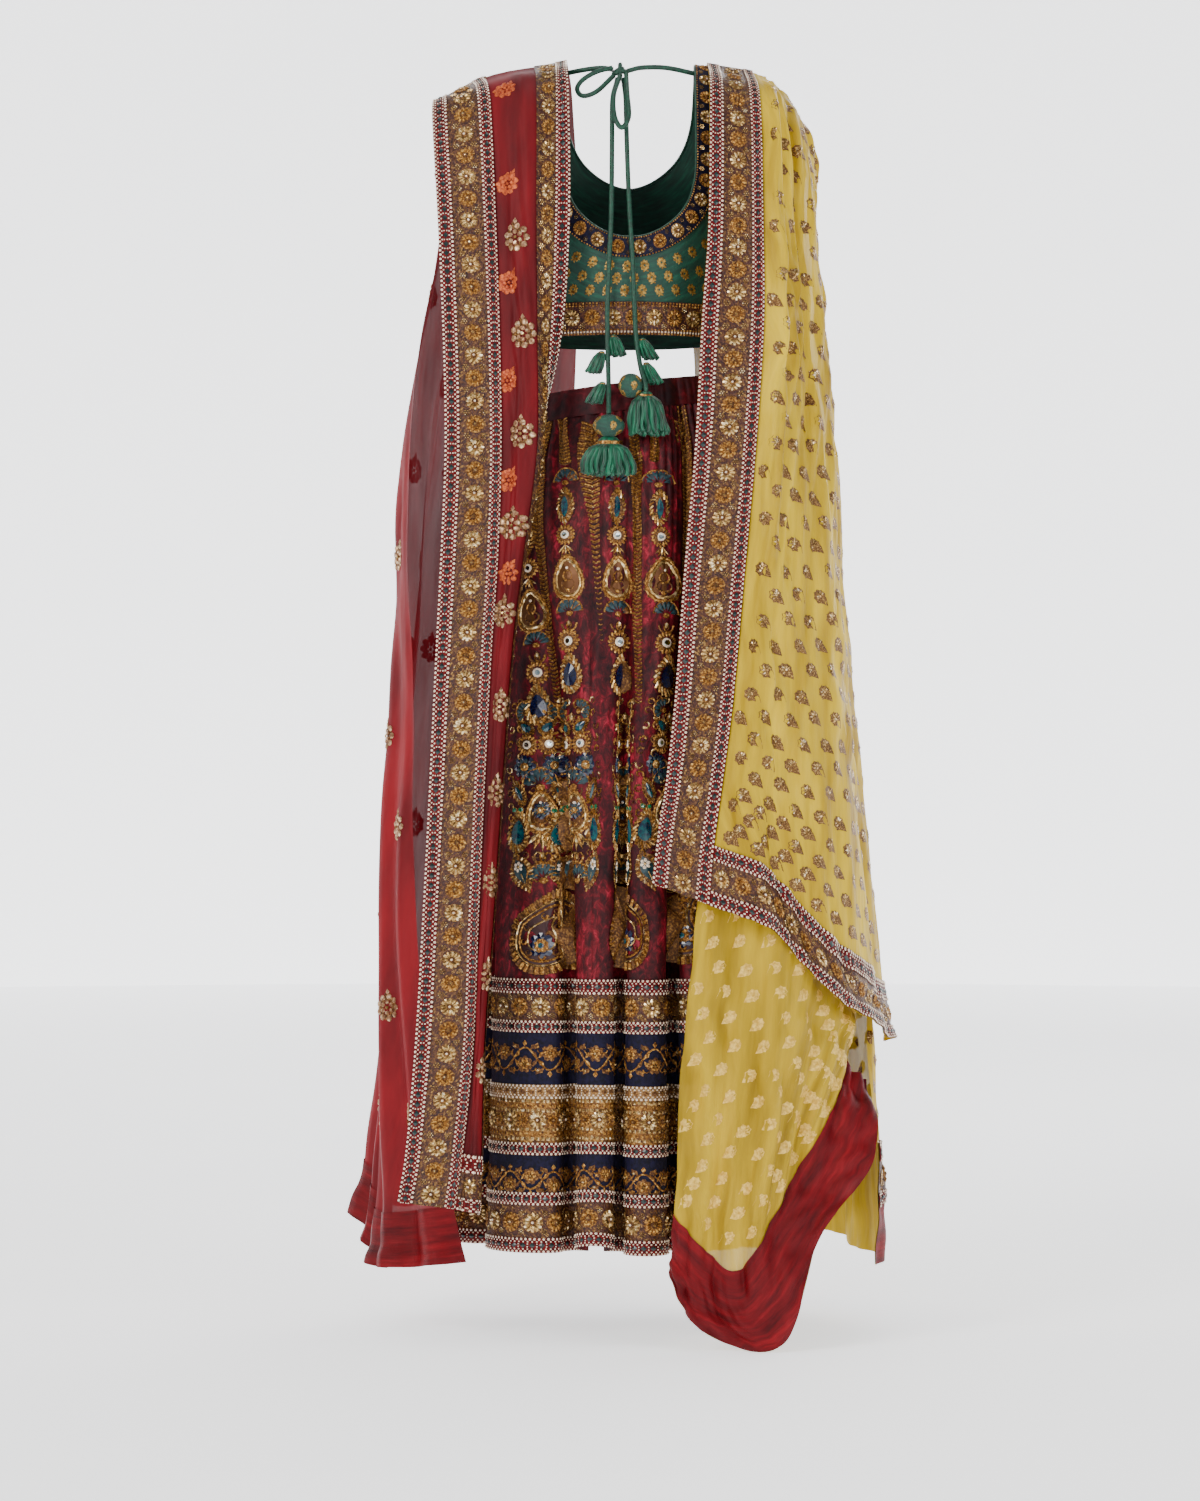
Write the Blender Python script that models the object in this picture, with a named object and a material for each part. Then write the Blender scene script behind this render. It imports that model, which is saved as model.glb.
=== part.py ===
# Lehenga choli: green blouse, twelve-panel velvet skirt, a net dupatta and a chiffon dupatta.
# Metres, +Z up. The origin is at the shoulders, on the middle of the wearer. The garment's back
# faces -Y, and +X is the wearer's right side.
import math
from collections import namedtuple

import bmesh
import bpy
from mathutils import Matrix, Vector

CLOTH = 0.0012          # thickness of every layer of cloth
BAND_GAP = 0.0006       # air between a panel and a band sewn on it
SEAM = 0.00015          # each piece stops this far short of a seam line
EVEN = 0.01             # how strongly a corner's move keeps to its mean direction
MOST_SPREAD = 3.0       # the longest move at a sharp fold, as a multiple of the thickness

# ---------------------------------------------------------------- tables

Figure = namedtuple("Figure", "height half_width back_depth front_depth")
FIGURE = (
    Figure(0.000, 0.150, 0.090, 0.085),
    Figure(-0.060, 0.142, 0.090, 0.085),
    Figure(-0.125, 0.136, 0.090, 0.086),
    Figure(-0.200, 0.140, 0.097, 0.112),
    Figure(-0.260, 0.133, 0.095, 0.108),
    Figure(-0.329, 0.124, 0.091, 0.096),
)
BODY_X = -0.008         # the wearer stands turned a little, so the body's middle is left of the neck
SHOULDER_TOP = -0.120   # above this height the back and front lean in to the shoulder seam
SHOULDER_SLOPE = 0.16
SHOULDER_LIFT = 0.012
CUP_X = 0.066
CUP_HEIGHT = -0.195
CUP_RADIUS = 0.050
CUP_RISE = 0.022

# Half of the neck edge, the inner line of the neck band, and the panel's rim, from the shoulder
# round to the middle. Rim angles are from the middle of the back or front, in degrees.
Edge = namedtuple("Edge", "neck_x neck_h band_x band_h rim_angle rim_h")
BACK_EDGES = (
    Edge(0.0800, 0.0000, 0.1040, 0.0000, 90.0, 0.0000),
    Edge(0.0800, -0.0200, 0.1040, -0.0200, 73.0, -0.0183),
    Edge(0.0800, -0.0625, 0.1040, -0.0625, 66.0, -0.0625),
    Edge(0.0800, -0.1000, 0.1040, -0.1000, 73.0, -0.1067),
    Edge(0.0795, -0.1250, 0.1035, -0.1280, 90.0, -0.1250),
    Edge(0.0775, -0.1420, 0.1005, -0.1490, 90.0, -0.1900),
    Edge(0.0735, -0.1580, 0.0955, -0.1680, 90.0, -0.2500),
    Edge(0.0675, -0.1720, 0.0875, -0.1865, 90.0, -0.2890),
    Edge(0.0580, -0.1850, 0.0745, -0.2030, 74.0, -0.2890),
    Edge(0.0450, -0.1965, 0.0580, -0.2170, 56.0, -0.2890),
    Edge(0.0310, -0.2050, 0.0395, -0.2275, 38.0, -0.2890),
    Edge(0.0160, -0.2105, 0.0200, -0.2345, 19.0, -0.2890),
    Edge(0.0000, -0.2125, 0.0000, -0.2365, 0.0, -0.2890),
)
FRONT_EDGES = (
    Edge(0.0800, 0.0000, 0.1040, 0.0000, 90.0, 0.0000),
    Edge(0.0800, -0.0180, 0.1040, -0.0200, 73.0, -0.0183),
    Edge(0.0780, -0.0500, 0.1015, -0.0560, 66.0, -0.0625),
    Edge(0.0730, -0.0720, 0.0950, -0.0820, 73.0, -0.1067),
    Edge(0.0660, -0.0880, 0.0860, -0.1020, 90.0, -0.1250),
    Edge(0.0580, -0.1000, 0.0755, -0.1170, 90.0, -0.1900),
    Edge(0.0490, -0.1090, 0.0640, -0.1290, 90.0, -0.2500),
    Edge(0.0400, -0.1160, 0.0520, -0.1380, 90.0, -0.2890),
    Edge(0.0320, -0.1210, 0.0410, -0.1445, 74.0, -0.2890),
    Edge(0.0240, -0.1250, 0.0310, -0.1490, 56.0, -0.2890),
    Edge(0.0160, -0.1280, 0.0205, -0.1525, 38.0, -0.2890),
    Edge(0.0080, -0.1300, 0.0100, -0.1545, 19.0, -0.2890),
    Edge(0.0000, -0.1310, 0.0000, -0.1550, 0.0, -0.2890),
)
HEM_BAND_TOP = -0.289
CHOLI_HEM = -0.329

Sleeve = namedtuple("Sleeve", "name side centre_x half_width half_depth height tilt")
SLEEVES = (
    Sleeve("left", -1, -0.195, 0.042, 0.047, -0.137, 0.26),
    Sleeve("right", 1, 0.175, 0.040, 0.046, -0.137, 0.26),
)
ARMHOLE_DEPTH = 0.0625
ARMHOLE_ANGLE = 24.0
SLEEVE_BULGE = 0.012
SLEEVE_COLUMNS = 16
ARMHOLE_CORNERS = 8

# The skirt: where its columns stand at the waist and at the hem, in degrees from the middle of
# the back, and how deep the fold that starts at each column is.
Fold = namedtuple("Fold", "column waist_angle hem_angle depth lift")
FOLDS = (
    Fold(0, -82.0, -62.0, 0.030, 0.000),
    Fold(5, -47.0, -19.5, 0.034, 0.012),
    Fold(7, -16.0, -11.0, 0.034, 0.012),
    Fold(10, 6.0, -2.0, 0.034, 0.000),
    Fold(15, 32.0, 18.0, 0.036, 0.004),
    Fold(20, 60.0, 48.0, 0.038, 0.000),
    Fold(25, 90.0, 80.0, 0.034, 0.005),
    Fold(30, 120.0, 112.0, 0.036, 0.000),
    Fold(35, 150.0, 144.0, 0.034, 0.004),
    Fold(40, 180.0, 178.0, 0.036, 0.000),
    Fold(45, 210.0, 212.0, 0.034, 0.005),
    Fold(50, 244.0, 252.0, 0.036, 0.000),
    Fold(55, 278.0, 298.0, 0.030, 0.000),
)
SKIRT_COLUMNS = 55
FOLD_COLUMNS = 5
Girth = namedtuple("Girth", "height half_width half_depth")
GIRTHS = (
    Girth(-0.386, 0.122, 0.099),
    Girth(-0.420, 0.130, 0.106),
    Girth(-0.470, 0.150, 0.118),
    Girth(-0.570, 0.168, 0.134),
    Girth(-0.700, 0.175, 0.144),
    Girth(-0.900, 0.180, 0.156),
    Girth(-1.100, 0.188, 0.168),
    Girth(-1.300, 0.196, 0.178),
    Girth(-1.424, 0.202, 0.186),
)
WAIST_TOP = -0.386
WAIST_BOTTOM = -0.420
SKIRT_HEM = -1.424
WAIST_TILT = 0.12       # the waistband climbs toward the wearer's right
SKIRT_ROWS = (-0.4206, -0.500, -0.620, -0.780, -0.940, -1.100, -1.164, -1.2255, -1.309, -1.368, -1.424)
BORDER_NAMES = ("border_flowers_upper", "border_vine_upper", "border_gold", "border_vine_lower",
                "border_flowers_lower")
FIRST_BORDER_ROW = 5

# Dupattas: each row of a net goes across the sheet, from one long edge to the other.
NET_BACK = (
    ((-0.2370, -0.0002, -0.036), (-0.178, -0.0002, -0.006), (-0.135, -0.0002, 0.0042),
     (-0.100, -0.0002, 0.0094), (-0.076, -0.0002, 0.0137)),
    ((-0.2365, -0.058, -0.062), (-0.168, -0.084, -0.045), (-0.130, -0.090, -0.040),
     (-0.097, -0.090, -0.035), (-0.074, -0.084, -0.030)),
    ((-0.2280, -0.105, -0.200), (-0.160, -0.128, -0.200), (-0.128, -0.135, -0.200),
     (-0.098, -0.132, -0.200), (-0.075, -0.118, -0.200)),
    ((-0.2215, -0.130, -0.340), (-0.155, -0.148, -0.340), (-0.125, -0.152, -0.340),
     (-0.100, -0.146, -0.340), (-0.088, -0.128, -0.340)),
    ((-0.2190, -0.145, -0.470), (-0.153, -0.160, -0.470), (-0.128, -0.163, -0.470),
     (-0.1015, -0.154, -0.470), (-0.125, -0.136, -0.470)),
    ((-0.2235, -0.155, -0.600), (-0.157, -0.171, -0.600), (-0.140, -0.172, -0.600),
     (-0.124, -0.162, -0.600), (-0.165, -0.143, -0.600)),
    ((-0.2290, -0.160, -0.720), (-0.165, -0.178, -0.720), (-0.152, -0.178, -0.720),
     (-0.141, -0.168, -0.720), (-0.190, -0.148, -0.720)),
    ((-0.2370, -0.166, -0.900), (-0.174, -0.186, -0.900), (-0.164, -0.186, -0.900),
     (-0.154, -0.176, -0.900), (-0.205, -0.154, -0.900)),
    ((-0.2440, -0.172, -1.040), (-0.180, -0.192, -1.040), (-0.172, -0.192, -1.040),
     (-0.164, -0.183, -1.040), (-0.215, -0.160, -1.040)),
    ((-0.2515, -0.178, -1.170), (-0.185, -0.198, -1.170), (-0.180, -0.198, -1.170),
     (-0.174, -0.190, -1.170), (-0.222, -0.166, -1.170)),
    ((-0.2620, -0.186, -1.298), (-0.198, -0.206, -1.302), (-0.186, -0.206, -1.304),
     (-0.176, -0.197, -1.306), (-0.225, -0.172, -1.304)),
    ((-0.2717, -0.190, -1.361), (-0.207, -0.210, -1.367), (-0.190, -0.211, -1.370),
     (-0.178, -0.202, -1.373), (-0.228, -0.176, -1.369)),
)
NET_FRONT = (
    ((-0.076, 0.0006, 0.0137), (-0.110, 0.0006, 0.0076), (-0.145, 0.0006, 0.0025),
     (-0.180, 0.0006, -0.0065), (-0.210, 0.0006, -0.020), (-0.237, 0.0006, -0.036)),
    ((-0.070, 0.082, -0.030), (-0.105, 0.092, -0.035), (-0.145, 0.094, -0.045),
     (-0.175, 0.088, -0.055), (-0.203, 0.078, -0.062), (-0.218, 0.064, -0.072)),
    ((-0.065, 0.150, -0.200), (-0.100, 0.158, -0.200), (-0.140, 0.150, -0.200),
     (-0.180, 0.125, -0.200), (-0.215, 0.085, -0.200), (-0.236, 0.040, -0.200)),
    ((-0.070, 0.155, -0.380), (-0.115, 0.160, -0.380), (-0.165, 0.140, -0.380),
     (-0.215, 0.100, -0.380), (-0.250, 0.045, -0.380), (-0.262, -0.005, -0.380)),
    ((-0.080, 0.160, -0.550), (-0.130, 0.165, -0.550), (-0.185, 0.145, -0.550),
     (-0.235, 0.100, -0.550), (-0.268, 0.030, -0.550), (-0.272, -0.045, -0.550)),
    ((-0.085, 0.175, -0.750), (-0.140, 0.180, -0.750), (-0.200, 0.155, -0.750),
     (-0.250, 0.100, -0.750), (-0.277, 0.020, -0.750), (-0.266, -0.065, -0.750)),
    ((-0.090, 0.190, -0.950), (-0.150, 0.195, -0.950), (-0.215, 0.165, -0.950),
     (-0.268, 0.100, -0.950), (-0.293, 0.010, -0.950), (-0.266, -0.080, -0.950)),
    ((-0.095, 0.210, -1.150), (-0.160, 0.210, -1.150), (-0.230, 0.175, -1.150),
     (-0.280, 0.100, -1.150), (-0.297, 0.000, -1.150), (-0.255, -0.100, -1.150)),
    ((-0.095, 0.222, -1.310), (-0.166, 0.222, -1.325), (-0.243, 0.182, -1.330),
     (-0.300, 0.100, -1.335), (-0.303, -0.012, -1.385), (-0.220, -0.125, -1.370)),
    ((-0.095, 0.225, -1.380), (-0.170, 0.225, -1.395), (-0.250, 0.185, -1.400),
     (-0.316, 0.100, -1.405), (-0.312, -0.022, -1.455), (-0.205, -0.135, -1.440)),
)
CHIFFON_UPPER = (
    ((0.0945, -0.0002, 0.0104), (0.150, -0.0002, 0.0008), (0.172, -0.0002, -0.010),
     (0.192, -0.0002, -0.028), (0.207, -0.0002, -0.053), (0.218, -0.0002, -0.080)),
    ((0.0955, -0.080, -0.040), (0.158, -0.080, -0.050), (0.182, -0.072, -0.060),
     (0.205, -0.050, -0.080), (0.222, -0.014, -0.100), (0.224, 0.026, -0.110)),
    ((0.0935, -0.118, -0.200), (0.160, -0.125, -0.200), (0.188, -0.110, -0.200),
     (0.213, -0.070, -0.200), (0.226, -0.010, -0.200), (0.220, 0.055, -0.200)),
    ((0.0850, -0.135, -0.320), (0.160, -0.142, -0.320), (0.195, -0.122, -0.320),
     (0.223, -0.075, -0.320), (0.238, -0.010, -0.320), (0.226, 0.068, -0.320)),
    ((0.0770, -0.148, -0.470), (0.150, -0.160, -0.470), (0.190, -0.146, -0.470),
     (0.227, -0.100, -0.470), (0.249, -0.020, -0.470), (0.243, 0.070, -0.470)),
    ((0.0640, -0.162, -0.620), (0.136, -0.177, -0.620), (0.182, -0.170, -0.620),
     (0.228, -0.125, -0.620), (0.256, -0.030, -0.620), (0.252, 0.070, -0.620)),
    ((0.0530, -0.177, -0.770), (0.122, -0.194, -0.770), (0.176, -0.190, -0.770),
     (0.232, -0.145, -0.770), (0.269, -0.035, -0.770), (0.266, 0.074, -0.770)),
    ((0.0420, -0.190, -0.870), (0.108, -0.207, -0.875), (0.168, -0.207, -0.890),
     (0.235, -0.165, -0.910), (0.284, -0.045, -0.930), (0.282, 0.074, -0.940)),
    ((0.0340, -0.196, -0.918), (0.099, -0.213, -0.940), (0.166, -0.213, -0.972),
     (0.240, -0.172, -1.055), (0.299, -0.058, -1.100), (0.298, 0.070, -1.120)),
    ((0.0260, -0.200, -0.9856), (0.093, -0.216, -1.010), (0.172, -0.217, -1.045),
     (0.243, -0.180, -1.125), (0.313, -0.068, -1.170), (0.312, 0.070, -1.190)),
)
CHIFFON_LOWER = (
    ((0.085, -0.175, -0.880), (0.125, -0.182, -0.885), (0.165, -0.180, -0.890),
     (0.205, -0.157, -0.900), (0.250, -0.085, -0.920), (0.2736, 0.0584, -0.940)),
    ((0.078, -0.190, -1.030), (0.120, -0.198, -1.030), (0.165, -0.197, -1.030),
     (0.210, -0.174, -1.040), (0.256, -0.100, -1.060), (0.2810, 0.0300, -1.080)),
    ((0.062, -0.213, -1.200), (0.105, -0.224, -1.220), (0.150, -0.225, -1.230),
     (0.190, -0.210, -1.210), (0.238, -0.170, -1.180), (0.266, -0.105, -1.150)),
    ((0.054, -0.224, -1.385), (0.086, -0.234, -1.430), (0.128, -0.236, -1.452),
     (0.168, -0.226, -1.380), (0.225, -0.192, -1.285), (0.254, -0.140, -1.200)),
    ((0.048, -0.225, -1.440), (0.085, -0.238, -1.508), (0.176, -0.240, -1.522),
     (0.220, -0.226, -1.400), (0.286, -0.190, -1.310), (0.276, -0.132, -1.225)),
)
CHIFFON_FRONT = (
    ((0.216, 0.0006, -0.079), (0.190, 0.0006, -0.027), (0.165, 0.0006, -0.006),
     (0.135, 0.0006, 0.0036), (0.0945, 0.0006, 0.0104)),
    ((0.214, 0.036, -0.110), (0.195, 0.062, -0.085), (0.165, 0.082, -0.060),
     (0.130, 0.090, -0.045), (0.092, 0.084, -0.035)),
    ((0.212, 0.050, -0.200), (0.195, 0.095, -0.200), (0.165, 0.130, -0.200),
     (0.125, 0.152, -0.200), (0.085, 0.150, -0.200)),
    ((0.217, 0.062, -0.320), (0.205, 0.100, -0.320), (0.175, 0.135, -0.320),
     (0.130, 0.158, -0.320), (0.085, 0.155, -0.320)),
    ((0.233, 0.060, -0.470), (0.220, 0.100, -0.470), (0.185, 0.140, -0.470),
     (0.135, 0.160, -0.470), (0.085, 0.158, -0.470)),
    ((0.242, 0.060, -0.620), (0.230, 0.105, -0.620), (0.195, 0.148, -0.620),
     (0.140, 0.168, -0.620), (0.085, 0.165, -0.620)),
    ((0.256, 0.063, -0.770), (0.240, 0.110, -0.770), (0.205, 0.155, -0.770),
     (0.150, 0.178, -0.770), (0.090, 0.178, -0.770)),
    ((0.272, 0.060, -0.920), (0.255, 0.115, -0.920), (0.215, 0.165, -0.920),
     (0.155, 0.190, -0.920), (0.095, 0.190, -0.920)),
    ((0.286, 0.050, -1.100), (0.270, 0.115, -1.100), (0.230, 0.175, -1.100),
     (0.165, 0.205, -1.100), (0.100, 0.205, -1.100)),
    ((0.294, 0.020, -1.280), (0.283, 0.110, -1.280), (0.240, 0.180, -1.280),
     (0.170, 0.220, -1.280), (0.100, 0.220, -1.280)),
    ((0.297, 0.000, -1.388), (0.290, 0.110, -1.380), (0.245, 0.184, -1.370),
     (0.172, 0.224, -1.360), (0.100, 0.224, -1.340)),
    ((0.298, -0.005, -1.458), (0.292, 0.110, -1.450), (0.247, 0.186, -1.440),
     (0.173, 0.226, -1.430), (0.100, 0.226, -1.410)),
)
# The soft folds of a sheet: how many cross it, where they start, and their height at the top and
# at the bottom.
Waves = namedtuple("Waves", "count phase top bottom")
NET_BACK_WAVES = Waves(2.0, 0.20, 0.003, 0.006)
NET_FRONT_WAVES = Waves(3.5, 0.10, 0.003, 0.013)
CHIFFON_UPPER_WAVES = Waves(3.0, 0.35, 0.003, 0.007)
CHIFFON_LOWER_WAVES = Waves(2.5, 0.00, 0.002, 0.008)
CHIFFON_FRONT_WAVES = Waves(2.5, 0.00, 0.002, 0.010)

Cord = namedtuple("Cord", "name radius points")
CORD_RADIUS = 0.003
CORDS = (
    Cord("dori_left", CORD_RADIUS, (
        (-0.0784, -0.0272, -0.0045), (-0.055, -0.040, -0.002), (-0.034, -0.048, -0.001),
        (-0.0204, -0.0518, -0.0036))),
    Cord("dori_right", CORD_RADIUS, (
        (0.0795, -0.0262, -0.0045), (0.045, -0.042, 0.000), (0.015, -0.050, -0.001),
        (-0.0025, -0.0555, -0.0058))),
    Cord("bow_loop", CORD_RADIUS, (
        (-0.0212, -0.0600, -0.0028), (-0.040, -0.063, -0.008), (-0.057, -0.063, -0.018),
        (-0.0636, -0.065, -0.029), (-0.057, -0.068, -0.038), (-0.040, -0.070, -0.033),
        (-0.0193, -0.0633, -0.0126))),
    Cord("hanging_loop", CORD_RADIUS, (
        (-0.0115, -0.0650, -0.0124), (-0.0195, -0.088, -0.040), (-0.0185, -0.102, -0.068),
        (-0.0100, -0.106, -0.082), (-0.0015, -0.102, -0.068), (-0.0030, -0.088, -0.040),
        (-0.0044, -0.0632, -0.0108))),
    Cord("tail_left", CORD_RADIUS, (
        (-0.0150, -0.0570, -0.0155), (-0.0165, -0.0610, -0.0225), (-0.021, -0.079, -0.045),
        (-0.0215, -0.092, -0.090), (-0.022, -0.099, -0.150), (-0.023, -0.103, -0.200),
        (-0.025, -0.1045, -0.240), (-0.027, -0.104, -0.290), (-0.027, -0.106, -0.335),
        (-0.026, -0.117, -0.380), (-0.0255, -0.136, -0.4279))),
    Cord("tail_right", CORD_RADIUS, (
        (-0.0080, -0.0560, -0.0154), (-0.0070, -0.0600, -0.0225), (-0.005, -0.079, -0.045),
        (-0.004, -0.092, -0.090), (-0.002, -0.099, -0.150), (0.0005, -0.103, -0.200),
        (0.003, -0.1045, -0.240), (0.005, -0.104, -0.290), (0.0075, -0.106, -0.335),
        (0.0125, -0.117, -0.370), (0.0182, -0.1274, -0.3920), (0.0185, -0.128, -0.3998))),
)
Ball = namedtuple("Ball", "name x y z half_width half_depth half_height")
BALLS = (
    Ball("dori_knot", -0.012, -0.057, -0.0065, 0.0090, 0.0075, 0.0080),
    Ball("ball_left", -0.0255, -0.136, -0.4415, 0.0185, 0.0130, 0.0132),
    Ball("ball_right", 0.0007, -0.1255, -0.3930, 0.0145, 0.0110, 0.0145),
    Ball("net_ball", -0.2883, 0.008, -0.8120, 0.0060, 0.0060, 0.0065),
)
Tassel = namedtuple("Tassel", "name x y z head length spread_x spread_y lean_x locks")
TASSELS = (
    Tassel("tassel_1", -0.0342, -0.110, -0.350, 0.0040, 0.024, 0.0065, 0.0050, -0.009, 6),
    Tassel("tassel_2", -0.0333, -0.122, -0.388, 0.0040, 0.024, 0.0065, 0.0050, -0.010, 6),
    Tassel("tassel_3", -0.0196, -0.1055, -0.330, 0.0040, 0.024, 0.0065, 0.0050, 0.006, 6),
    Tassel("tassel_4", 0.0149, -0.106, -0.334, 0.0040, 0.024, 0.0065, 0.0050, 0.011, 6),
    Tassel("tassel_5", 0.0196, -0.116, -0.364, 0.0040, 0.024, 0.0065, 0.0050, 0.011, 6),
    Tassel("tassel_left", -0.0255, -0.136, -0.4538, 0.0130, 0.040, 0.0330, 0.0100, 0.000, 14),
    Tassel("tassel_right", 0.0185, -0.128, -0.3997, 0.0085, 0.051, 0.0240, 0.0090, 0.003, 14),
    Tassel("net_tassel", -0.2883, 0.008, -0.8187, 0.0030, 0.020, 0.0045, 0.0045, -0.003, 6),
)

Paint = namedtuple("Paint", "colour roughness metallic")
PAINTS = {
    "brocade": Paint((0.010, 0.090, 0.065), 0.55, 0.0),
    "band": Paint((0.020, 0.020, 0.070), 0.45, 0.2),
    "velvet": Paint((0.180, 0.010, 0.030), 0.60, 0.0),
    "gold_border": Paint((0.300, 0.160, 0.060), 0.40, 0.6),
    "net": Paint((0.250, 0.015, 0.030), 0.55, 0.0),
    "chiffon": Paint((0.500, 0.360, 0.060), 0.55, 0.0),
    "silk": Paint((0.260, 0.012, 0.020), 0.45, 0.0),
    "trim": Paint((0.420, 0.130, 0.070), 0.45, 0.3),
    "cord": Paint((0.010, 0.130, 0.090), 0.50, 0.0),
    "floss": Paint((0.005, 0.210, 0.120), 0.45, 0.0),
}


# ---------------------------------------------------------------- curves and surfaces

def curve(values, at):
    """Smooth curve through evenly spaced values, read at a real index."""
    last = len(values) - 1
    at = min(max(at, 0.0), float(last))
    i = min(int(at), last - 1)
    t = at - i
    p1 = values[i]
    p2 = values[i + 1]
    m1 = (p2 - values[i - 1]) / 2 if i > 0 else p2 - p1
    m2 = (values[i + 2] - p1) / 2 if i + 2 <= last else p2 - p1
    a = 2 * t ** 3 - 3 * t ** 2 + 1
    b = t ** 3 - 2 * t ** 2 + t
    c = 3 * t ** 2 - 2 * t ** 3
    d = t ** 3 - t ** 2
    return p1 * a + m1 * b + p2 * c + m2 * d


def straight(keys, values, at):
    """Straight lines through values at rising keys."""
    if at <= keys[0]:
        return values[0]
    for k in range(1, len(keys)):
        if at <= keys[k]:
            share = (at - keys[k - 1]) / (keys[k] - keys[k - 1])
            return values[k - 1] + (values[k] - values[k - 1]) * share
    return values[-1]


def at_height(rows, field, height):
    """A table's value at a height, on a smooth curve through its rows."""
    keys = [-row.height for row in rows]
    index = straight(keys, [float(k) for k in range(len(keys))], -height)
    return curve([getattr(row, field) for row in rows], index)


def body_point(angle, height, side):
    """A point of the blouse: angle from the middle of the back (side -1) or front (side 1)."""
    wide = at_height(FIGURE, "half_width", height)
    deep = at_height(FIGURE, "back_depth" if side < 0 else "front_depth", height)
    if height > SHOULDER_TOP:
        rise = (height - SHOULDER_TOP) / -SHOULDER_TOP
        deep *= math.sqrt(max(0.0, 1 - rise * rise))
    x = BODY_X + wide * math.sin(angle)
    y = side * deep * abs(math.cos(angle))
    if side > 0:
        for cup in (-CUP_X, CUP_X):
            far = ((x - BODY_X - cup) ** 2 + (height - CUP_HEIGHT) ** 2) / CUP_RADIUS ** 2
            y += CUP_RISE * math.exp(-far) * abs(math.cos(angle))
    fade = min(max((height + 0.13) / 0.13, 0.0), 1.0)
    z = height - SHOULDER_SLOPE * max(0.0, abs(x) - 0.06) * fade + SHOULDER_LIFT * fade * fade
    return Vector((x, y, z))


def edge_angle(x, height):
    wide = at_height(FIGURE, "half_width", height)
    return math.asin(min(max((x - BODY_X) / wide, -1.0), 1.0))


def blouse_point(edges, w, r, side):
    """w runs from -12 at the left shoulder to 12 at the right one; r from the neck to the rim."""
    half = abs(w)
    sign = -1.0 if w < 0 else 1.0
    index = 12 - half
    neck_h = curve([e.neck_h for e in edges], index)
    neck_t = edge_angle(sign * curve([e.neck_x for e in edges], index), neck_h)
    band_h = curve([e.band_h for e in edges], index)
    band_t = edge_angle(sign * curve([e.band_x for e in edges], index), band_h)
    rows = [float(k) for k in range(len(edges))]
    rim_h = straight(rows, [e.rim_h for e in edges], index)
    rim_t = sign * math.radians(straight(rows, [e.rim_angle for e in edges], index))
    if r <= 1:
        return body_point(neck_t + (band_t - neck_t) * r, neck_h + (band_h - neck_h) * r, side)
    share = r - 1
    return body_point(band_t + (rim_t - band_t) * share, band_h + (rim_h - band_h) * share, side)


def armhole_point(sleeve, turn):
    """turn 0 is the shoulder point, 90 degrees the back, 180 the underarm, 270 the front."""
    height = -ARMHOLE_DEPTH * (1 - math.cos(turn))
    reach = math.radians(90 - ARMHOLE_ANGLE * abs(math.sin(turn)))
    side = -1 if math.sin(turn) >= 0 else 1
    return body_point(sleeve.side * reach, height, side)


def armhole_edge(sleeve, turn):
    """The armhole as the blouse panels cut it: straight between their corners."""
    cut = math.tau / ARMHOLE_CORNERS
    corner = math.floor(turn / cut + 1e-6)
    share = turn / cut - corner
    first = armhole_point(sleeve, corner * cut)
    return first.lerp(armhole_point(sleeve, (corner + 1) * cut), max(share, 0.0))


def sleeve_point(sleeve, turn, k):
    start = armhole_edge(sleeve, turn)
    low = (1 - math.cos(turn)) / 2
    start.x += sleeve.side * (0.0006 + 0.0030 * low)
    start.z += 0.0006 * low
    dx = sleeve.half_width * math.cos(turn)
    end = Vector((sleeve.centre_x + sleeve.side * dx, -sleeve.half_depth * math.sin(turn),
                  sleeve.height + sleeve.tilt * dx))
    point = start.lerp(end, k)
    bulge = SLEEVE_BULGE * math.sin(math.pi * k) * (1 - low)
    point += Vector((sleeve.side * bulge, 0, bulge * 0.5))
    return point


def skirt_point(column, height):
    """column runs 0 to 55 around the skirt; it is a seam or a valley at each row of FOLDS."""
    down = min(max((WAIST_BOTTOM - height) / (WAIST_BOTTOM - SKIRT_HEM), 0.0), 1.0)
    keys = [fold.column for fold in FOLDS]
    waist = straight(keys, [fold.waist_angle for fold in FOLDS], column)
    hem = straight(keys, [fold.hem_angle for fold in FOLDS], column)
    blend = 1 - (1 - down) ** 2.5
    angle = math.radians(waist + (hem - waist) * blend)
    phase = (column % FOLD_COLUMNS) / FOLD_COLUMNS
    start = [fold for fold in FOLDS if fold.column <= column % SKIRT_COLUMNS][-1]
    crest = 1 - abs(2 * phase - 1) ** 2.2
    depth = 0.004 + start.depth * down ** 1.2
    out = depth * (crest - 0.70)
    wide = at_height(GIRTHS, "half_width", height) + out
    deep = at_height(GIRTHS, "half_depth", height) + out
    x = BODY_X + wide * math.sin(angle)
    z = height + WAIST_TILT * x * (1 - down) ** 5 + start.lift * crest * down ** 8
    return Vector((x, -deep * math.cos(angle), z))


def net_point(net, u, v):
    rows = [Vector([curve([p[axis] for p in row], u) for axis in range(3)]) for row in net]
    return Vector([curve([row[axis] for row in rows], v) for axis in range(3)])


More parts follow.
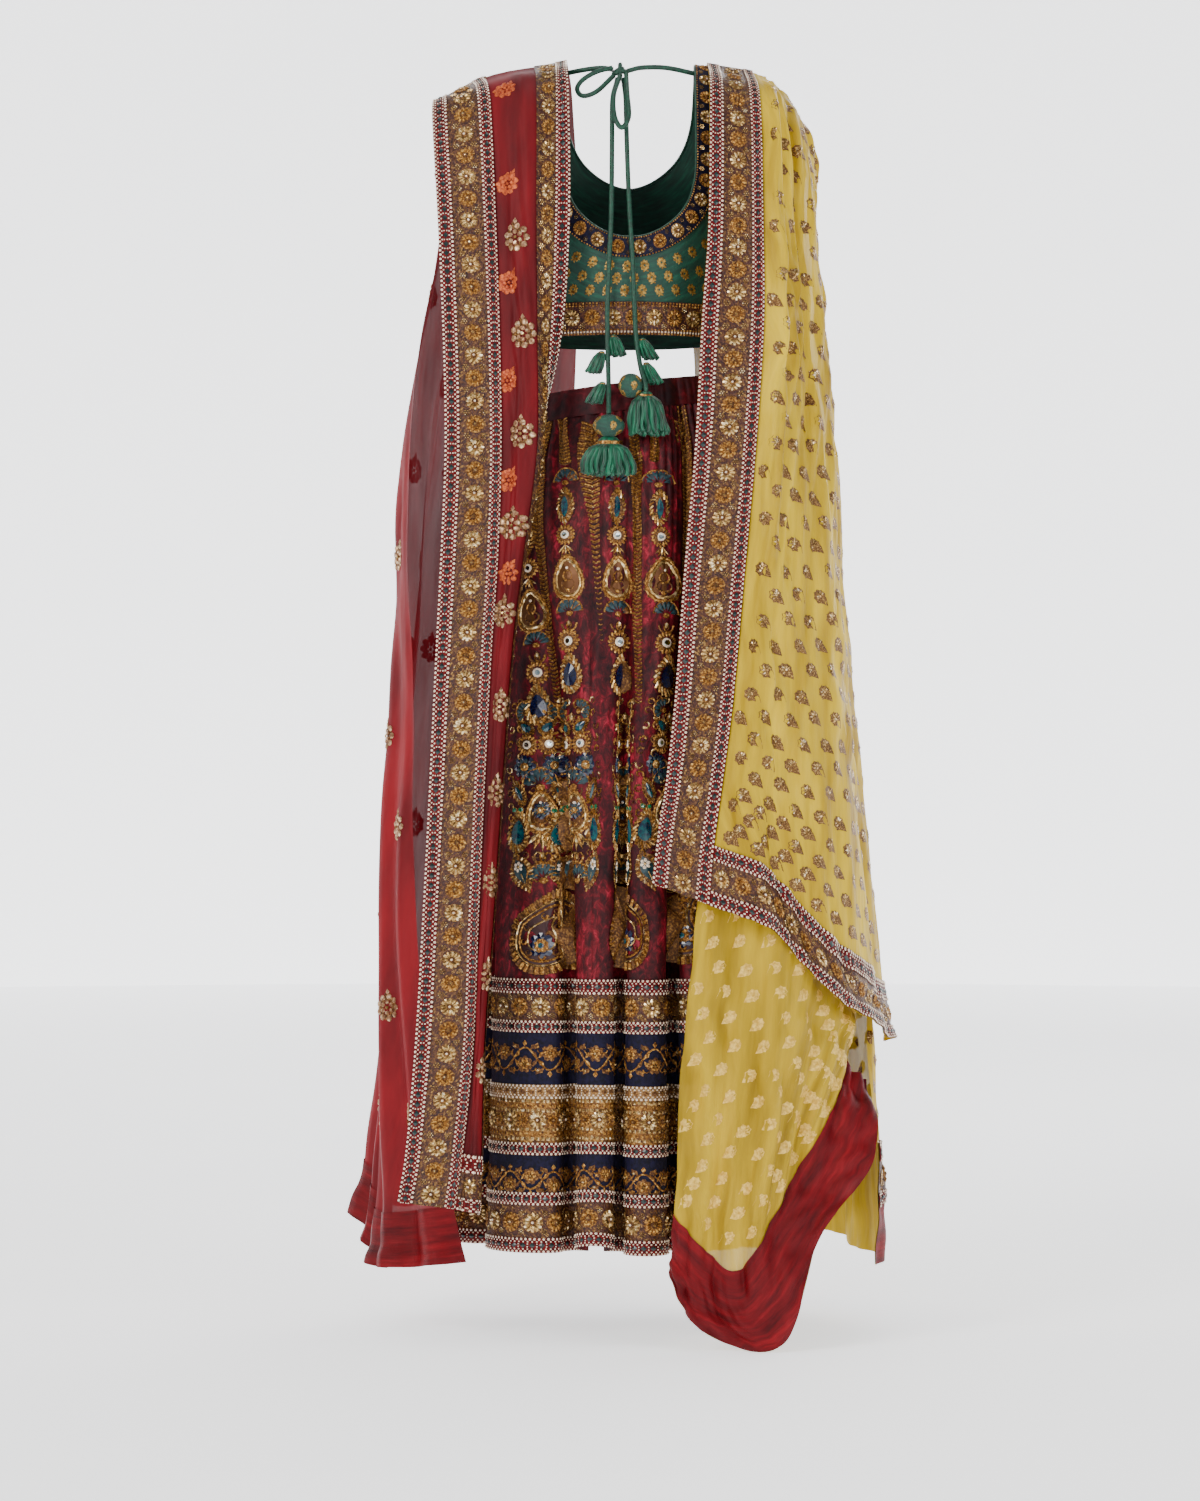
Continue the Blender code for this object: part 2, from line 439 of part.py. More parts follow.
def sheet_point(net, waves, u, v):
    step = 0.02
    wide = len(net[0]) - 1
    tall = len(net) - 1
    here = net_point(net, u, v)
    across = net_point(net, min(u + step, wide), v) - net_point(net, max(u - step, 0), v)
    down = net_point(net, u, min(v + step, tall)) - net_point(net, u, max(v - step, 0))
    normal = down.cross(across).normalized()
    share = v / tall
    height = (waves.top + (waves.bottom - waves.top) * share) * min(1.0, v)
    return here + normal * height * math.sin(math.tau * (waves.count * u / wide + waves.phase))


# ---------------------------------------------------------------- cloth walls

def key_of(point):
    return (round(point.x, 6), round(point.y, 6), round(point.z, 6))


def grid_faces(grid, closed=False):
    """The triangles of a grid of points, row by row, each cell cut along its shorter diagonal."""
    faces = []
    for r in range(len(grid) - 1):
        columns = len(grid[0])
        for c in range(columns if closed else columns - 1):
            d = (c + 1) % columns
            cell = (grid[r][c], grid[r][d], grid[r + 1][d], grid[r + 1][c])
            if (cell[0] - cell[2]).length <= (cell[1] - cell[3]).length:
                faces.append((cell[0], cell[1], cell[2]))
                faces.append((cell[0], cell[2], cell[3]))
            else:
                faces.append((cell[0], cell[1], cell[3]))
                faces.append((cell[1], cell[2], cell[3]))
    return faces


def surface_normals(faces, middle):
    """How a whole welded surface moves out, so that each of its faces moves out by one unit.

    The moves point away from an upright line at middle.
    """
    around = {}
    total = 0.0
    for face in faces:
        cross = (face[1] - face[0]).cross(face[2] - face[0])
        total += cross.dot(Vector((face[0].x - middle[0], face[0].y - middle[1], 0)))
        for corner in face:
            around.setdefault(key_of(corner), []).append(cross.normalized())
    sign = 1.0 if total > 0 else -1.0
    moves = {}
    for key, normals in around.items():
        mean = sum(normals, Vector((0, 0, 0))).normalized()
        spread = sum(mean.dot(normal) for normal in normals) / len(normals)
        guess = mean / max(spread, 0.4)
        matrix = Matrix([[sum(n[i] * n[j] for n in normals) + (EVEN if i == j else 0.0)
                          for j in range(3)] for i in range(3)])
        right = sum(normals, Vector((0, 0, 0))) + guess * EVEN
        move = matrix.inverted() @ right
        if move.length > MOST_SPREAD:
            move = move.normalized() * MOST_SPREAD
        moves[key] = move * sign
    return moves


def paint(obj, name):
    look = PAINTS[name]
    material = bpy.data.materials.new(obj.name + "_" + name)
    material.use_nodes = True
    shader = material.node_tree.nodes["Principled BSDF"]
    shader.inputs["Base Color"].default_value = look.colour + (1.0,)
    shader.inputs["Roughness"].default_value = look.roughness
    shader.inputs["Metallic"].default_value = look.metallic
    obj.data.materials.append(material)


def add_object(name, data, colour):
    obj = bpy.data.objects.new(name, data)
    bpy.context.scene.collection.objects.link(obj)
    obj.parent = GARMENT
    paint(obj, colour)
    return obj


def finish_mesh(name, work, colour):
    bmesh.ops.recalc_face_normals(work, faces=work.faces)
    mesh = bpy.data.meshes.new(name)
    work.to_mesh(mesh)
    work.free()
    return add_object(name, mesh, colour)


def seam_shift(faces):
    """How far each point on the rim of a piece moves in, so that it stops short of the seam."""
    count = {}
    for face in faces:
        for i in range(3):
            pair = frozenset((key_of(face[i]), key_of(face[(i + 1) % 3])))
            count[pair] = count.get(pair, 0) + 1
    shift = {}
    for face in faces:
        centre = (face[0] + face[1] + face[2]) / 3
        for i in range(3):
            a = face[i]
            b = face[(i + 1) % 3]
            if count[frozenset((key_of(a), key_of(b)))] > 1:
                continue
            along = (b - a).normalized()
            inward = centre - a
            inward = (inward - along * inward.dot(along)).normalized()
            for corner in (a, b):
                key = key_of(corner)
                shift.setdefault(key, []).append(inward)
    result = {}
    for key, moves in shift.items():
        total = Vector((0, 0, 0))
        for move in moves:
            if all(abs(move.dot(other)) < 0.7 for other in moves[:moves.index(move)]):
                total += move
        result[key] = total * SEAM
    return result


def cloth(name, faces, normals, low, high, colour):
    """A closed wall between two distances from the surface."""
    shift = seam_shift(faces)
    work = bmesh.new()
    lower = {}
    upper = {}
    count = {}
    for face in faces:
        for corner in face:
            key = key_of(corner)
            if key not in lower:
                point = corner + shift.get(key, Vector((0, 0, 0)))
                lower[key] = work.verts.new(point + normals[key] * low)
                upper[key] = work.verts.new(point + normals[key] * high)
    for face in faces:
        keys = [key_of(corner) for corner in face]
        work.faces.new([upper[key] for key in keys])
        work.faces.new([lower[key] for key in reversed(keys)])
        for i in range(3):
            pair = (keys[i], keys[(i + 1) % 3])
            count[frozenset(pair)] = count.get(frozenset(pair), []) + [pair]
    for pairs in count.values():
        if len(pairs) == 1:
            a, b = pairs[0]
            work.faces.new([upper[b], upper[a], lower[a]])
            work.faces.new([upper[b], lower[a], lower[b]])
    return finish_mesh(name, work, colour)


def band(name, faces, normals, colour, gap=BAND_GAP):
    """A strip of cloth that lies on a panel: the panel's own points, moved out."""
    return cloth(name, faces, normals, CLOTH + gap, CLOTH + gap + CLOTH, colour)


# ---------------------------------------------------------------- blouse

def build_blouse():
    for part, edges, side, rows in (("back", BACK_EDGES, -1, (0, 1, 1.36, 1.70, 2)),
                                    ("front", FRONT_EDGES, 1, (0, 1, 1.25, 1.50, 1.75, 2))):
        columns = range(-12, 13)
        grid = [[blouse_point(edges, w, r, side) for w in columns] for r in rows]
        angles = [math.radians(s * a) for s, a in
                  [(-1, e.rim_angle) for e in edges[7:]] + [(1, e.rim_angle) for e in edges[11:6:-1]]]
        strip = [[body_point(angle, height, side) for angle in angles]
                 for height in (HEM_BAND_TOP, CHOLI_HEM)]
        panel = grid_faces(grid) + grid_faces(strip)
        normals = surface_normals(panel, (BODY_X, 0.0))
        cloth("choli_" + part, panel, normals, 0.0, CLOTH, "brocade")
        band("neck_band_" + part, grid_faces(grid[:2]), normals, "band")
        band("hem_band_" + part, grid_faces(strip), normals, "band")
    for sleeve in SLEEVES:
        turns = [math.tau * k / SLEEVE_COLUMNS for k in range(SLEEVE_COLUMNS)]
        grid = [[sleeve_point(sleeve, turn, k) for turn in turns] for k in (0, 0.4, 0.78, 1.0)]
        faces = grid_faces(grid, closed=True)
        normals = surface_normals(faces, (sleeve.centre_x, 0.0))
        cloth("sleeve_" + sleeve.name, faces, normals, -CLOTH, 0.0, "brocade")
        cloth("sleeve_band_" + sleeve.name, grid_faces(grid[2:], closed=True), normals,
              BAND_GAP, BAND_GAP + CLOTH, "band")


# ---------------------------------------------------------------- skirt

def build_skirt():
    columns = range(SKIRT_COLUMNS)
    grid = [[skirt_point(c, height) for c in columns] for height in SKIRT_ROWS]
    normals = surface_normals(grid_faces(grid, closed=True), (BODY_X, 0.0))
    seams = [fold.column for fold in FOLDS]
    for n in range(12):
        piece = [[row[c % SKIRT_COLUMNS] for c in range(seams[n], seams[n + 1] + 1)] for row in grid]
        cloth("panel_%02d" % (n + 1), grid_faces(piece), normals, 0.0, CLOTH, "velvet")
    for k, name in enumerate(BORDER_NAMES):
        r = FIRST_BORDER_ROW + k
        colour = "gold_border" if k in (0, 2, 4) else "band"
        band(name, grid_faces(grid[r:r + 2], closed=True), normals, colour)
    casing = [[skirt_point(c, height) for c in columns] for height in (WAIST_TOP, WAIST_BOTTOM)]
    faces = grid_faces(casing, closed=True)
    cloth("waistband", faces, surface_normals(faces, (BODY_X, 0.0)), 0.0, CLOTH, "velvet")


# ---------------------------------------------------------------- dupattas

def sheet_grid(net, waves, across, down):
    return [[sheet_point(net, waves, u, v) for u in across] for v in down]


def columns_of(grid, first, last):
    return [row[first:last + 1] for row in grid]


def build_net():
    middle = (-0.19, 0.02)
    across = (0, 0.35, 0.7, 1, 1.5, 2, 2.5, 2.85, 3.12, 3.5, 4)
    down = (0, 0.5, 1, 2, 3, 4, 5, 6, 7, 8, 9, 10, 11)
    grid = sheet_grid(NET_BACK, NET_BACK_WAVES, across, down)
    faces = grid_faces(grid)
    normals = surface_normals(faces, middle)
    cloth("net_back", faces, normals, 0.0, CLOTH, "net")
    band("net_outer_border", grid_faces(columns_of(grid, 0, 3)), normals, "gold_border")
    band("net_inner_border", grid_faces(columns_of(grid, 8, 10)), normals, "gold_border")
    band("net_end_border", grid_faces(columns_of(grid[11:], 3, 8)), normals, "gold_border")
    across = [5 * k / 15 for k in range(16)]
    down = (0, 0.5, 1, 2, 3, 4, 5, 6, 7, 8, 9)
    grid = sheet_grid(NET_FRONT, NET_FRONT_WAVES, across, down)
    faces = grid_faces(grid)
    normals = surface_normals(faces, middle)
    cloth("net_front", faces, normals, 0.0, CLOTH, "net")
    band("net_front_facing", grid_faces(grid[9:]), normals, "silk")


def build_chiffon():
    middle = (0.17, 0.0)
    across = (0, 0.35, 0.7, 1, 1.4, 1.8, 2.2, 2.6, 3, 3.4, 3.8, 4.2, 4.6, 5)
    down = (0, 0.5, 1, 2, 3, 4, 5, 6, 7, 8, 9)
    grid = sheet_grid(CHIFFON_UPPER, CHIFFON_UPPER_WAVES, across, down)
    faces = grid_faces(grid)
    normals = surface_normals(faces, middle)
    cloth("chiffon_upper", faces, normals, 0.0, CLOTH, "chiffon")
    band("chiffon_side_border", grid_faces(columns_of(grid, 0, 3)), normals, "gold_border")
    band("chiffon_end_border", grid_faces(columns_of(grid[9:], 3, 13)), normals, "gold_border")
    across = [5 * k / 12 for k in range(13)]
    grid = sheet_grid(CHIFFON_LOWER, CHIFFON_LOWER_WAVES, across, (0, 0.6, 1.2, 1.8, 2.4, 3, 4))
    faces = grid_faces(grid)
    normals = surface_normals(faces, middle)
    cloth("chiffon_lower", faces, normals, 0.0, CLOTH, "chiffon")
    band("chiffon_lower_facing", grid_faces(grid[5:]), normals, "silk")
    across = [4 * k / 10 for k in range(11)]
    down = (0, 0.5, 1, 2, 3, 4, 5, 6, 7, 8, 9, 10, 11)
    grid = sheet_grid(CHIFFON_FRONT, CHIFFON_FRONT_WAVES, across, down)
    faces = grid_faces(grid)
    normals = surface_normals(faces, middle)
    cloth("chiffon_front", faces, normals, 0.0, CLOTH, "chiffon")
    band("chiffon_front_facing", grid_faces(grid[11:]), normals, "silk")


# ---------------------------------------------------------------- cords, balls and tassels

def build_cords():
    for cord in CORDS:
        spline_points = []
        steps = 2
        last = len(cord.points) - 1
        for k in range(last * steps + 1):
            spline_points.append([curve([p[axis] for p in cord.points], k / steps) for axis in range(3)])
        data = bpy.data.curves.new(cord.name, "CURVE")
        data.dimensions = "3D"
        data.bevel_depth = cord.radius
        data.bevel_resolution = 2
        data.use_fill_caps = True
        spline = data.splines.new("POLY")
        spline.points.add(len(spline_points) - 1)
        for point, place in zip(spline.points, spline_points):
            point.co = (place[0], place[1], place[2], 1.0)
        add_object(cord.name, data, "cord")


def build_balls():
    for ball in BALLS:
        work = bmesh.new()
        bmesh.ops.create_uvsphere(work, u_segments=10, v_segments=6, radius=1.0)
        for vert in work.verts:
            vert.co = Vector((ball.x + vert.co.x * ball.half_width, ball.y + vert.co.y * ball.half_depth,
                              ball.z + vert.co.z * ball.half_height))
        finish_mesh(ball.name, work, "net" if ball.name.startswith("net") else "brocade")


def build_tassels():
    for tassel in TASSELS:
        work = bmesh.new()
        turns = [math.tau * k / tassel.locks for k in range(tassel.locks)]
        flat = tassel.spread_y / tassel.spread_x
        rings = []
        for size, drop in ((0.55, 0.10), (1.0, 0.55), (0.8, 1.0)):
            rings.append([work.verts.new((tassel.x + tassel.head * size * math.cos(t),
                                          tassel.y + tassel.head * size * math.sin(t) * max(flat, 0.5),
                                          tassel.z - tassel.head * drop)) for t in turns])
        work.faces.new(rings[0])
        for upper, lower in zip(rings[:-1], rings[1:]):
            for k in range(tassel.locks):
                j = (k + 1) % tassel.locks
                work.faces.new((upper[k], lower[k], lower[j], upper[j]))
        middle = work.verts.new((tassel.x, tassel.y, tassel.z - tassel.head))
        for k, turn in enumerate(turns):
            root = (rings[-1][k], rings[-1][(k + 1) % tassel.locks], middle)
            centre = (root[0].co + root[1].co + root[2].co) / 3
            ring = [work.verts.new(centre + (vert.co - centre) * 0.80) for vert in root]
            for i in range(3):
                j = (i + 1) % 3
                work.faces.new((root[i], root[j], ring[j], ring[i]))
            half = turn + math.pi / tassel.locks
            for share in (0.5, 1.0):
                reach = 0.80 * share ** 0.8
                move = Vector((math.cos(half) * (tassel.spread_x - tassel.head * 0.5) * reach,
                               math.sin(half) * max(tassel.spread_y - tassel.head * 0.5, 0.001) * reach,
                               -tassel.length * share))
                move.x += tassel.lean_x * share
                size = 1.0 - 0.25 * share
                fresh = [work.verts.new(centre + move + (vert.co - centre) * 0.80 * size)
                         for vert in root]
                for i in range(3):
                    j = (i + 1) % 3
                    work.faces.new((ring[i], ring[j], fresh[j], fresh[i]))
                ring = fresh
            work.faces.new(ring)
        finish_mesh(tassel.name, work, "net" if tassel.name.startswith("net") else "floss")


for item in list(bpy.context.scene.objects):
    bpy.data.objects.remove(item, do_unlink=True)
GARMENT = bpy.data.objects.new("lehenga_choli", None)
bpy.context.scene.collection.objects.link(GARMENT)
build_blouse()
build_skirt()
build_net()
build_chiffon()
build_cords()
build_balls()
build_tassels()
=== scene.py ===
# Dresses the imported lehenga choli: cloth sheets with their folds, borders, embroidery, cords and
# tassels.
# Metres, +Z up, the garment's back faces -Y.
import math
from collections import namedtuple

import bmesh
import bpy
import numpy as np
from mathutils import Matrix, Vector


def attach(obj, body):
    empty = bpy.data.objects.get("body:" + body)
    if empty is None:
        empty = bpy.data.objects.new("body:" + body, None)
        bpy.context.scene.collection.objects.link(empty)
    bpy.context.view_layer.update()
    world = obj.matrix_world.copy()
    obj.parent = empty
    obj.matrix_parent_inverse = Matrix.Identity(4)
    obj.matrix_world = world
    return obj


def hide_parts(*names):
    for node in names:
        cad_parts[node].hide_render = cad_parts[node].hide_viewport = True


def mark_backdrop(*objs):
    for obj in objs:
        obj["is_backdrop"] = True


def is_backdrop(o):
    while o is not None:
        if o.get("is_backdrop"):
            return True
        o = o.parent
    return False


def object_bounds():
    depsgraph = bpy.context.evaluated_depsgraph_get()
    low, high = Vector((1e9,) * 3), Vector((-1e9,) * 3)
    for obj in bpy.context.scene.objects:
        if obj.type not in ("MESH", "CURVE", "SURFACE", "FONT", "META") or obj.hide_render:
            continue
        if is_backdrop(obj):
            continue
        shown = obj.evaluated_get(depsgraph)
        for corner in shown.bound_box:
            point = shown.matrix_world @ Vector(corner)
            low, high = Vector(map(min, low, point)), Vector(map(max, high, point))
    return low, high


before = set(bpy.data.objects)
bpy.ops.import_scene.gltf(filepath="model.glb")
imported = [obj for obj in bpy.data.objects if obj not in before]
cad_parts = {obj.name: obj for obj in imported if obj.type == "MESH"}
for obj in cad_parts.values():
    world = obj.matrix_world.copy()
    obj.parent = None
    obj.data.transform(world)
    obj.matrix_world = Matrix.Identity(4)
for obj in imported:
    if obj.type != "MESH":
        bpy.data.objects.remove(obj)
CAD_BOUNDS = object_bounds()

# ---------------------------------------------------------------- camera, floor and light

CAMERA_X = -0.036
CAMERA_Z = -0.8286
CAMERA_DISTANCE = 5.0
SENSOR = 24.0
FOCUS_Y = -0.1
PIXEL = 0.0012          # metres to a pixel of the 1200 by 1501 frame, at FOCUS_Y
FRAME_HIGH = 1501
FRAME_MIDDLE = (600, 750.5)

camera_data = bpy.data.cameras.new("camera")
camera_data.sensor_fit = "VERTICAL"
camera_data.sensor_height = SENSOR
camera_data.lens = SENSOR * CAMERA_DISTANCE / (FRAME_HIGH * PIXEL)
camera = bpy.data.objects.new("camera", camera_data)
camera.location = (CAMERA_X, FOCUS_Y - CAMERA_DISTANCE, CAMERA_Z)
camera.rotation_euler = (math.radians(90), 0, 0)
bpy.context.scene.collection.objects.link(camera)
bpy.context.scene.camera = camera


LIGHTS_AIM = Vector((0, 0, -0.75))


def area_light(name, place, size, power, colour):
    data = bpy.data.lights.new(name, "AREA")
    data.shape = "RECTANGLE"
    data.size = size[0]
    data.size_y = size[1]
    data.energy = power
    data.color = colour
    light = bpy.data.objects.new(name, data)
    light.location = place
    light.rotation_euler = (LIGHTS_AIM - Vector(place)).to_track_quat("-Z", "Y").to_euler()
    bpy.context.scene.collection.objects.link(light)


area_light("key", (-2.6, -3.4, 1.3), (1.6, 2.2), 130, (1.0, 0.98, 0.95))
area_light("fill", (2.8, -3.2, 0.1), (2.0, 2.4), 62, (0.97, 0.98, 1.0))
area_light("back", (1.2, 3.4, 1.4), (2.4, 2.0), 55, (1.0, 1.0, 1.0))
area_light("top", (0.0, -0.4, 2.6), (1.6, 1.6), 28, (1.0, 1.0, 1.0))
world = bpy.data.worlds.new("studio")
bpy.context.scene.world = world
world.use_nodes = True
background = world.node_tree.nodes["Background"]
background.inputs["Color"].default_value = (0.95, 0.96, 0.98, 1)
background.inputs["Strength"].default_value = 0.42


# ---------------------------------------------------------------- materials

def srgb(r, g, b):
    out = []
    for c in (r, g, b):
        c = c / 255
        out.append(c / 12.92 if c <= 0.04045 else ((c + 0.055) / 1.055) ** 2.4)
    return (out[0], out[1], out[2], 1.0)


BAND_SCALE = 0.314159   # the wave texture's scale that puts its bands a metre apart


class Look:
    """A material's nodes, with short ways to add the usual ones."""

    def __init__(self, name, rough=0.5, metal=0.0, sheen=0.0, coat=0.0, specular=0.5):
        self.material = bpy.data.materials.new(name)
        self.material.use_nodes = True
        self.nodes = self.material.node_tree.nodes
        self.shader = self.nodes["Principled BSDF"]
        self.uv = self.nodes.new("ShaderNodeTexCoord").outputs["UV"]
        self.object = self.uv.node.outputs["Object"]
        for key, value in (("Roughness", rough), ("Metallic", metal), ("Sheen Weight", sheen),
                           ("Sheen Roughness", 0.4), ("Coat Weight", coat),
                           ("Specular IOR Level", specular)):
            self.set(key, value)

    def set(self, key, value):
        """Sets one of the shader's inputs to a value or to another node's output."""
        self.fill(self.shader, key, value)

    def fill(self, node, key, value):
        if isinstance(value, bpy.types.NodeSocket):
            self.material.node_tree.links.new(value, node.inputs[key])
        else:
            node.inputs[key].default_value = value

    def node(self, kind, inputs, **settings):
        made = self.nodes.new("ShaderNode" + kind)
        for key, value in settings.items():
            setattr(made, key, value)
        for key, value in inputs.items():
            self.fill(made, key, value)
        return made

    def noise(self, scale, detail=3.0, source=None, stretch=(1, 1, 1), rough=0.5, distortion=0.0):
        place = self.node("Mapping", {"Vector": source or self.object, "Scale": stretch})
        return self.node("TexNoise", {
            "Vector": place.outputs["Vector"], "Scale": scale, "Detail": detail, "Roughness": rough,
            "Distortion": distortion}).outputs["Fac"]

    def cells(self, scale):
        return self.node("TexVoronoi", {"Vector": self.uv, "Scale": scale}, feature="F1")

    def colour(self, source, *stops):
        """Colours the surface by a ramp. A stop is its place and its red, green and blue to 255."""
        ramp = self.node("ValToRGB", {"Fac": source})
        elements = ramp.color_ramp.elements
        for k, (place, *rgb) in ((0, stops[0]), (1, stops[-1])):
            elements[k].position = place
            elements[k].color = srgb(*rgb)
        for place, *rgb in stops[1:-1]:
            elements.new(place).color = srgb(*rgb)
        self.set("Base Color", ramp.outputs["Color"])

    def scaled(self, source, low, high):
        return self.node("MapRange", {"Value": source, "To Min": low, "To Max": high}).outputs["Result"]

    def bump(self, height, distance, strength=1.0):
        made = self.node("Bump", {"Strength": strength, "Distance": distance, "Height": height})
        normal = self.shader.inputs["Normal"]
        if normal.is_linked:
            self.fill(made, "Normal", normal.links[0].from_socket)
        self.set("Normal", made.outputs["Normal"])

    def weave(self, period, depth):
        threads = [self.node("TexWave", {"Vector": self.uv, "Scale": BAND_SCALE / step}, wave_type="BANDS",
                             bands_direction=way, wave_profile="SIN").outputs["Fac"]
                   for step, way in ((period, "X"), (period * 1.07, "Y"))]
        both = self.node("Math", {0: threads[0], 1: threads[1]}, operation="MULTIPLY")
        self.bump(both.outputs["Value"], depth, 0.6)


LOOKS = {}


def look(name, **settings):
    made = Look(name, **settings)
    LOOKS[name] = made.material
    return made


# The looks made of one noise: shader settings, the noise's scale and detail, the stops of its
# colours, and for a rough one the scale, height and strength of its bumps.
NOISE_LOOKS = (
    ("brocade_gold", dict(rough=0.38, metal=0.7), 300, 3,
     ((0.35, 104, 72, 26), (0.65, 186, 148, 74)), (900, 0.0003, 1.0)),
    ("trim", dict(rough=0.55, specular=0.15), 520, 3,
     ((0.35, 48, 1, 5), (0.52, 92, 4, 10), (0.68, 128, 20, 18)), (700, 0.0005, 0.7)),
    ("trim_gold", dict(rough=0.42, metal=0.45), 420, 3,
     ((0.35, 92, 58, 30), (0.55, 146, 106, 58), (0.7, 196, 158, 100)), (700, 0.0005, 0.7)),
    ("gold", dict(rough=0.38, metal=0.65), 420, 3,
     ((0.34, 78, 42, 12), (0.52, 146, 96, 36), (0.68, 216, 170, 92)), (1400, 0.0004, 0.7)),
    ("gold_dull", dict(rough=0.46, metal=0.5), 420, 3,
     ((0.34, 56, 28, 10), (0.54, 106, 66, 26), (0.70, 164, 120, 60)), (1400, 0.0004, 0.7)),
    ("sequin", dict(rough=0.24, metal=0.75), 200, 2,
     ((0.36, 118, 86, 42), (0.56, 190, 156, 98), (0.70, 248, 230, 190)), None),
    ("rose_gold", dict(rough=0.32, metal=0.6), 260, 2,
     ((0.36, 128, 88, 62), (0.56, 182, 142, 104), (0.70, 232, 206, 168)), None),
    ("orange_thread", dict(metal=0.35), 300, 2, ((0.36, 150, 52, 20), (0.62, 206, 98, 44)), None),
    ("pearl", dict(rough=0.28, metal=0.1, coat=0.4), 500, 2,
     ((0.35, 216, 184, 156), (0.65, 252, 238, 216)), None),
    ("diamond", dict(rough=0.3, metal=0.2, coat=0.3), 400, 2, ((0.35, 0, 18, 20), (0.65, 6, 44, 42)), None),
    ("teal", dict(rough=0.4, sheen=0.1), 300, 3, ((0.35, 0, 24, 32), (0.65, 4, 54, 62)),
     (1200, 0.0003, 1.0)),
    ("stone_blue", dict(rough=0.12, coat=0.6), 300, 2, ((0.35, 3, 5, 26), (0.65, 14, 24, 62)), None),
    ("stone_teal", dict(rough=0.10, coat=0.7), 200, 2, ((0.38, 0, 32, 54), (0.62, 2, 76, 80)), None),
    ("stone_green", dict(rough=0.12, coat=0.6), 500, 2, ((0.35, 0, 62, 40), (0.65, 8, 112, 74)), None),
    ("mirror", dict(rough=0.06, metal=1.0), 200, 2, ((0.3, 150, 176, 180), (0.7, 228, 236, 238)), None),
    ("cord_green", dict(sheen=0.1), 300, 3, ((0.35, 0, 40, 28), (0.65, 4, 72, 50)), (700, 0.0004, 0.6)),
    ("floss_maroon", dict(rough=0.4, sheen=0.1), 240, 2, ((0.35, 40, 3, 10), (0.65, 88, 10, 22)), None),
    ("leaf_pale", dict(rough=0.55, metal=0.1), 300, 2, ((0.35, 196, 152, 44), (0.65, 238, 200, 96)), None),
    ("leaf_gold", dict(rough=0.42, metal=0.45), 700, 3,
     ((0.36, 72, 42, 14), (0.56, 118, 80, 30), (0.72, 214, 172, 98)), (1100, 0.0005, 0.8)),
)
# The grounds of close sequins: roughness, metal, the cells' scale, colour stops, bump height and
# strength.
CELL_LOOKS = (
    ("flower_ground", 0.42, 0.35, 520,
     ((0.0, 26, 8, 8), (0.45, 66, 28, 18), (0.78, 102, 64, 26), (1.0, 190, 146, 76)), 0.0009, 0.7),
    ("hem_ground", 0.45, 0.3, 560,
     ((0.0, 22, 8, 18), (0.45, 64, 26, 24), (0.80, 104, 62, 34), (1.0, 186, 138, 78)), 0.0008, 0.7),
    ("gold_ground", 0.38, 0.55, 360,
     ((0.0, 58, 26, 12), (0.4, 110, 68, 26), (0.78, 160, 112, 50), (1.0, 222, 182, 112)), 0.0010, 0.8),
)
BUMP_DETAIL = 2


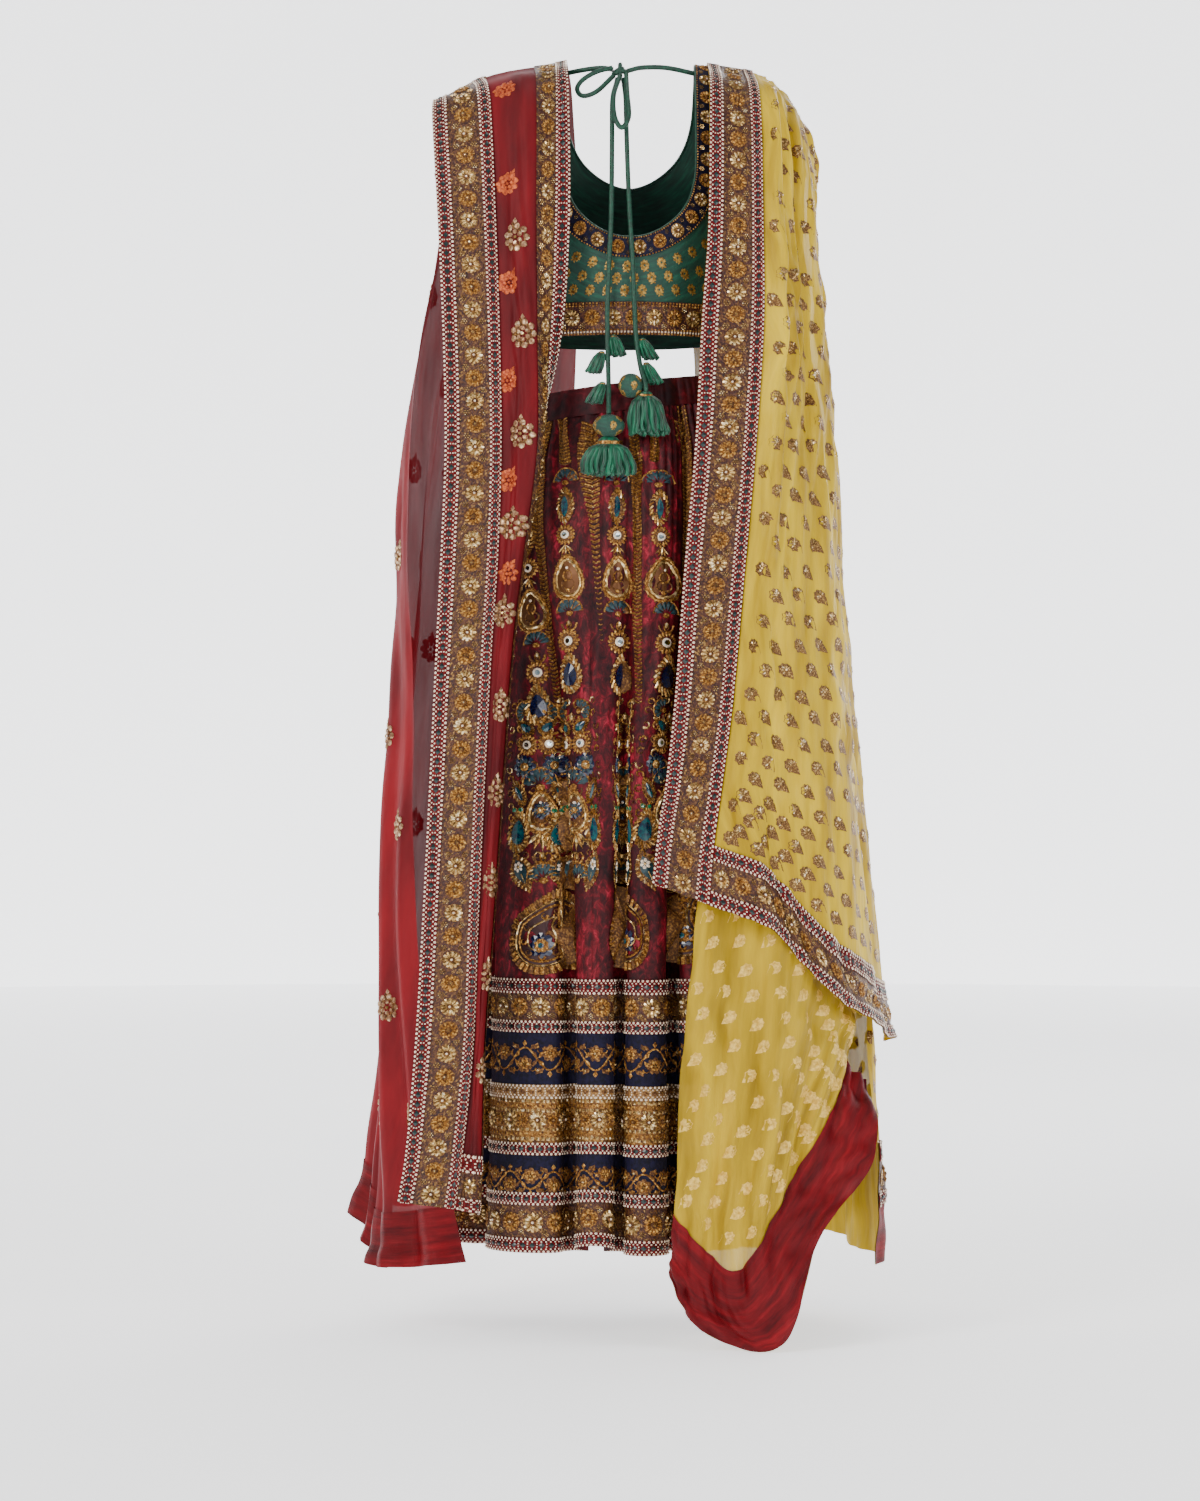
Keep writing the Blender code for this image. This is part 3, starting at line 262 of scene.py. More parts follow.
def make_cloth_looks():
    m = look("velvet", rough=0.55, sheen=0.12, specular=0.22)
    m.set("Sheen Tint", srgb(220, 70, 90))
    big = m.noise(10, 5, stretch=(2.6, 2.6, 1.2), rough=0.62, distortion=1.2)
    small = m.noise(75, 4, stretch=(1.5, 1.5, 1), rough=0.7, distortion=1.0)
    pile = m.node("MixRGB", {"Fac": 0.50, "Color1": big, "Color2": small}).outputs["Color"]
    m.colour(pile, (0.38, 24, 1, 5), (0.49, 58, 3, 11), (0.56, 98, 8, 22), (0.64, 166, 36, 56))
    m.set("Roughness", m.scaled(pile, 0.72, 0.36))
    m.bump(pile, 0.0030, 0.6)
    m.bump(m.noise(900, BUMP_DETAIL), 0.0003, 0.4)

    m = look("casing", rough=0.6, sheen=0.2, specular=0.25)
    m.set("Sheen Tint", srgb(220, 70, 90))
    pile = m.noise(34, 4, rough=0.65, distortion=0.8)
    m.colour(pile, (0.35, 30, 2, 7), (0.55, 72, 6, 15), (0.72, 128, 26, 40))
    m.bump(pile, 0.0015, 0.5)

    m = look("brocade", sheen=0.08)
    m.colour(m.noise(40, 4, m.uv, (1, 6, 1)), (0.3, 0, 44, 34), (0.55, 4, 66, 50), (0.75, 14, 92, 68))
    m.weave(0.0011, 0.0004)

    m = look("navy", rough=0.6, sheen=0.02, specular=0.2)
    m.colour(m.noise(240, 3), (0.35, 5, 3, 20), (0.65, 18, 14, 46))
    m.weave(0.0009, 0.0003)

    m = look("silk", specular=0.18)
    slub = m.noise(70, 4, m.uv, (0.12, 1, 1), rough=0.7)
    m.colour(slub, (0.3, 60, 1, 7), (0.52, 104, 3, 13), (0.74, 144, 14, 26))
    m.bump(slub, 0.0012, 0.6)
    m.weave(0.0008, 0.0002)

    m = look("floss", rough=0.36, sheen=0.15)
    m.colour(m.noise(240, 2, stretch=(1, 1, 0.08)), (0.35, 0, 40, 26), (0.65, 0, 100, 68))

    for name, dark, light, alpha, glow in (("net", (82, 3, 9), (126, 9, 20), 0.975, 0.13),
                                           ("net_dense", (70, 3, 9), (116, 10, 20), 0.985, 0.02)):
        m = look(name, rough=0.6, sheen=0.10, specular=0.2)
        m.set("Sheen Tint", srgb(220, 90, 100))
        m.colour(m.noise(24, 4, m.uv, (1, 0.25, 1)), (0.35, *dark), (0.65, *light))
        fold = m.noise(60, 3, m.uv, (1, 0.10, 1), rough=0.6)
        m.set("Alpha", m.scaled(fold, alpha - (1 - alpha) * 0.6, 1.0))
        m.bump(fold, 0.0016, 0.5)
        # The emission is painted light: a faint red glow, strong on the open net and weak on the dense one,
        # that stands in for the light passing through the net's threads.
        m.set("Emission Color", srgb(176, 40, 54))
        m.set("Emission Strength", glow)

    # The second look is a darker copy of the chiffon for the lower fall, which shows its reverse side: its
    # darker ground is painted shade.
    for name, dark, light in (("chiffon", (160, 126, 3), (228, 192, 30)),
                              ("chiffon_reverse", (144, 114, 3), (208, 172, 28))):
        m = look(name, rough=0.6, sheen=0.08, specular=0.2)
        m.colour(m.noise(30, 4, m.uv, (1, 0.14, 1)), (0.32, *dark), (0.68, *light))
        wrinkle = m.noise(150, 3, m.uv, (1, 0.12, 1), rough=0.6)
        m.bump(wrinkle, 0.0026, 0.6)
        m.set("Alpha", m.scaled(wrinkle, 1.0, 0.88))


def make_looks():
    make_cloth_looks()
    for name, settings, scale, detail, stops, rough in NOISE_LOOKS:
        m = look(name, **settings)
        m.colour(m.noise(scale, detail), *stops)
        if rough:
            m.bump(m.noise(rough[0], BUMP_DETAIL), *rough[1:])
    for name, rough, metal, scale, stops, height, strength in CELL_LOOKS:
        m = look(name, rough=rough, metal=metal)
        cell = m.cells(scale)
        m.colour(cell.outputs["Color"], *stops)
        m.bump(cell.outputs["Distance"], height, strength)
    for name, rough, specular, scale, glow in (("floor", 0.8, 0.1, 3, 0.9), ("backdrop", 0.9, 0.0, 2, 1.5)):
        m = look(name, rough=rough, specular=specular)
        m.colour(m.noise(scale, 2), (0.3, 246, 247, 249), (0.7, 250, 250, 251))
        m.set("Emission Color", (1.0, 1.0, 1.0, 1.0))
        m.set("Emission Strength", glow)


make_looks()

# ---------------------------------------------------------------- tables

Figure = namedtuple("Figure", "height half_width back_depth front_depth")
FIGURE = (
    Figure(0.000, 0.150, 0.090, 0.085),
    Figure(-0.060, 0.142, 0.090, 0.085),
    Figure(-0.125, 0.136, 0.090, 0.086),
    Figure(-0.200, 0.140, 0.097, 0.112),
    Figure(-0.260, 0.133, 0.095, 0.108),
    Figure(-0.329, 0.124, 0.091, 0.096),
)
BODY_X = -0.008         # the wearer stands turned a little, so the body's middle is left of the neck
SHOULDER_TOP = -0.120   # above this height the back and front lean in to the shoulder seam
SHOULDER_SLOPE = 0.16
SHOULDER_LIFT = 0.012
SHOULDER_REACH = 0.13   # the shoulder's slope and lift fade out over this height
NECK_FLAT = 0.06        # no slope nearer than this to the middle
CUP_X = 0.066
CUP_HEIGHT = -0.195
CUP_RADIUS = 0.050
CUP_RISE = 0.022

# Half of the neck edge, the inner line of the neck band, and the panel's rim, from the shoulder
# round to the middle. Rim angles are from the middle of the back or front, in degrees.
Edge = namedtuple("Edge", "neck_x neck_h band_x band_h rim_angle rim_h")
BACK_EDGES = (
    Edge(0.0800, 0.0000, 0.1040, 0.0000, 90.0, 0.0000),
    Edge(0.0800, -0.0200, 0.1040, -0.0200, 73.0, -0.0183),
    Edge(0.0800, -0.0625, 0.1040, -0.0625, 66.0, -0.0625),
    Edge(0.0800, -0.1000, 0.1040, -0.1000, 73.0, -0.1067),
    Edge(0.0795, -0.1250, 0.1035, -0.1280, 90.0, -0.1250),
    Edge(0.0775, -0.1420, 0.1005, -0.1490, 90.0, -0.1900),
    Edge(0.0735, -0.1580, 0.0955, -0.1680, 90.0, -0.2500),
    Edge(0.0675, -0.1720, 0.0875, -0.1865, 90.0, -0.2890),
    Edge(0.0580, -0.1850, 0.0745, -0.2030, 74.0, -0.2890),
    Edge(0.0450, -0.1965, 0.0580, -0.2170, 56.0, -0.2890),
    Edge(0.0310, -0.2050, 0.0395, -0.2275, 38.0, -0.2890),
    Edge(0.0160, -0.2105, 0.0200, -0.2345, 19.0, -0.2890),
    Edge(0.0000, -0.2125, 0.0000, -0.2365, 0.0, -0.2890),
)
FRONT_EDGES = (
    Edge(0.0800, 0.0000, 0.1040, 0.0000, 90.0, 0.0000),
    Edge(0.0800, -0.0180, 0.1040, -0.0200, 73.0, -0.0183),
    Edge(0.0780, -0.0500, 0.1015, -0.0560, 66.0, -0.0625),
    Edge(0.0730, -0.0720, 0.0950, -0.0820, 73.0, -0.1067),
    Edge(0.0660, -0.0880, 0.0860, -0.1020, 90.0, -0.1250),
    Edge(0.0580, -0.1000, 0.0755, -0.1170, 90.0, -0.1900),
    Edge(0.0490, -0.1090, 0.0640, -0.1290, 90.0, -0.2500),
    Edge(0.0400, -0.1160, 0.0520, -0.1380, 90.0, -0.2890),
    Edge(0.0320, -0.1210, 0.0410, -0.1445, 74.0, -0.2890),
    Edge(0.0240, -0.1250, 0.0310, -0.1490, 56.0, -0.2890),
    Edge(0.0160, -0.1280, 0.0205, -0.1525, 38.0, -0.2890),
    Edge(0.0080, -0.1300, 0.0100, -0.1545, 19.0, -0.2890),
    Edge(0.0000, -0.1310, 0.0000, -0.1550, 0.0, -0.2890),
)
HEM_BAND_TOP = -0.289
CHOLI_HEM = -0.329

Sleeve = namedtuple("Sleeve", "name side centre_x half_width half_depth height tilt")
SLEEVES = (
    Sleeve("left", -1, -0.195, 0.042, 0.047, -0.137, 0.26),
    Sleeve("right", 1, 0.175, 0.040, 0.046, -0.137, 0.26),
)
ARMHOLE_DEPTH = 0.0625
ARMHOLE_ANGLE = 24.0
SLEEVE_BULGE = 0.012
ARMHOLE_CORNERS = 8
SLEEVE_GAP = 0.0006     # how far a sleeve starts outside the armhole, and more at the underarm
UNDERARM_GAP = 0.0030

# The skirt: where its columns stand at the waist and at the hem, in degrees from the middle of
# the back, and how deep the fold that starts at each column is.
Fold = namedtuple("Fold", "column waist_angle hem_angle depth lift")
FOLDS = (
    Fold(0, -82.0, -62.0, 0.030, 0.000),
    Fold(5, -47.0, -19.5, 0.034, 0.012),
    Fold(7, -16.0, -11.0, 0.034, 0.012),
    Fold(10, 6.0, -2.0, 0.034, 0.000),
    Fold(15, 32.0, 18.0, 0.036, 0.004),
    Fold(20, 60.0, 48.0, 0.038, 0.000),
    Fold(25, 90.0, 80.0, 0.034, 0.005),
    Fold(30, 120.0, 112.0, 0.036, 0.000),
    Fold(35, 150.0, 144.0, 0.034, 0.004),
    Fold(40, 180.0, 178.0, 0.036, 0.000),
    Fold(45, 210.0, 212.0, 0.034, 0.005),
    Fold(50, 244.0, 252.0, 0.036, 0.000),
    Fold(55, 278.0, 298.0, 0.030, 0.000),
)
SKIRT_COLUMNS = 55
FOLD_COLUMNS = 5
LEAST_FOLD = 0.004
CREST_MIDDLE = 0.70     # a fold stands this share of its depth inside the girth, and the rest out
Girth = namedtuple("Girth", "height half_width half_depth")
GIRTHS = (
    Girth(-0.386, 0.122, 0.099),
    Girth(-0.420, 0.130, 0.106),
    Girth(-0.470, 0.150, 0.118),
    Girth(-0.570, 0.168, 0.134),
    Girth(-0.700, 0.175, 0.144),
    Girth(-0.900, 0.180, 0.156),
    Girth(-1.100, 0.188, 0.168),
    Girth(-1.300, 0.196, 0.178),
    Girth(-1.424, 0.202, 0.186),
)
WAIST_TOP = -0.386
WAIST_BOTTOM = -0.420
SKIRT_HEM = -1.424
WAIST_TILT = 0.12       # the waistband climbs toward the wearer's right
BORDER_NAMES = ("border_flowers_upper", "border_vine_upper", "border_gold", "border_vine_lower",
                "border_flowers_lower")

def level(height, *places):
    """A row of a dupatta whose points are all at one height."""
    return tuple((x, y, height) for x, y in places)


# Dupattas: each row goes across the sheet, from one long edge to the other.
NET_BACK = (
    ((-0.237, -0.0002, -0.036), (-0.178, -0.0002, -0.006), (-0.135, -0.0002, 0.0042),
     (-0.1, -0.0002, 0.0094), (-0.076, -0.0002, 0.0137)),
    ((-0.2365, -0.058, -0.062), (-0.168, -0.084, -0.045), (-0.13, -0.09, -0.04), (-0.097, -0.09, -0.035),
     (-0.074, -0.084, -0.03)),
    level(-0.2, (-0.228, -0.105), (-0.16, -0.128), (-0.128, -0.135), (-0.098, -0.132), (-0.075, -0.118)),
    level(-0.34, (-0.2215, -0.13), (-0.155, -0.148), (-0.125, -0.152), (-0.1, -0.146), (-0.088, -0.128)),
    level(-0.47, (-0.219, -0.145), (-0.153, -0.16), (-0.128, -0.163), (-0.1015, -0.154),
          (-0.125, -0.136)),
    level(-0.6, (-0.2235, -0.155), (-0.157, -0.171), (-0.14, -0.172), (-0.124, -0.162), (-0.165, -0.143)),
    level(-0.72, (-0.229, -0.16), (-0.165, -0.178), (-0.152, -0.178), (-0.141, -0.168), (-0.19, -0.148)),
    level(-0.9, (-0.237, -0.166), (-0.174, -0.186), (-0.164, -0.186), (-0.154, -0.176), (-0.205, -0.154)),
    level(-1.04, (-0.244, -0.172), (-0.18, -0.192), (-0.172, -0.192), (-0.164, -0.183), (-0.215, -0.16)),
    level(-1.17, (-0.2515, -0.178), (-0.185, -0.198), (-0.18, -0.198), (-0.174, -0.19), (-0.222, -0.166)),
    ((-0.262, -0.186, -1.298), (-0.198, -0.206, -1.302), (-0.186, -0.206, -1.304),
     (-0.176, -0.197, -1.306), (-0.225, -0.172, -1.304)),
    ((-0.2717, -0.19, -1.361), (-0.207, -0.21, -1.367), (-0.19, -0.211, -1.37), (-0.178, -0.202, -1.373),
     (-0.228, -0.176, -1.369)),
)
NET_FRONT = (
    ((-0.076, 0.0006, 0.0137), (-0.11, 0.0006, 0.0076), (-0.145, 0.0006, 0.0025),
     (-0.18, 0.0006, -0.0065), (-0.21, 0.0006, -0.02), (-0.237, 0.0006, -0.036)),
    ((-0.07, 0.082, -0.03), (-0.105, 0.092, -0.035), (-0.145, 0.094, -0.045), (-0.175, 0.088, -0.055),
     (-0.203, 0.078, -0.062), (-0.218, 0.064, -0.072)),
    level(-0.2, (-0.065, 0.15), (-0.1, 0.158), (-0.14, 0.15), (-0.18, 0.125), (-0.215, 0.085),
          (-0.236, 0.04)),
    level(-0.38, (-0.07, 0.155), (-0.115, 0.16), (-0.165, 0.14), (-0.215, 0.1), (-0.25, 0.045),
          (-0.262, -0.005)),
    level(-0.55, (-0.08, 0.16), (-0.13, 0.165), (-0.185, 0.145), (-0.235, 0.1), (-0.268, 0.03),
          (-0.272, -0.045)),
    level(-0.75, (-0.085, 0.175), (-0.14, 0.18), (-0.2, 0.155), (-0.25, 0.1), (-0.277, 0.02),
          (-0.266, -0.065)),
    level(-0.95, (-0.09, 0.19), (-0.15, 0.195), (-0.215, 0.165), (-0.268, 0.1), (-0.293, 0.01),
          (-0.266, -0.08)),
    level(-1.15, (-0.095, 0.21), (-0.16, 0.21), (-0.23, 0.175), (-0.28, 0.1), (-0.297, 0.0),
          (-0.255, -0.1)),
    ((-0.095, 0.222, -1.31), (-0.166, 0.222, -1.325), (-0.243, 0.182, -1.33), (-0.3, 0.1, -1.335),
     (-0.303, -0.012, -1.385), (-0.22, -0.125, -1.37)),
    ((-0.095, 0.225, -1.38), (-0.17, 0.225, -1.395), (-0.25, 0.185, -1.4), (-0.316, 0.1, -1.405),
     (-0.312, -0.022, -1.455), (-0.205, -0.135, -1.44)),
)
CHIFFON_UPPER = (
    ((0.0945, -0.0002, 0.0104), (0.15, -0.0002, 0.0008), (0.172, -0.0002, -0.01),
     (0.192, -0.0002, -0.028), (0.207, -0.0002, -0.053), (0.218, -0.0002, -0.08)),
    ((0.0955, -0.08, -0.04), (0.158, -0.08, -0.05), (0.182, -0.072, -0.06), (0.205, -0.05, -0.08),
     (0.222, -0.014, -0.1), (0.224, 0.026, -0.11)),
    level(-0.2, (0.0935, -0.118), (0.16, -0.125), (0.188, -0.11), (0.213, -0.07), (0.226, -0.01),
          (0.22, 0.055)),
    level(-0.32, (0.085, -0.135), (0.16, -0.142), (0.195, -0.122), (0.223, -0.075), (0.238, -0.01),
          (0.226, 0.068)),
    level(-0.47, (0.077, -0.148), (0.15, -0.16), (0.19, -0.146), (0.227, -0.1), (0.249, -0.02),
          (0.243, 0.07)),
    level(-0.62, (0.064, -0.162), (0.136, -0.177), (0.182, -0.17), (0.228, -0.125), (0.256, -0.03),
          (0.252, 0.07)),
    level(-0.77, (0.053, -0.177), (0.122, -0.194), (0.176, -0.19), (0.232, -0.145), (0.269, -0.035),
          (0.266, 0.074)),
    ((0.042, -0.19, -0.87), (0.108, -0.207, -0.875), (0.168, -0.207, -0.89), (0.235, -0.165, -0.91),
     (0.284, -0.045, -0.93), (0.282, 0.074, -0.94)),
    ((0.034, -0.196, -0.918), (0.099, -0.213, -0.94), (0.166, -0.213, -0.972), (0.24, -0.172, -1.055),
     (0.299, -0.058, -1.1), (0.298, 0.07, -1.12)),
    ((0.026, -0.2, -0.9856), (0.093, -0.216, -1.01), (0.172, -0.217, -1.045), (0.243, -0.18, -1.125),
     (0.313, -0.068, -1.17), (0.312, 0.07, -1.19)),
)
CHIFFON_LOWER = (
    ((0.085, -0.175, -0.88), (0.125, -0.182, -0.885), (0.165, -0.18, -0.89), (0.205, -0.157, -0.9),
     (0.25, -0.085, -0.92), (0.2736, 0.0584, -0.94)),
    ((0.078, -0.19, -1.03), (0.12, -0.198, -1.03), (0.165, -0.197, -1.03), (0.21, -0.174, -1.04),
     (0.256, -0.1, -1.06), (0.281, 0.03, -1.08)),
    ((0.062, -0.213, -1.2), (0.105, -0.224, -1.22), (0.15, -0.225, -1.23), (0.19, -0.21, -1.21),
     (0.238, -0.17, -1.18), (0.266, -0.105, -1.15)),
    ((0.054, -0.224, -1.385), (0.086, -0.234, -1.43), (0.128, -0.236, -1.452), (0.168, -0.226, -1.38),
     (0.225, -0.192, -1.285), (0.254, -0.14, -1.2)),
    ((0.048, -0.225, -1.44), (0.085, -0.238, -1.508), (0.176, -0.24, -1.522), (0.22, -0.226, -1.4),
     (0.286, -0.19, -1.31), (0.276, -0.132, -1.225)),
)
CHIFFON_FRONT = (
    ((0.216, 0.0006, -0.079), (0.19, 0.0006, -0.027), (0.165, 0.0006, -0.006), (0.135, 0.0006, 0.0036),
     (0.0945, 0.0006, 0.0104)),
    ((0.214, 0.036, -0.11), (0.195, 0.062, -0.085), (0.165, 0.082, -0.06), (0.13, 0.09, -0.045),
     (0.092, 0.084, -0.035)),
    level(-0.2, (0.212, 0.05), (0.195, 0.095), (0.165, 0.13), (0.125, 0.152), (0.085, 0.15)),
    level(-0.32, (0.217, 0.062), (0.205, 0.1), (0.175, 0.135), (0.13, 0.158), (0.085, 0.155)),
    level(-0.47, (0.233, 0.06), (0.22, 0.1), (0.185, 0.14), (0.135, 0.16), (0.085, 0.158)),
    level(-0.62, (0.242, 0.06), (0.23, 0.105), (0.195, 0.148), (0.14, 0.168), (0.085, 0.165)),
    level(-0.77, (0.256, 0.063), (0.24, 0.11), (0.205, 0.155), (0.15, 0.178), (0.09, 0.178)),
    level(-0.92, (0.272, 0.06), (0.255, 0.115), (0.215, 0.165), (0.155, 0.19), (0.095, 0.19)),
    level(-1.1, (0.286, 0.05), (0.27, 0.115), (0.23, 0.175), (0.165, 0.205), (0.1, 0.205)),
    level(-1.28, (0.294, 0.02), (0.283, 0.11), (0.24, 0.18), (0.17, 0.22), (0.1, 0.22)),
    ((0.297, 0.0, -1.388), (0.29, 0.11, -1.38), (0.245, 0.184, -1.37), (0.172, 0.224, -1.36),
     (0.1, 0.224, -1.34)),
    ((0.298, -0.005, -1.458), (0.292, 0.11, -1.45), (0.247, 0.186, -1.44), (0.173, 0.226, -1.43),
     (0.1, 0.226, -1.41)),
)
# The soft folds of a sheet: how many cross it, where they start, and their height at the top and
# at the bottom.
Waves = namedtuple("Waves", "count phase top bottom")
NET_BACK_WAVES = Waves(2.0, 0.20, 0.003, 0.006)
NET_FRONT_WAVES = Waves(3.5, 0.10, 0.003, 0.013)
CHIFFON_UPPER_WAVES = Waves(3.0, 0.35, 0.003, 0.007)
CHIFFON_LOWER_WAVES = Waves(2.5, 0.00, 0.002, 0.008)
CHIFFON_FRONT_WAVES = Waves(2.5, 0.00, 0.002, 0.010)

Cord = namedtuple("Cord", "name points")
CORD_RADIUS = 0.003
CORDS = (
    Cord("dori_left", (
        (-0.0784, -0.0272, -0.0045), (-0.055, -0.040, -0.002), (-0.034, -0.048, -0.001),
        (-0.0204, -0.0518, -0.0036))),
    Cord("dori_right", (
        (0.0795, -0.0262, -0.0045), (0.045, -0.042, 0.000), (0.015, -0.050, -0.001),
        (-0.0025, -0.0555, -0.0058))),
    Cord("bow_loop", (
        (-0.0212, -0.0600, -0.0028), (-0.040, -0.063, -0.008), (-0.057, -0.063, -0.018),
        (-0.0636, -0.065, -0.029), (-0.057, -0.068, -0.038), (-0.040, -0.070, -0.033),
        (-0.0193, -0.0633, -0.0126))),
    Cord("hanging_loop", (
        (-0.0115, -0.0650, -0.0124), (-0.0195, -0.088, -0.040), (-0.0185, -0.102, -0.068),
        (-0.0100, -0.106, -0.082), (-0.0015, -0.102, -0.068), (-0.0030, -0.088, -0.040),
        (-0.0044, -0.0632, -0.0108))),
    Cord("tail_left", (
        (-0.0150, -0.0570, -0.0155), (-0.0165, -0.0610, -0.0225), (-0.021, -0.079, -0.045),
        (-0.0215, -0.092, -0.090), (-0.022, -0.099, -0.150), (-0.023, -0.103, -0.200),
        (-0.025, -0.1045, -0.240), (-0.027, -0.104, -0.290), (-0.027, -0.106, -0.335),
        (-0.026, -0.117, -0.380), (-0.0255, -0.136, -0.4279))),
    Cord("tail_right", (
        (-0.0080, -0.0560, -0.0154), (-0.0070, -0.0600, -0.0225), (-0.005, -0.079, -0.045),
        (-0.004, -0.092, -0.090), (-0.002, -0.099, -0.150), (0.0005, -0.103, -0.200),
        (0.003, -0.1045, -0.240), (0.005, -0.104, -0.290), (0.0075, -0.106, -0.335),
        (0.0125, -0.117, -0.370), (0.0182, -0.1274, -0.3920), (0.0185, -0.128, -0.3998))),
)
Ball = namedtuple("Ball", "name x y z half_width half_depth half_height")
BALLS = (
    Ball("dori_knot", -0.012, -0.057, -0.0065, 0.0090, 0.0075, 0.0080),
    Ball("ball_left", -0.0255, -0.136, -0.4415, 0.0185, 0.0130, 0.0132),
    Ball("ball_right", 0.0007, -0.1255, -0.3930, 0.0145, 0.0110, 0.0145),
    Ball("net_ball", -0.2883, 0.008, -0.8120, 0.0060, 0.0060, 0.0065),
)
Tassel = namedtuple("Tassel", "name x y z head length spread_x spread_y lean_x locks")
TASSELS = (
    Tassel("tassel_1", -0.0342, -0.110, -0.350, 0.0040, 0.024, 0.0065, 0.0050, -0.009, 6),
    Tassel("tassel_2", -0.0333, -0.122, -0.388, 0.0040, 0.024, 0.0065, 0.0050, -0.010, 6),
    Tassel("tassel_3", -0.0196, -0.1055, -0.330, 0.0040, 0.024, 0.0065, 0.0050, 0.006, 6),
    Tassel("tassel_4", 0.0149, -0.106, -0.334, 0.0040, 0.024, 0.0065, 0.0050, 0.011, 6),
    Tassel("tassel_5", 0.0196, -0.116, -0.364, 0.0040, 0.024, 0.0065, 0.0050, 0.011, 6),
    Tassel("tassel_left", -0.0255, -0.136, -0.4538, 0.0130, 0.040, 0.0330, 0.0100, 0.000, 14),
    Tassel("tassel_right", 0.0185, -0.128, -0.3997, 0.0085, 0.051, 0.0240, 0.0090, 0.003, 14),
    Tassel("net_tassel", -0.2883, 0.008, -0.8187, 0.0030, 0.020, 0.0045, 0.0045, -0.003, 6),
)


# ---------------------------------------------------------------- shapes

def hermite(t):
    """The shares of the start, its slope, the end and its slope, a part t of the way along."""
    return 2 * t ** 3 - 3 * t ** 2 + 1, t ** 3 - 2 * t ** 2 + t, 3 * t ** 2 - 2 * t ** 3, t ** 3 - t ** 2


def curve(values, at):
    """Smooth curve through evenly spaced values, read at a real index."""
    last = len(values) - 1
    at = min(max(at, 0.0), float(last))
    i = min(int(at), last - 1)
    t = at - i
    p1 = values[i]
    p2 = values[i + 1]
    m1 = (p2 - values[i - 1]) / 2 if i > 0 else p2 - p1
    m2 = (values[i + 2] - p1) / 2 if i + 2 <= last else p2 - p1
    a, b, c, d = hermite(t)
    return p1 * a + m1 * b + p2 * c + m2 * d


def straight(keys, values, at):
    """Straight lines through values at rising keys."""
    if at <= keys[0]:
        return values[0]
    for k in range(1, len(keys)):
        if at <= keys[k]:
            share = (at - keys[k - 1]) / (keys[k] - keys[k - 1])
            return values[k - 1] + (values[k] - values[k - 1]) * share
    return values[-1]


def at_height(rows, field, height):
    """A table's value at a height, on a smooth curve through its rows."""
    keys = [-row.height for row in rows]
    index = straight(keys, [float(k) for k in range(len(keys))], -height)
    return curve([getattr(row, field) for row in rows], index)


def body_point(angle, height, side):
    """A point of the blouse: angle from the middle of the back (side -1) or front (side 1)."""
    wide = at_height(FIGURE, "half_width", height)
    deep = at_height(FIGURE, "back_depth" if side < 0 else "front_depth", height)
    if height > SHOULDER_TOP:
        rise = (height - SHOULDER_TOP) / -SHOULDER_TOP
        deep *= math.sqrt(max(0.0, 1 - rise * rise))
    x = BODY_X + wide * math.sin(angle)
    y = side * deep * abs(math.cos(angle))
    if side > 0:
        for cup in (-CUP_X, CUP_X):
            far = ((x - BODY_X - cup) ** 2 + (height - CUP_HEIGHT) ** 2) / CUP_RADIUS ** 2
            y += CUP_RISE * math.exp(-far) * abs(math.cos(angle))
    fade = min(max((height + SHOULDER_REACH) / SHOULDER_REACH, 0.0), 1.0)
    z = height - SHOULDER_SLOPE * max(0.0, abs(x) - NECK_FLAT) * fade + SHOULDER_LIFT * fade * fade
    return Vector((x, y, z))


def edge_angle(x, height):
    wide = at_height(FIGURE, "half_width", height)
    return math.asin(min(max((x - BODY_X) / wide, -1.0), 1.0))


def blouse_point(edges, w, r, side):
    """w runs from -12 at the left shoulder to 12 at the right one; r from the neck to the rim."""
    half = abs(w)
    sign = -1.0 if w < 0 else 1.0
    index = 12 - half
    neck_h = curve([e.neck_h for e in edges], index)
    neck_t = edge_angle(sign * curve([e.neck_x for e in edges], index), neck_h)
    band_h = curve([e.band_h for e in edges], index)
    band_t = edge_angle(sign * curve([e.band_x for e in edges], index), band_h)
    rows = [float(k) for k in range(len(edges))]
    rim_h = straight(rows, [e.rim_h for e in edges], index)
    rim_t = sign * math.radians(straight(rows, [e.rim_angle for e in edges], index))
    if r <= 1:
        return body_point(neck_t + (band_t - neck_t) * r, neck_h + (band_h - neck_h) * r, side)
    share = r - 1
    return body_point(band_t + (rim_t - band_t) * share, band_h + (rim_h - band_h) * share, side)


def armhole_point(sleeve, turn):
    """turn 0 is the shoulder point, 90 degrees the back, 180 the underarm, 270 the front."""
    height = -ARMHOLE_DEPTH * (1 - math.cos(turn))
    reach = math.radians(90 - ARMHOLE_ANGLE * abs(math.sin(turn)))
    side = -1 if math.sin(turn) >= 0 else 1
    return body_point(sleeve.side * reach, height, side)


def armhole_edge(sleeve, turn):
    """The armhole as the blouse panels cut it: straight between their corners."""
    cut = math.tau / ARMHOLE_CORNERS
    corner = math.floor(turn / cut + 1e-6)
    share = turn / cut - corner
    first = armhole_point(sleeve, corner * cut)
    return first.lerp(armhole_point(sleeve, (corner + 1) * cut), max(share, 0.0))


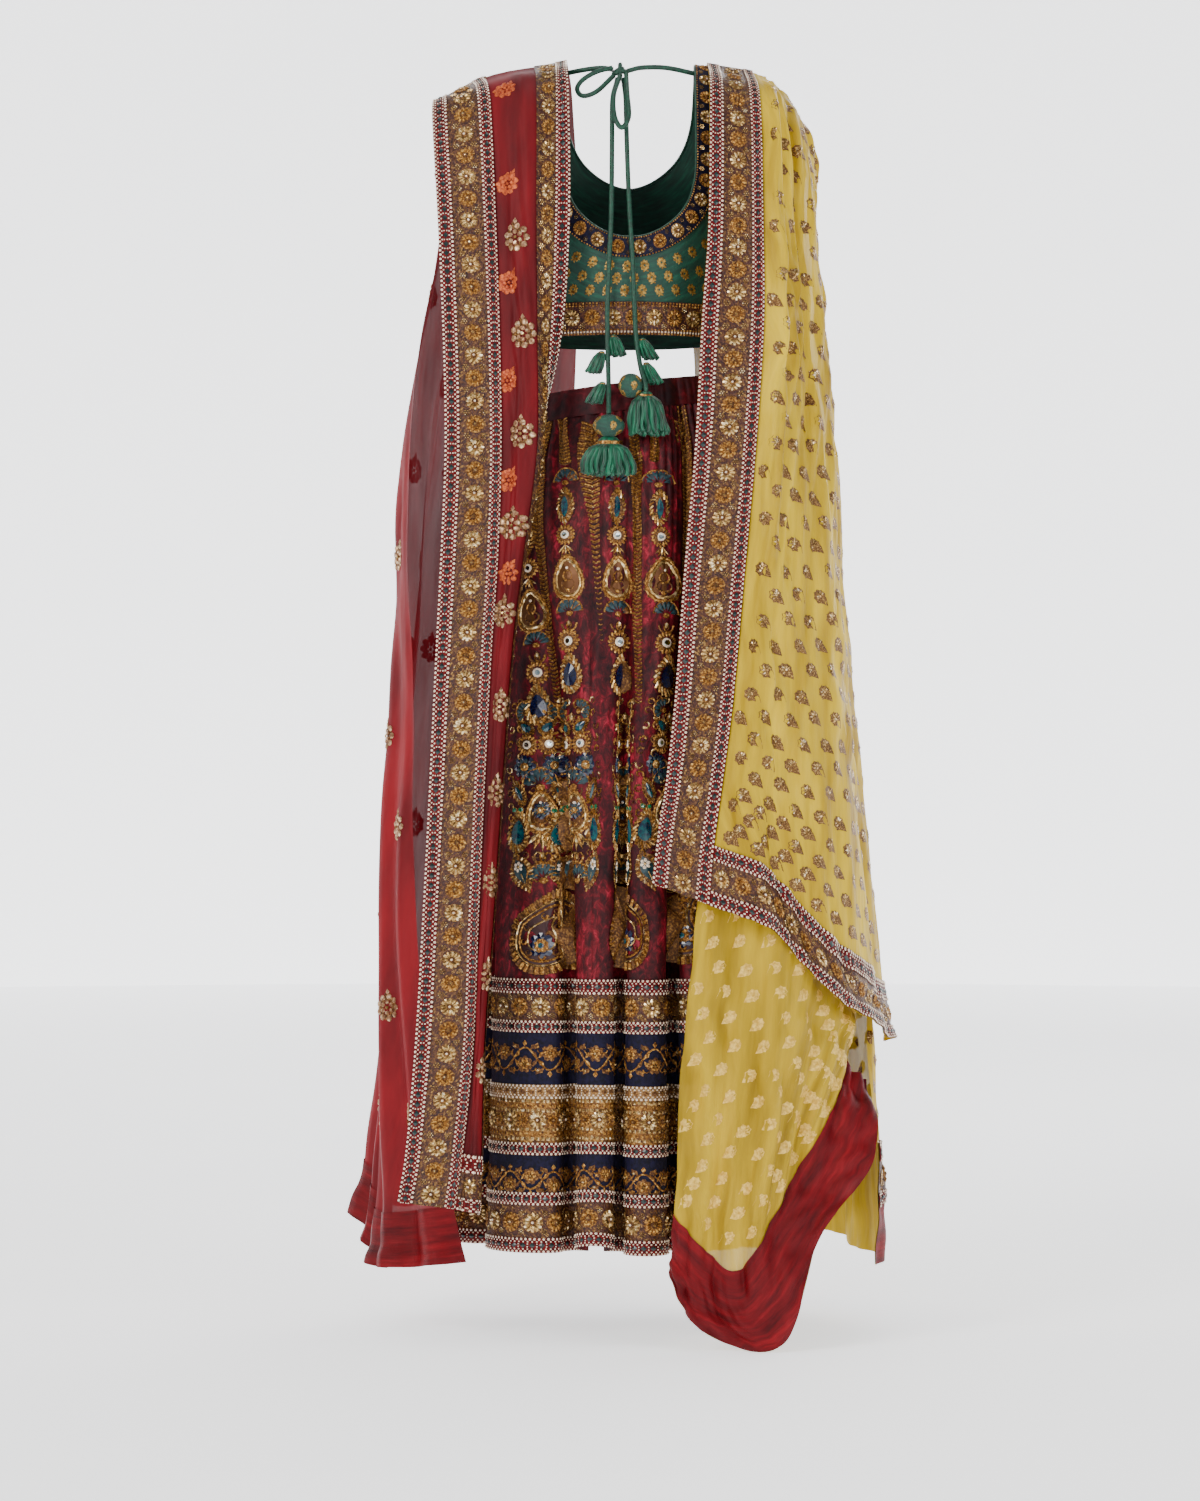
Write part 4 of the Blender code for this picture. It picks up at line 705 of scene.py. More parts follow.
def sleeve_point(sleeve, turn, k):
    start = armhole_edge(sleeve, turn)
    low = (1 - math.cos(turn)) / 2
    start.x += sleeve.side * (SLEEVE_GAP + UNDERARM_GAP * low)
    start.z += SLEEVE_GAP * low
    dx = sleeve.half_width * math.cos(turn)
    end = Vector((sleeve.centre_x + sleeve.side * dx, -sleeve.half_depth * math.sin(turn),
                  sleeve.height + sleeve.tilt * dx))
    point = start.lerp(end, k)
    bulge = SLEEVE_BULGE * math.sin(math.pi * k) * (1 - low)
    point += Vector((sleeve.side * bulge, 0, bulge * 0.5))
    return point


def skirt_point(column, height):
    """column runs 0 to 55 around the skirt; it is a seam or a valley at each row of FOLDS."""
    down = min(max((WAIST_BOTTOM - height) / (WAIST_BOTTOM - SKIRT_HEM), 0.0), 1.0)
    keys = [fold.column for fold in FOLDS]
    waist = straight(keys, [fold.waist_angle for fold in FOLDS], column)
    hem = straight(keys, [fold.hem_angle for fold in FOLDS], column)
    blend = 1 - (1 - down) ** 2.5
    angle = math.radians(waist + (hem - waist) * blend)
    phase = (column % FOLD_COLUMNS) / FOLD_COLUMNS
    start = [fold for fold in FOLDS if fold.column <= column % SKIRT_COLUMNS][-1]
    crest = 1 - abs(2 * phase - 1) ** 2.2
    depth = LEAST_FOLD + start.depth * down ** 1.2
    out = depth * (crest - CREST_MIDDLE)
    wide = at_height(GIRTHS, "half_width", height) + out
    deep = at_height(GIRTHS, "half_depth", height) + out
    x = BODY_X + wide * math.sin(angle)
    z = height + WAIST_TILT * x * (1 - down) ** 5 + start.lift * crest * down ** 8
    return Vector((x, -deep * math.cos(angle), z))


# ---------------------------------------------------------------- cloth surfaces

def curve_weights(count, at):
    """The weights that read a smooth curve through evenly spaced values, one row for each place."""
    at = np.clip(np.asarray(at, dtype=float), 0, count - 1)
    i = np.minimum(at.astype(int), count - 2)
    a, b, c, d = hermite(at - i)
    weights = np.zeros((len(at), count))
    for row in range(len(at)):
        k = i[row]
        weights[row, k] += a[row]
        weights[row, k + 1] += c[row]
        if k > 0:
            weights[row, k + 1] += b[row] / 2
            weights[row, k - 1] -= b[row] / 2
        else:
            weights[row, 1] += b[row]
            weights[row, 0] -= b[row]
        if k + 2 < count:
            weights[row, k + 2] += d[row] / 2
            weights[row, k] -= d[row] / 2
        else:
            weights[row, k + 1] += d[row]
            weights[row, k] -= d[row]
    return weights


def net_grid(net, us, vs):
    values = np.array(net)
    return np.einsum("vr,rua,xu->vxa", curve_weights(values.shape[0], vs), values,
                     curve_weights(values.shape[1], us))


def running_length(line):
    """The distance from the first point of a line to each of its points."""
    return np.concatenate([[0], np.cumsum(np.linalg.norm(np.diff(line, axis=0), axis=1))])


def unit(vectors):
    return vectors / np.maximum(np.linalg.norm(vectors, axis=-1, keepdims=True), 1e-12)


def sheet_grid(net, waves, us, vs):
    """A dupatta's points with the same soft folds as its solid."""
    us = np.asarray(us, dtype=float)
    vs = np.asarray(vs, dtype=float)
    wide = len(net[0]) - 1
    tall = len(net) - 1
    here = net_grid(net, us, vs)
    step = 0.02
    across = net_grid(net, np.minimum(us + step, wide), vs) - net_grid(net, np.maximum(us - step, 0), vs)
    down = net_grid(net, us, np.minimum(vs + step, tall)) - net_grid(net, us, np.maximum(vs - step, 0))
    normal = unit(np.cross(down, across))
    height = (waves.top + (waves.bottom - waves.top) * vs / tall) * np.minimum(1.0, vs)
    wave = np.sin(math.tau * (waves.count * us / wide + waves.phase))
    return here + normal * (height[:, None] * wave[None, :])[..., None]


BUMP_WAVES = 10


def bumps(seed, rows, columns, row_waves, column_waves):
    """Soft uneven waves over a grid, from -1 to 1, the same on every run."""
    rng = np.random.default_rng(seed)
    r = np.linspace(0, 1, rows)[:, None]
    c = np.linspace(0, 1, columns)[None, :]
    total = np.zeros((rows, columns))
    for _ in range(BUMP_WAVES):
        fr = rng.uniform(0.3, 1.0) * row_waves
        fc = rng.uniform(0.3, 1.0) * column_waves
        total += np.sin(math.tau * (fr * r + fc * c + rng.uniform()))
    return total / (BUMP_WAVES ** 0.5 * 1.4)


class Cloth:
    """A grid of points with outward normals: rows run down the cloth, columns across it."""

    def __init__(self, points, middle=None, closed=False):
        self.closed = closed
        self.points = points
        self.find_normals(middle)

    def find_normals(self, middle):
        p = self.points
        if self.closed:
            across = np.roll(p, -1, axis=1) - np.roll(p, 1, axis=1)
        else:
            across = np.gradient(p, axis=1)
        normal = unit(np.cross(across, np.gradient(p, axis=0)))
        if middle is not None:
            out = p - np.array([middle[0], middle[1], 0.0])
            out[..., 2] = 0
            if (normal * out).sum() < 0:
                normal = -normal
        self.normals = normal
        self.middle = middle

    def moved(self, height):
        """The same cloth moved along its normals by a height or a grid of heights."""
        height = np.asarray(height, dtype=float)
        if height.ndim == 2:
            height = height[..., None]
        made = Cloth(self.points + self.normals * height, None, self.closed)
        if (made.normals * self.normals).sum() < 0:
            made.normals = -made.normals
        made.middle = self.middle
        return made

    def part(self, rows, columns):
        piece = Cloth(self.points[rows, columns], None)
        piece.normals = self.normals[rows, columns]
        piece.middle = self.middle
        return piece

    def size(self):
        return self.points.shape[0], self.points.shape[1]

    def sample(self, grid, r, c):
        rows, columns = self.size()
        r = np.clip(r, 0, rows - 1.000001)
        if self.closed:
            c = np.minimum(np.mod(c, columns), columns - 1e-9)
        else:
            c = np.clip(c, 0, columns - 1.000001)
        i = r.astype(int)
        j = c.astype(int)
        k = (j + 1) % columns if self.closed else j + 1
        fr = (r - i)[..., None]
        fc = (c - j)[..., None]
        top = grid[i, j] * (1 - fc) + grid[i, k] * fc
        low = grid[i + 1, j] * (1 - fc) + grid[i + 1, k] * fc
        return top * (1 - fr) + low * fr

    def at(self, r, c, lift=0.0):
        r, c = np.broadcast_arrays(np.asarray(r, dtype=float), np.asarray(c, dtype=float))
        point = self.sample(self.points, r, c)
        normal = unit(self.sample(self.normals, r, c))
        return point + normal * np.asarray(lift, dtype=float)[..., None]

    def arc_down(self, column):
        return running_length(self.points[:, int(round(column))])

    def arc_across(self, row):
        columns = np.arange(self.points.shape[1] + (1 if self.closed else 0))
        return running_length(self.at(np.full(len(columns), float(row)), columns))

    def uv(self):
        p = self.points
        if self.closed:
            p = np.concatenate([p, p[:, :1]], axis=1)
        steps = np.linalg.norm(np.diff(p, axis=1), axis=2)
        u = np.concatenate([np.zeros((p.shape[0], 1)), np.cumsum(steps, axis=1)], axis=1)
        u -= u[:, p.shape[1] // 2][:, None]
        steps = np.linalg.norm(np.diff(p, axis=0), axis=2)
        v = np.concatenate([np.zeros((1, p.shape[1])), np.cumsum(steps, axis=0)], axis=0)
        return np.stack([u, v], axis=-1)

    def area(self):
        p = self.points
        if self.closed:
            p = np.concatenate([p, p[:, :1]], axis=1)
        one = np.cross(p[:-1, 1:] - p[:-1, :-1], p[1:, :-1] - p[:-1, :-1])
        two = np.cross(p[1:, :-1] - p[1:, 1:], p[:-1, 1:] - p[1:, 1:])
        return float((np.linalg.norm(one, axis=2).sum() + np.linalg.norm(two, axis=2).sum()) / 2)


def link(obj):
    bpy.context.scene.collection.objects.link(obj)
    return obj


def own(obj, nodes=()):
    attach(obj, "root")
    if nodes:
        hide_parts(*nodes)
    return obj


def mesh_object(name, points, faces, looks, which=None, uvs=None, smooth=True):
    """faces is an integer array of quads or triangles, or a list of such arrays."""
    faces = faces if isinstance(faces, list) else [faces]
    faces = [f for f in faces if len(f)]
    mesh = bpy.data.meshes.new(name)
    mesh.vertices.add(len(points))
    mesh.vertices.foreach_set("co", np.asarray(points, dtype=np.float32).ravel())
    corners = np.concatenate([f.ravel() for f in faces]).astype(np.int32)
    totals = np.concatenate([np.full(len(f), f.shape[1]) for f in faces]).astype(np.int32)
    starts = np.concatenate([[0], np.cumsum(totals)[:-1]]).astype(np.int32)
    mesh.loops.add(len(corners))
    mesh.loops.foreach_set("vertex_index", corners)
    mesh.polygons.add(len(totals))
    mesh.polygons.foreach_set("loop_start", starts)
    mesh.polygons.foreach_set("use_smooth", np.full(len(totals), smooth))
    if which is not None:
        mesh.polygons.foreach_set("material_index", np.asarray(which, dtype=np.int32))
    for name_ in looks:
        mesh.materials.append(LOOKS[name_])
    if uvs is not None:
        layer = mesh.uv_layers.new(name="UVMap")
        layer.data.foreach_set("uv", np.asarray(uvs, dtype=np.float32)[corners].ravel())
    mesh.update(calc_edges=True)
    mesh.validate()
    return link(bpy.data.objects.new(name, mesh))


def cloth_quads(cloth):
    """The grid of a cloth's point numbers, and its faces turned outward."""
    rows, columns = cloth.size()
    index = np.arange(rows * columns).reshape(rows, columns)
    if cloth.closed:
        index = np.concatenate([index, index[:, :1]], axis=1)
    quads = np.stack([index[:-1, :-1], index[1:, :-1], index[1:, 1:], index[:-1, 1:]], axis=-1)
    quads = quads.reshape(-1, 4)
    first = cloth.points.reshape(-1, 3)[quads[0]]
    way = np.cross(first[1] - first[0], first[2] - first[0])
    if np.dot(way, cloth.normals.reshape(-1, 3)[quads[0, 0]]) < 0:
        quads = quads[:, ::-1]
    return index, quads, cloth.uv()[:, :columns].reshape(-1, 2)


def sheer_object(name, cloth, look_name, nodes=()):
    """One layer of cloth, whose own thickness is too small to show."""
    _, quads, uvs = cloth_quads(cloth)
    obj = mesh_object(name, cloth.points.reshape(-1, 3), quads, [look_name], uvs=uvs)
    return own(obj, nodes)


def cloth_object(name, cloth, look_name, nodes=(), thick=0.0004):
    """A thin shell of the cloth: its outer and inner face and the strip that joins them."""
    index, quads, uvs = cloth_quads(cloth)
    half = cloth.normals * (thick / 2)
    points = np.concatenate([(cloth.points + half).reshape(-1, 3), (cloth.points - half).reshape(-1, 3)])
    count = len(points) // 2
    borders = [index[0, :], index[-1, ::-1]]
    if not cloth.closed:
        borders += [index[::-1, 0], index[:, -1]]
    rim = [np.stack([line[:-1], line[1:], line[1:] + count, line[:-1] + count], axis=-1) for line in borders]
    faces = np.concatenate([quads, quads[:, ::-1] + count] + rim)
    obj = mesh_object(name, points, faces, [look_name], uvs=np.concatenate([uvs, uvs]))
    return own(obj, nodes)


# ---------------------------------------------------------------- motifs

# A motif is flat: x across, y down and h out from the cloth, in metres, with the look of each face.
class Motif:
    def __init__(self):
        self.points = []
        self.faces = []
        self.looks = []

    def add(self, points, faces, look_name):
        base = len(self.points)
        self.points += [tuple(p) for p in points]
        for face in faces:
            self.faces.append([base + k for k in face])
            self.looks.append(look_name)
        return self

    def dome(self, x, y, rx, ry, height, look_name, sides=6, base=0.0, flat=0.62):
        """A low button: an outer ring on the cloth, a raised ring and a top."""
        turns = [math.tau * (k + 0.5) / sides for k in range(sides)]
        ring = [(x + rx * math.cos(t), y + ry * math.sin(t), base) for t in turns]
        upper = [(x + rx * math.cos(t) * flat, y + ry * math.sin(t) * flat, base + height) for t in turns]
        faces = [[k, (k + 1) % sides, sides + (k + 1) % sides, sides + k] for k in range(sides)]
        faces.append([sides + k for k in range(sides)])
        return self.add(ring + upper, faces, look_name)

    def button(self, x, y, radius, height, look_name, sides=6, **shape):
        """A round dome."""
        return self.dome(x, y, radius, radius, height, look_name, sides, **shape)

    def petal(self, x, y, angle, start, length, half, height, look_name, base=0.0, tip=0.0):
        """A petal from start to start + length along angle, with a raised spine."""
        along = (math.cos(angle), math.sin(angle))
        side = (-along[1], along[0])

        def place(a, s, h):
            return (x + along[0] * a + side[0] * s, y + along[1] * a + side[1] * s, base + h)

        points = [place(start, 0, 0.0), place(start + length * 0.55, -half, 0.0),
                  place(start + length, -tip, 0.0), place(start + length, tip, 0.0),
                  place(start + length * 0.55, half, 0.0), place(start + length * 0.55, 0, height)]
        faces = [[0, 1, 5], [1, 2, 5], [2, 3, 5], [3, 4, 5], [4, 0, 5]]
        if tip == 0:
            points = [points[0], points[1], points[2], points[4], points[5]]
            faces = [[0, 1, 4], [1, 2, 4], [2, 3, 4], [3, 0, 4]]
        return self.add(points, faces, look_name)

    def flower(self, x, y, radius, petals, look_name, height=0.0012, centre="pearl", heart=0.28,
               width=0.9, turn=0.0, base=0.0):
        half = radius * math.sin(math.pi / petals) * width * 0.75
        for k in range(petals):
            self.petal(x, y, turn + math.tau * k / petals, radius * heart * 0.8, radius * (1 - heart * 0.8),
                       half, height, look_name, base, tip=half * 0.45)
        if centre:
            self.button(x, y, radius * heart, height * 1.5, centre, 6, base=base)
        return self

    def line(self, path, width, height, look_name, base=0.0, taper=False):
        """A raised thread along a path of flat points."""
        path = np.array(path, dtype=float)
        way = np.gradient(path, axis=0)
        way = way / np.maximum(np.linalg.norm(way, axis=1, keepdims=True), 1e-9)
        side = np.stack([-way[:, 1], way[:, 0]], axis=1)
        count = len(path)
        half = np.full(count, width / 2)
        if taper:
            half = half * np.linspace(1.0, 0.25, count)
        points = []
        for k in range(count):
            left = path[k] + side[k] * half[k]
            right = path[k] - side[k] * half[k]
            points += [(left[0], left[1], base), (path[k, 0], path[k, 1], base + height),
                       (right[0], right[1], base)]
        faces = []
        for k in range(count - 1):
            a = 3 * k
            faces += [[a, a + 3, a + 4, a + 1], [a + 1, a + 4, a + 5, a + 2]]
        return self.add(points, faces, look_name)

    def plate(self, outline, look_name, height=0.0, base=0.0):
        """A filled shape with its middle raised."""
        outline = np.array(outline, dtype=float)
        middle = outline.mean(axis=0)
        points = [(p[0], p[1], base) for p in outline] + [(middle[0], middle[1], base + height)]
        last = len(outline)
        faces = [[k, (k + 1) % last, last] for k in range(last)]
        return self.add(points, faces, look_name)

    def include(self, other, x=0.0, y=0.0, turn=0.0):
        cos = math.cos(turn)
        sin = math.sin(turn)
        base = len(self.points)
        for a, b, h in other.points:
            self.points.append((x + a * cos - b * sin, y + a * sin + b * cos, h))
        for face in other.faces:
            self.faces.append([base + k for k in face])
        self.looks += other.looks
        return self


class Stitching:
    """Motifs laid on cloth, gathered into one mesh."""

    def __init__(self):
        self.points = []
        self.faces = {}
        self.which = {}
        self.looks = []
        self.count = 0

    def look_index(self, name):
        if name not in self.looks:
            self.looks.append(name)
        return self.looks.index(name)

    def lay(self, cloth, motif, rs, cs, turn=0.0, scale=1.0, lift=0.0):
        """Lays the motif at grid places rs, cs; its y runs down the cloth, before the turn."""
        rs = np.atleast_1d(np.asarray(rs, dtype=float))
        cs = np.atleast_1d(np.asarray(cs, dtype=float))
        if len(rs) == 0:
            return
        turn = np.broadcast_to(np.asarray(turn, dtype=float), rs.shape)
        scale = np.broadcast_to(np.asarray(scale, dtype=float), rs.shape)
        flat = np.array(motif.points)
        step = 0.5
        down = cloth.at(rs + step, cs) - cloth.at(rs - step, cs)
        across = cloth.at(rs, cs + step) - cloth.at(rs, cs - step)
        normal = unit(np.cross(across, down))
        e2 = unit(down)
        e1 = unit(np.cross(e2, normal))
        if np.sum(e1 * across) < 0:
            e1 = -e1
        cos = np.cos(turn)[:, None] * scale[:, None]
        sin = np.sin(turn)[:, None] * scale[:, None]
        x = flat[None, :, 0] * cos - flat[None, :, 1] * sin
        y = flat[None, :, 0] * sin + flat[None, :, 1] * cos
        move = x[..., None] * e1[:, None, :] + y[..., None] * e2[:, None, :]
        a = (across * across).sum(-1)[:, None]
        b = (across * down).sum(-1)[:, None]
        d = (down * down).sum(-1)[:, None]
        p = (move * across[:, None, :]).sum(-1)
        q = (move * down[:, None, :]).sum(-1)
        det = np.maximum(a * d - b * b, 1e-12)
        dc = (d * p - b * q) / det
        dr = (a * q - b * p) / det
        heights = flat[None, :, 2] * scale[:, None] + lift
        points = cloth.at(rs[:, None] + dr, cs[:, None] + dc, heights)
        self.add(points, motif)

    def add(self, points, motif):
        """points holds a copy of the motif's points for each place it is laid."""
        copies, size = points.shape[0], points.shape[1]
        self.points.append(points.reshape(-1, 3))
        for face, name in zip(motif.faces, motif.looks):
            index = np.array(face)[None, :] + (self.count + size * np.arange(copies))[:, None]
            self.faces.setdefault(len(face), []).append(index)
            self.which.setdefault(len(face), []).append(np.full(copies, self.look_index(name)))
        self.count += copies * size

    def build(self, name):
        sizes = [k for k in self.faces if self.faces[k]]
        faces = [np.concatenate(self.faces[k]) for k in sizes]
        which = np.concatenate([np.concatenate(self.which[k]) for k in sizes])
        obj = mesh_object(name, np.concatenate(self.points), faces, self.looks, which, smooth=False)
        return own(obj)


def staggered(cloth, across, down, inset=0.0, top=0.0, bottom=0.0, jitter=0.0):
    """Grid places of a staggered pattern: each row of places is half a step off the one above."""
    rng = np.random.default_rng(1)
    rows, columns = cloth.size()
    arc = cloth.arc_down(columns // 2)
    rs = []
    cs = []
    k = 0
    at = top + down / 2
    while at < arc[-1] - bottom:
        r = float(np.interp(at, arc, np.arange(rows)))
        line = cloth.arc_across(r)
        width = line[-1]
        half = 0.5 * (k % 2)
        j = math.ceil((inset - width / 2) / across - half)
        while (j + half) * across + width / 2 <= width - inset:
            where = (j + half) * across + width / 2
            if where >= inset:
                rs.append(r + rng.uniform(-jitter, jitter))
                cs.append(float(np.interp(where, line, np.arange(len(line)))))
            j += 1
        k += 1
        at += down
    return np.array(rs), np.array(cs)


class Strip:
    """A border strip on a cloth. A place on it is a distance along and a share of its width."""

    def __init__(self, cloth, rows, columns, down, samples=900):
        self.cloth = cloth
        self.rows = rows
        self.columns = columns
        self.down = down
        span = rows if down else columns
        other = columns if down else rows
        self.index = np.linspace(span[0], span[1], samples)
        middle = np.full(samples, (other[0] + other[1]) / 2)
        self.arc = running_length(cloth.at(self.index, middle) if down else cloth.at(middle, self.index))
        self.length = self.arc[-1]

    def place(self, along, share):
        where = np.interp(along, self.arc, self.index)
        low, high = self.columns if self.down else self.rows
        across = low + (high - low) * np.asarray(share, dtype=float)
        where, across = np.broadcast_arrays(where, across)
        return (where, across) if self.down else (across, where)

    def spaced(self, pitch, shift=0.0, margin=0.0):
        count = max(int(round((self.length - 2 * margin) / pitch)), 1)
        return margin + (np.arange(count) + 0.5 + shift) * (self.length - 2 * margin) / count

    def sew(self, stitch, motif, starts, width, share=0.5, lift=0.0):
        """The motif's x runs along the strip and its y across it; width is the strip's real width."""
        starts = np.atleast_1d(np.asarray(starts, dtype=float))
        flat = np.array(motif.points)
        along = starts[:, None] + flat[None, :, 0]
        if not self.cloth.closed or self.down:
            along = np.clip(along, 0, self.length)
        across = np.broadcast_to(share + flat[None, :, 1] / width, along.shape)
        r, c = self.place(along, across)
        stitch.add(self.cloth.at(r, c, np.broadcast_to(flat[None, :, 2], along.shape) + lift), motif)


def whole_strip(cloth, samples=900):
    """A strip that takes up a whole cloth and runs across it."""
    rows, columns = cloth.size()
    return Strip(cloth, (0, rows - 1), (0, columns if cloth.closed else columns - 1), False, samples)


# ---------------------------------------------------------------- the garment's surfaces

SKIRT_STEP = 6
SKIRT_BREAKS = (-0.4206, -1.100, -1.164, -1.2255, -1.309, -1.368, -1.424)
SKIRT_BREAK_ROWS = (0, 110, 119, 127, 138, 146, 154)


def skirt_heights():
    rows = np.arange(SKIRT_BREAK_ROWS[-1] + 1)
    return np.interp(rows, SKIRT_BREAK_ROWS, SKIRT_BREAKS)


def skirt_surface(heights, step=SKIRT_STEP):
    columns = np.arange(SKIRT_COLUMNS * step) / step
    return np.array([[skirt_point(float(c), float(h)) for c in columns] for h in heights])


GATHER_DEPTH = 0.0030
SEAM_DEPTH = 0.0016
GROOVE_DEPTH = 0.020    # between two crests, at every fifth column
SAG_MIDDLE = 0.36       # the sags are deepest this far down the panels
SAGS = ((3, 5, 26, 0.0032), (4, 14, 44, 0.0012))    # seed, waves down and across, height
CALM_COLUMNS = 12.0     # the sags fade out this near to the first and last column


def dress_skirt(points, heights):
    """Gathers under the waistband, soft sags down the panels and grooves along the seams."""
    cloth = Cloth(points, (BODY_X, 0.0), closed=True)
    rows, columns = cloth.size()
    down = ((WAIST_BOTTOM - heights) / (WAIST_BOTTOM - SKIRT_HEM))[:, None]
    c = np.arange(columns)[None, :] / SKIRT_STEP
    gather = np.sin(math.tau * (c * 1.62 + 0.35 * np.sin(c * 1.3))) * np.exp(-down * 7.5) * GATHER_DEPTH
    free = np.clip(1 - np.abs(down - SAG_MIDDLE) / SAG_MIDDLE, 0, 1)
    edge = np.minimum(np.arange(columns), columns - 1 - np.arange(columns))
    fade = np.minimum(1.0, edge / CALM_COLUMNS)[None, :]
    sag = 0.0
    for seed, row_waves, column_waves, size in SAGS:
        sag = sag + bumps(seed, rows, columns, row_waves, column_waves) * size * fade
    seam = np.zeros((rows, columns))
    for fold in FOLDS[:-1]:
        near = np.abs((c - fold.column + SKIRT_COLUMNS / 2) % SKIRT_COLUMNS - SKIRT_COLUMNS / 2)
        seam -= SEAM_DEPTH * np.exp(-(near / 0.16) ** 2) * (1 - 0.6 * down)
        if fold.column % FOLD_COLUMNS == 0:
            seam -= GROOVE_DEPTH * np.exp(-(near / 0.42) ** 2) * np.clip(down * 1.4, 0, 1) ** 1.4
    return cloth.moved(gather + sag * free + seam)


def grid_of(points):
    return np.array([[tuple(p) for p in row] for row in points])


def blouse_surface(edges, side):
    ws = np.linspace(-12, 12, 145)
    rs = np.concatenate([np.linspace(0, 1, 11), np.linspace(1, 2, 45)[1:]])
    return grid_of([[blouse_point(edges, float(w), float(r), side) for w in ws] for r in rs])


def hem_surface(edges, side):
    angles = [s * a for s, a in
              [(-1, e.rim_angle) for e in edges[7:]] + [(1, e.rim_angle) for e in edges[11:6:-1]]]
    fine = np.interp(np.linspace(0, 10, 101), np.arange(11), angles)
    heights = np.linspace(HEM_BAND_TOP, CHOLI_HEM, 9)
    return grid_of([[body_point(math.radians(float(a)), float(h), side) for a in fine] for h in heights])


def sleeve_surface(sleeve):
    turns = [math.tau * k / 64 for k in range(64)]
    return grid_of([[sleeve_point(sleeve, turn, float(k)) for turn in turns]
                    for k in np.linspace(0, 1, 26)])


def pleats(us, vs, count):
    """Long hanging folds with round crests and tight valleys, which wander a little on the way down."""
    across, down = us[None, :], vs[:, None]
    return np.abs(np.sin(math.pi * (count * across + 0.35 * np.sin(2.4 * down + 4.0 * across)))) - 0.35


def crinkle(seed, rows, columns, folds, size):
    """Fine folds that run down a sheet and wander a little."""
    rng = np.random.default_rng(seed)
    r = np.linspace(0, 1, rows)[:, None]
    c = np.linspace(0, 1, columns)[None, :]
    total = np.zeros((rows, columns))
    for k in range(7):
        count = folds * (0.5 + 0.28 * k)
        swing = 1.5 / count * np.sin(math.tau * (r * rng.uniform(0.4, 1.6) + rng.uniform()))
        fade = 0.65 + 0.35 * np.sin(math.tau * (r * rng.uniform(0.5, 2.5) + rng.uniform()))
        total += fade * np.sin(math.tau * (count * (c + swing) + rng.uniform())) / (1 + 0.35 * k)
    return total * size / 2.2


# The back falls' grids: which place across the net or chiffon each of these columns stands at.
NET_MARKS = (0, 1, 3.12, 4)
NET_COLUMNS = (0, 16, 60, 74)
CHIFFON_MARKS = (0, 1, 5)
CHIFFON_COLUMNS = (0, 16, 116)
# Where the borders and facings start.
NET_INNER_COLUMN = 47
NET_END_ROW = 240
NET_FACING_ROW = 164
CHIFFON_END_ROW = 200
CHIFFON_LOWER_FACING_ROW = 94
CHIFFON_FRONT_BORDER_ROWS = (168, 182)
BORDER_WIDTH = 0.071
# The middle that each dupatta hangs around, x and y.
NET_MIDDLE = (-0.19, 0.02)
CHIFFON_MIDDLE = (0.17, 0.0)
# The flowers on the net's back fall, in pixels of the frame.
NET_FLOWERS = ((515, 235), (523, 335), (520, 432), (512, 525), (503, 613), (500, 708), (497, 795),
               (491, 885), (487, 975), (484, 1070))
NET_ORANGE_FLOWERS = ((505, 88), (508, 185), (509, 284), (508, 382), (509, 480), (507, 572))


def fine(marks, indices):
    return np.interp(np.arange(indices[-1] + 1), indices, marks)


# ---------------------------------------------------------------- embroidery

def bead(m, x, y, radius, height, look_name, base=0.0, sides=4):
    """A low pyramid, which looks like a round bead at this size."""
    turns = [math.tau * (k + 0.5) / sides for k in range(sides)]
    ring = [(x + radius * math.cos(t), y + radius * math.sin(t), base) for t in turns]
    faces = [[k, (k + 1) % sides, sides] for k in range(sides)]
    return m.add(ring + [(x, y, base + height)], faces, look_name)


def pearl(size=0.0034, look_name="pearl"):
    return bead(Motif(), 0, 0, size * 0.56, size * 0.40, look_name, sides=4 if size < 0.003 else 5)


def diamond(length=0.0074, width=0.0052, look_name="diamond"):
    m = Motif()
    m.add([(-length / 2, 0, 0), (0, -width / 2, 0), (length / 2, 0, 0), (0, width / 2, 0), (0, 0, 0.0011)],
          [[0, 1, 4], [1, 2, 4], [2, 3, 4], [3, 0, 4]], look_name)
    return m


def sequin_flower(radius, bright=True):
    m = Motif()
    m.button(0, 0, radius * 1.06, 0.0003, "gold_dull", 12, flat=0.96)
    m.flower(0, 0, radius, 12, "sequin" if bright else "gold", 0.0016, None, base=0.0003, width=1.1)
    m.button(0, 0, radius * 0.36, 0.0016, "gold_dull", 8, base=0.0006)
    m.button(0, 0, radius * 0.16, 0.0012, "pearl" if bright else "sequin", 6, base=0.0018)
    return m


def bead_cluster(span):
    m = Motif()
    for x, y in ((0, 0), (0, -0.36), (0, 0.36), (0.30, 0.18), (-0.30, 0.18), (0.30, -0.18),
                 (-0.30, -0.18)):
        bead(m, x * span, y * span, span * 0.15, 0.0009, "sequin")
    return m


TRIM_LIFT = 0.0012


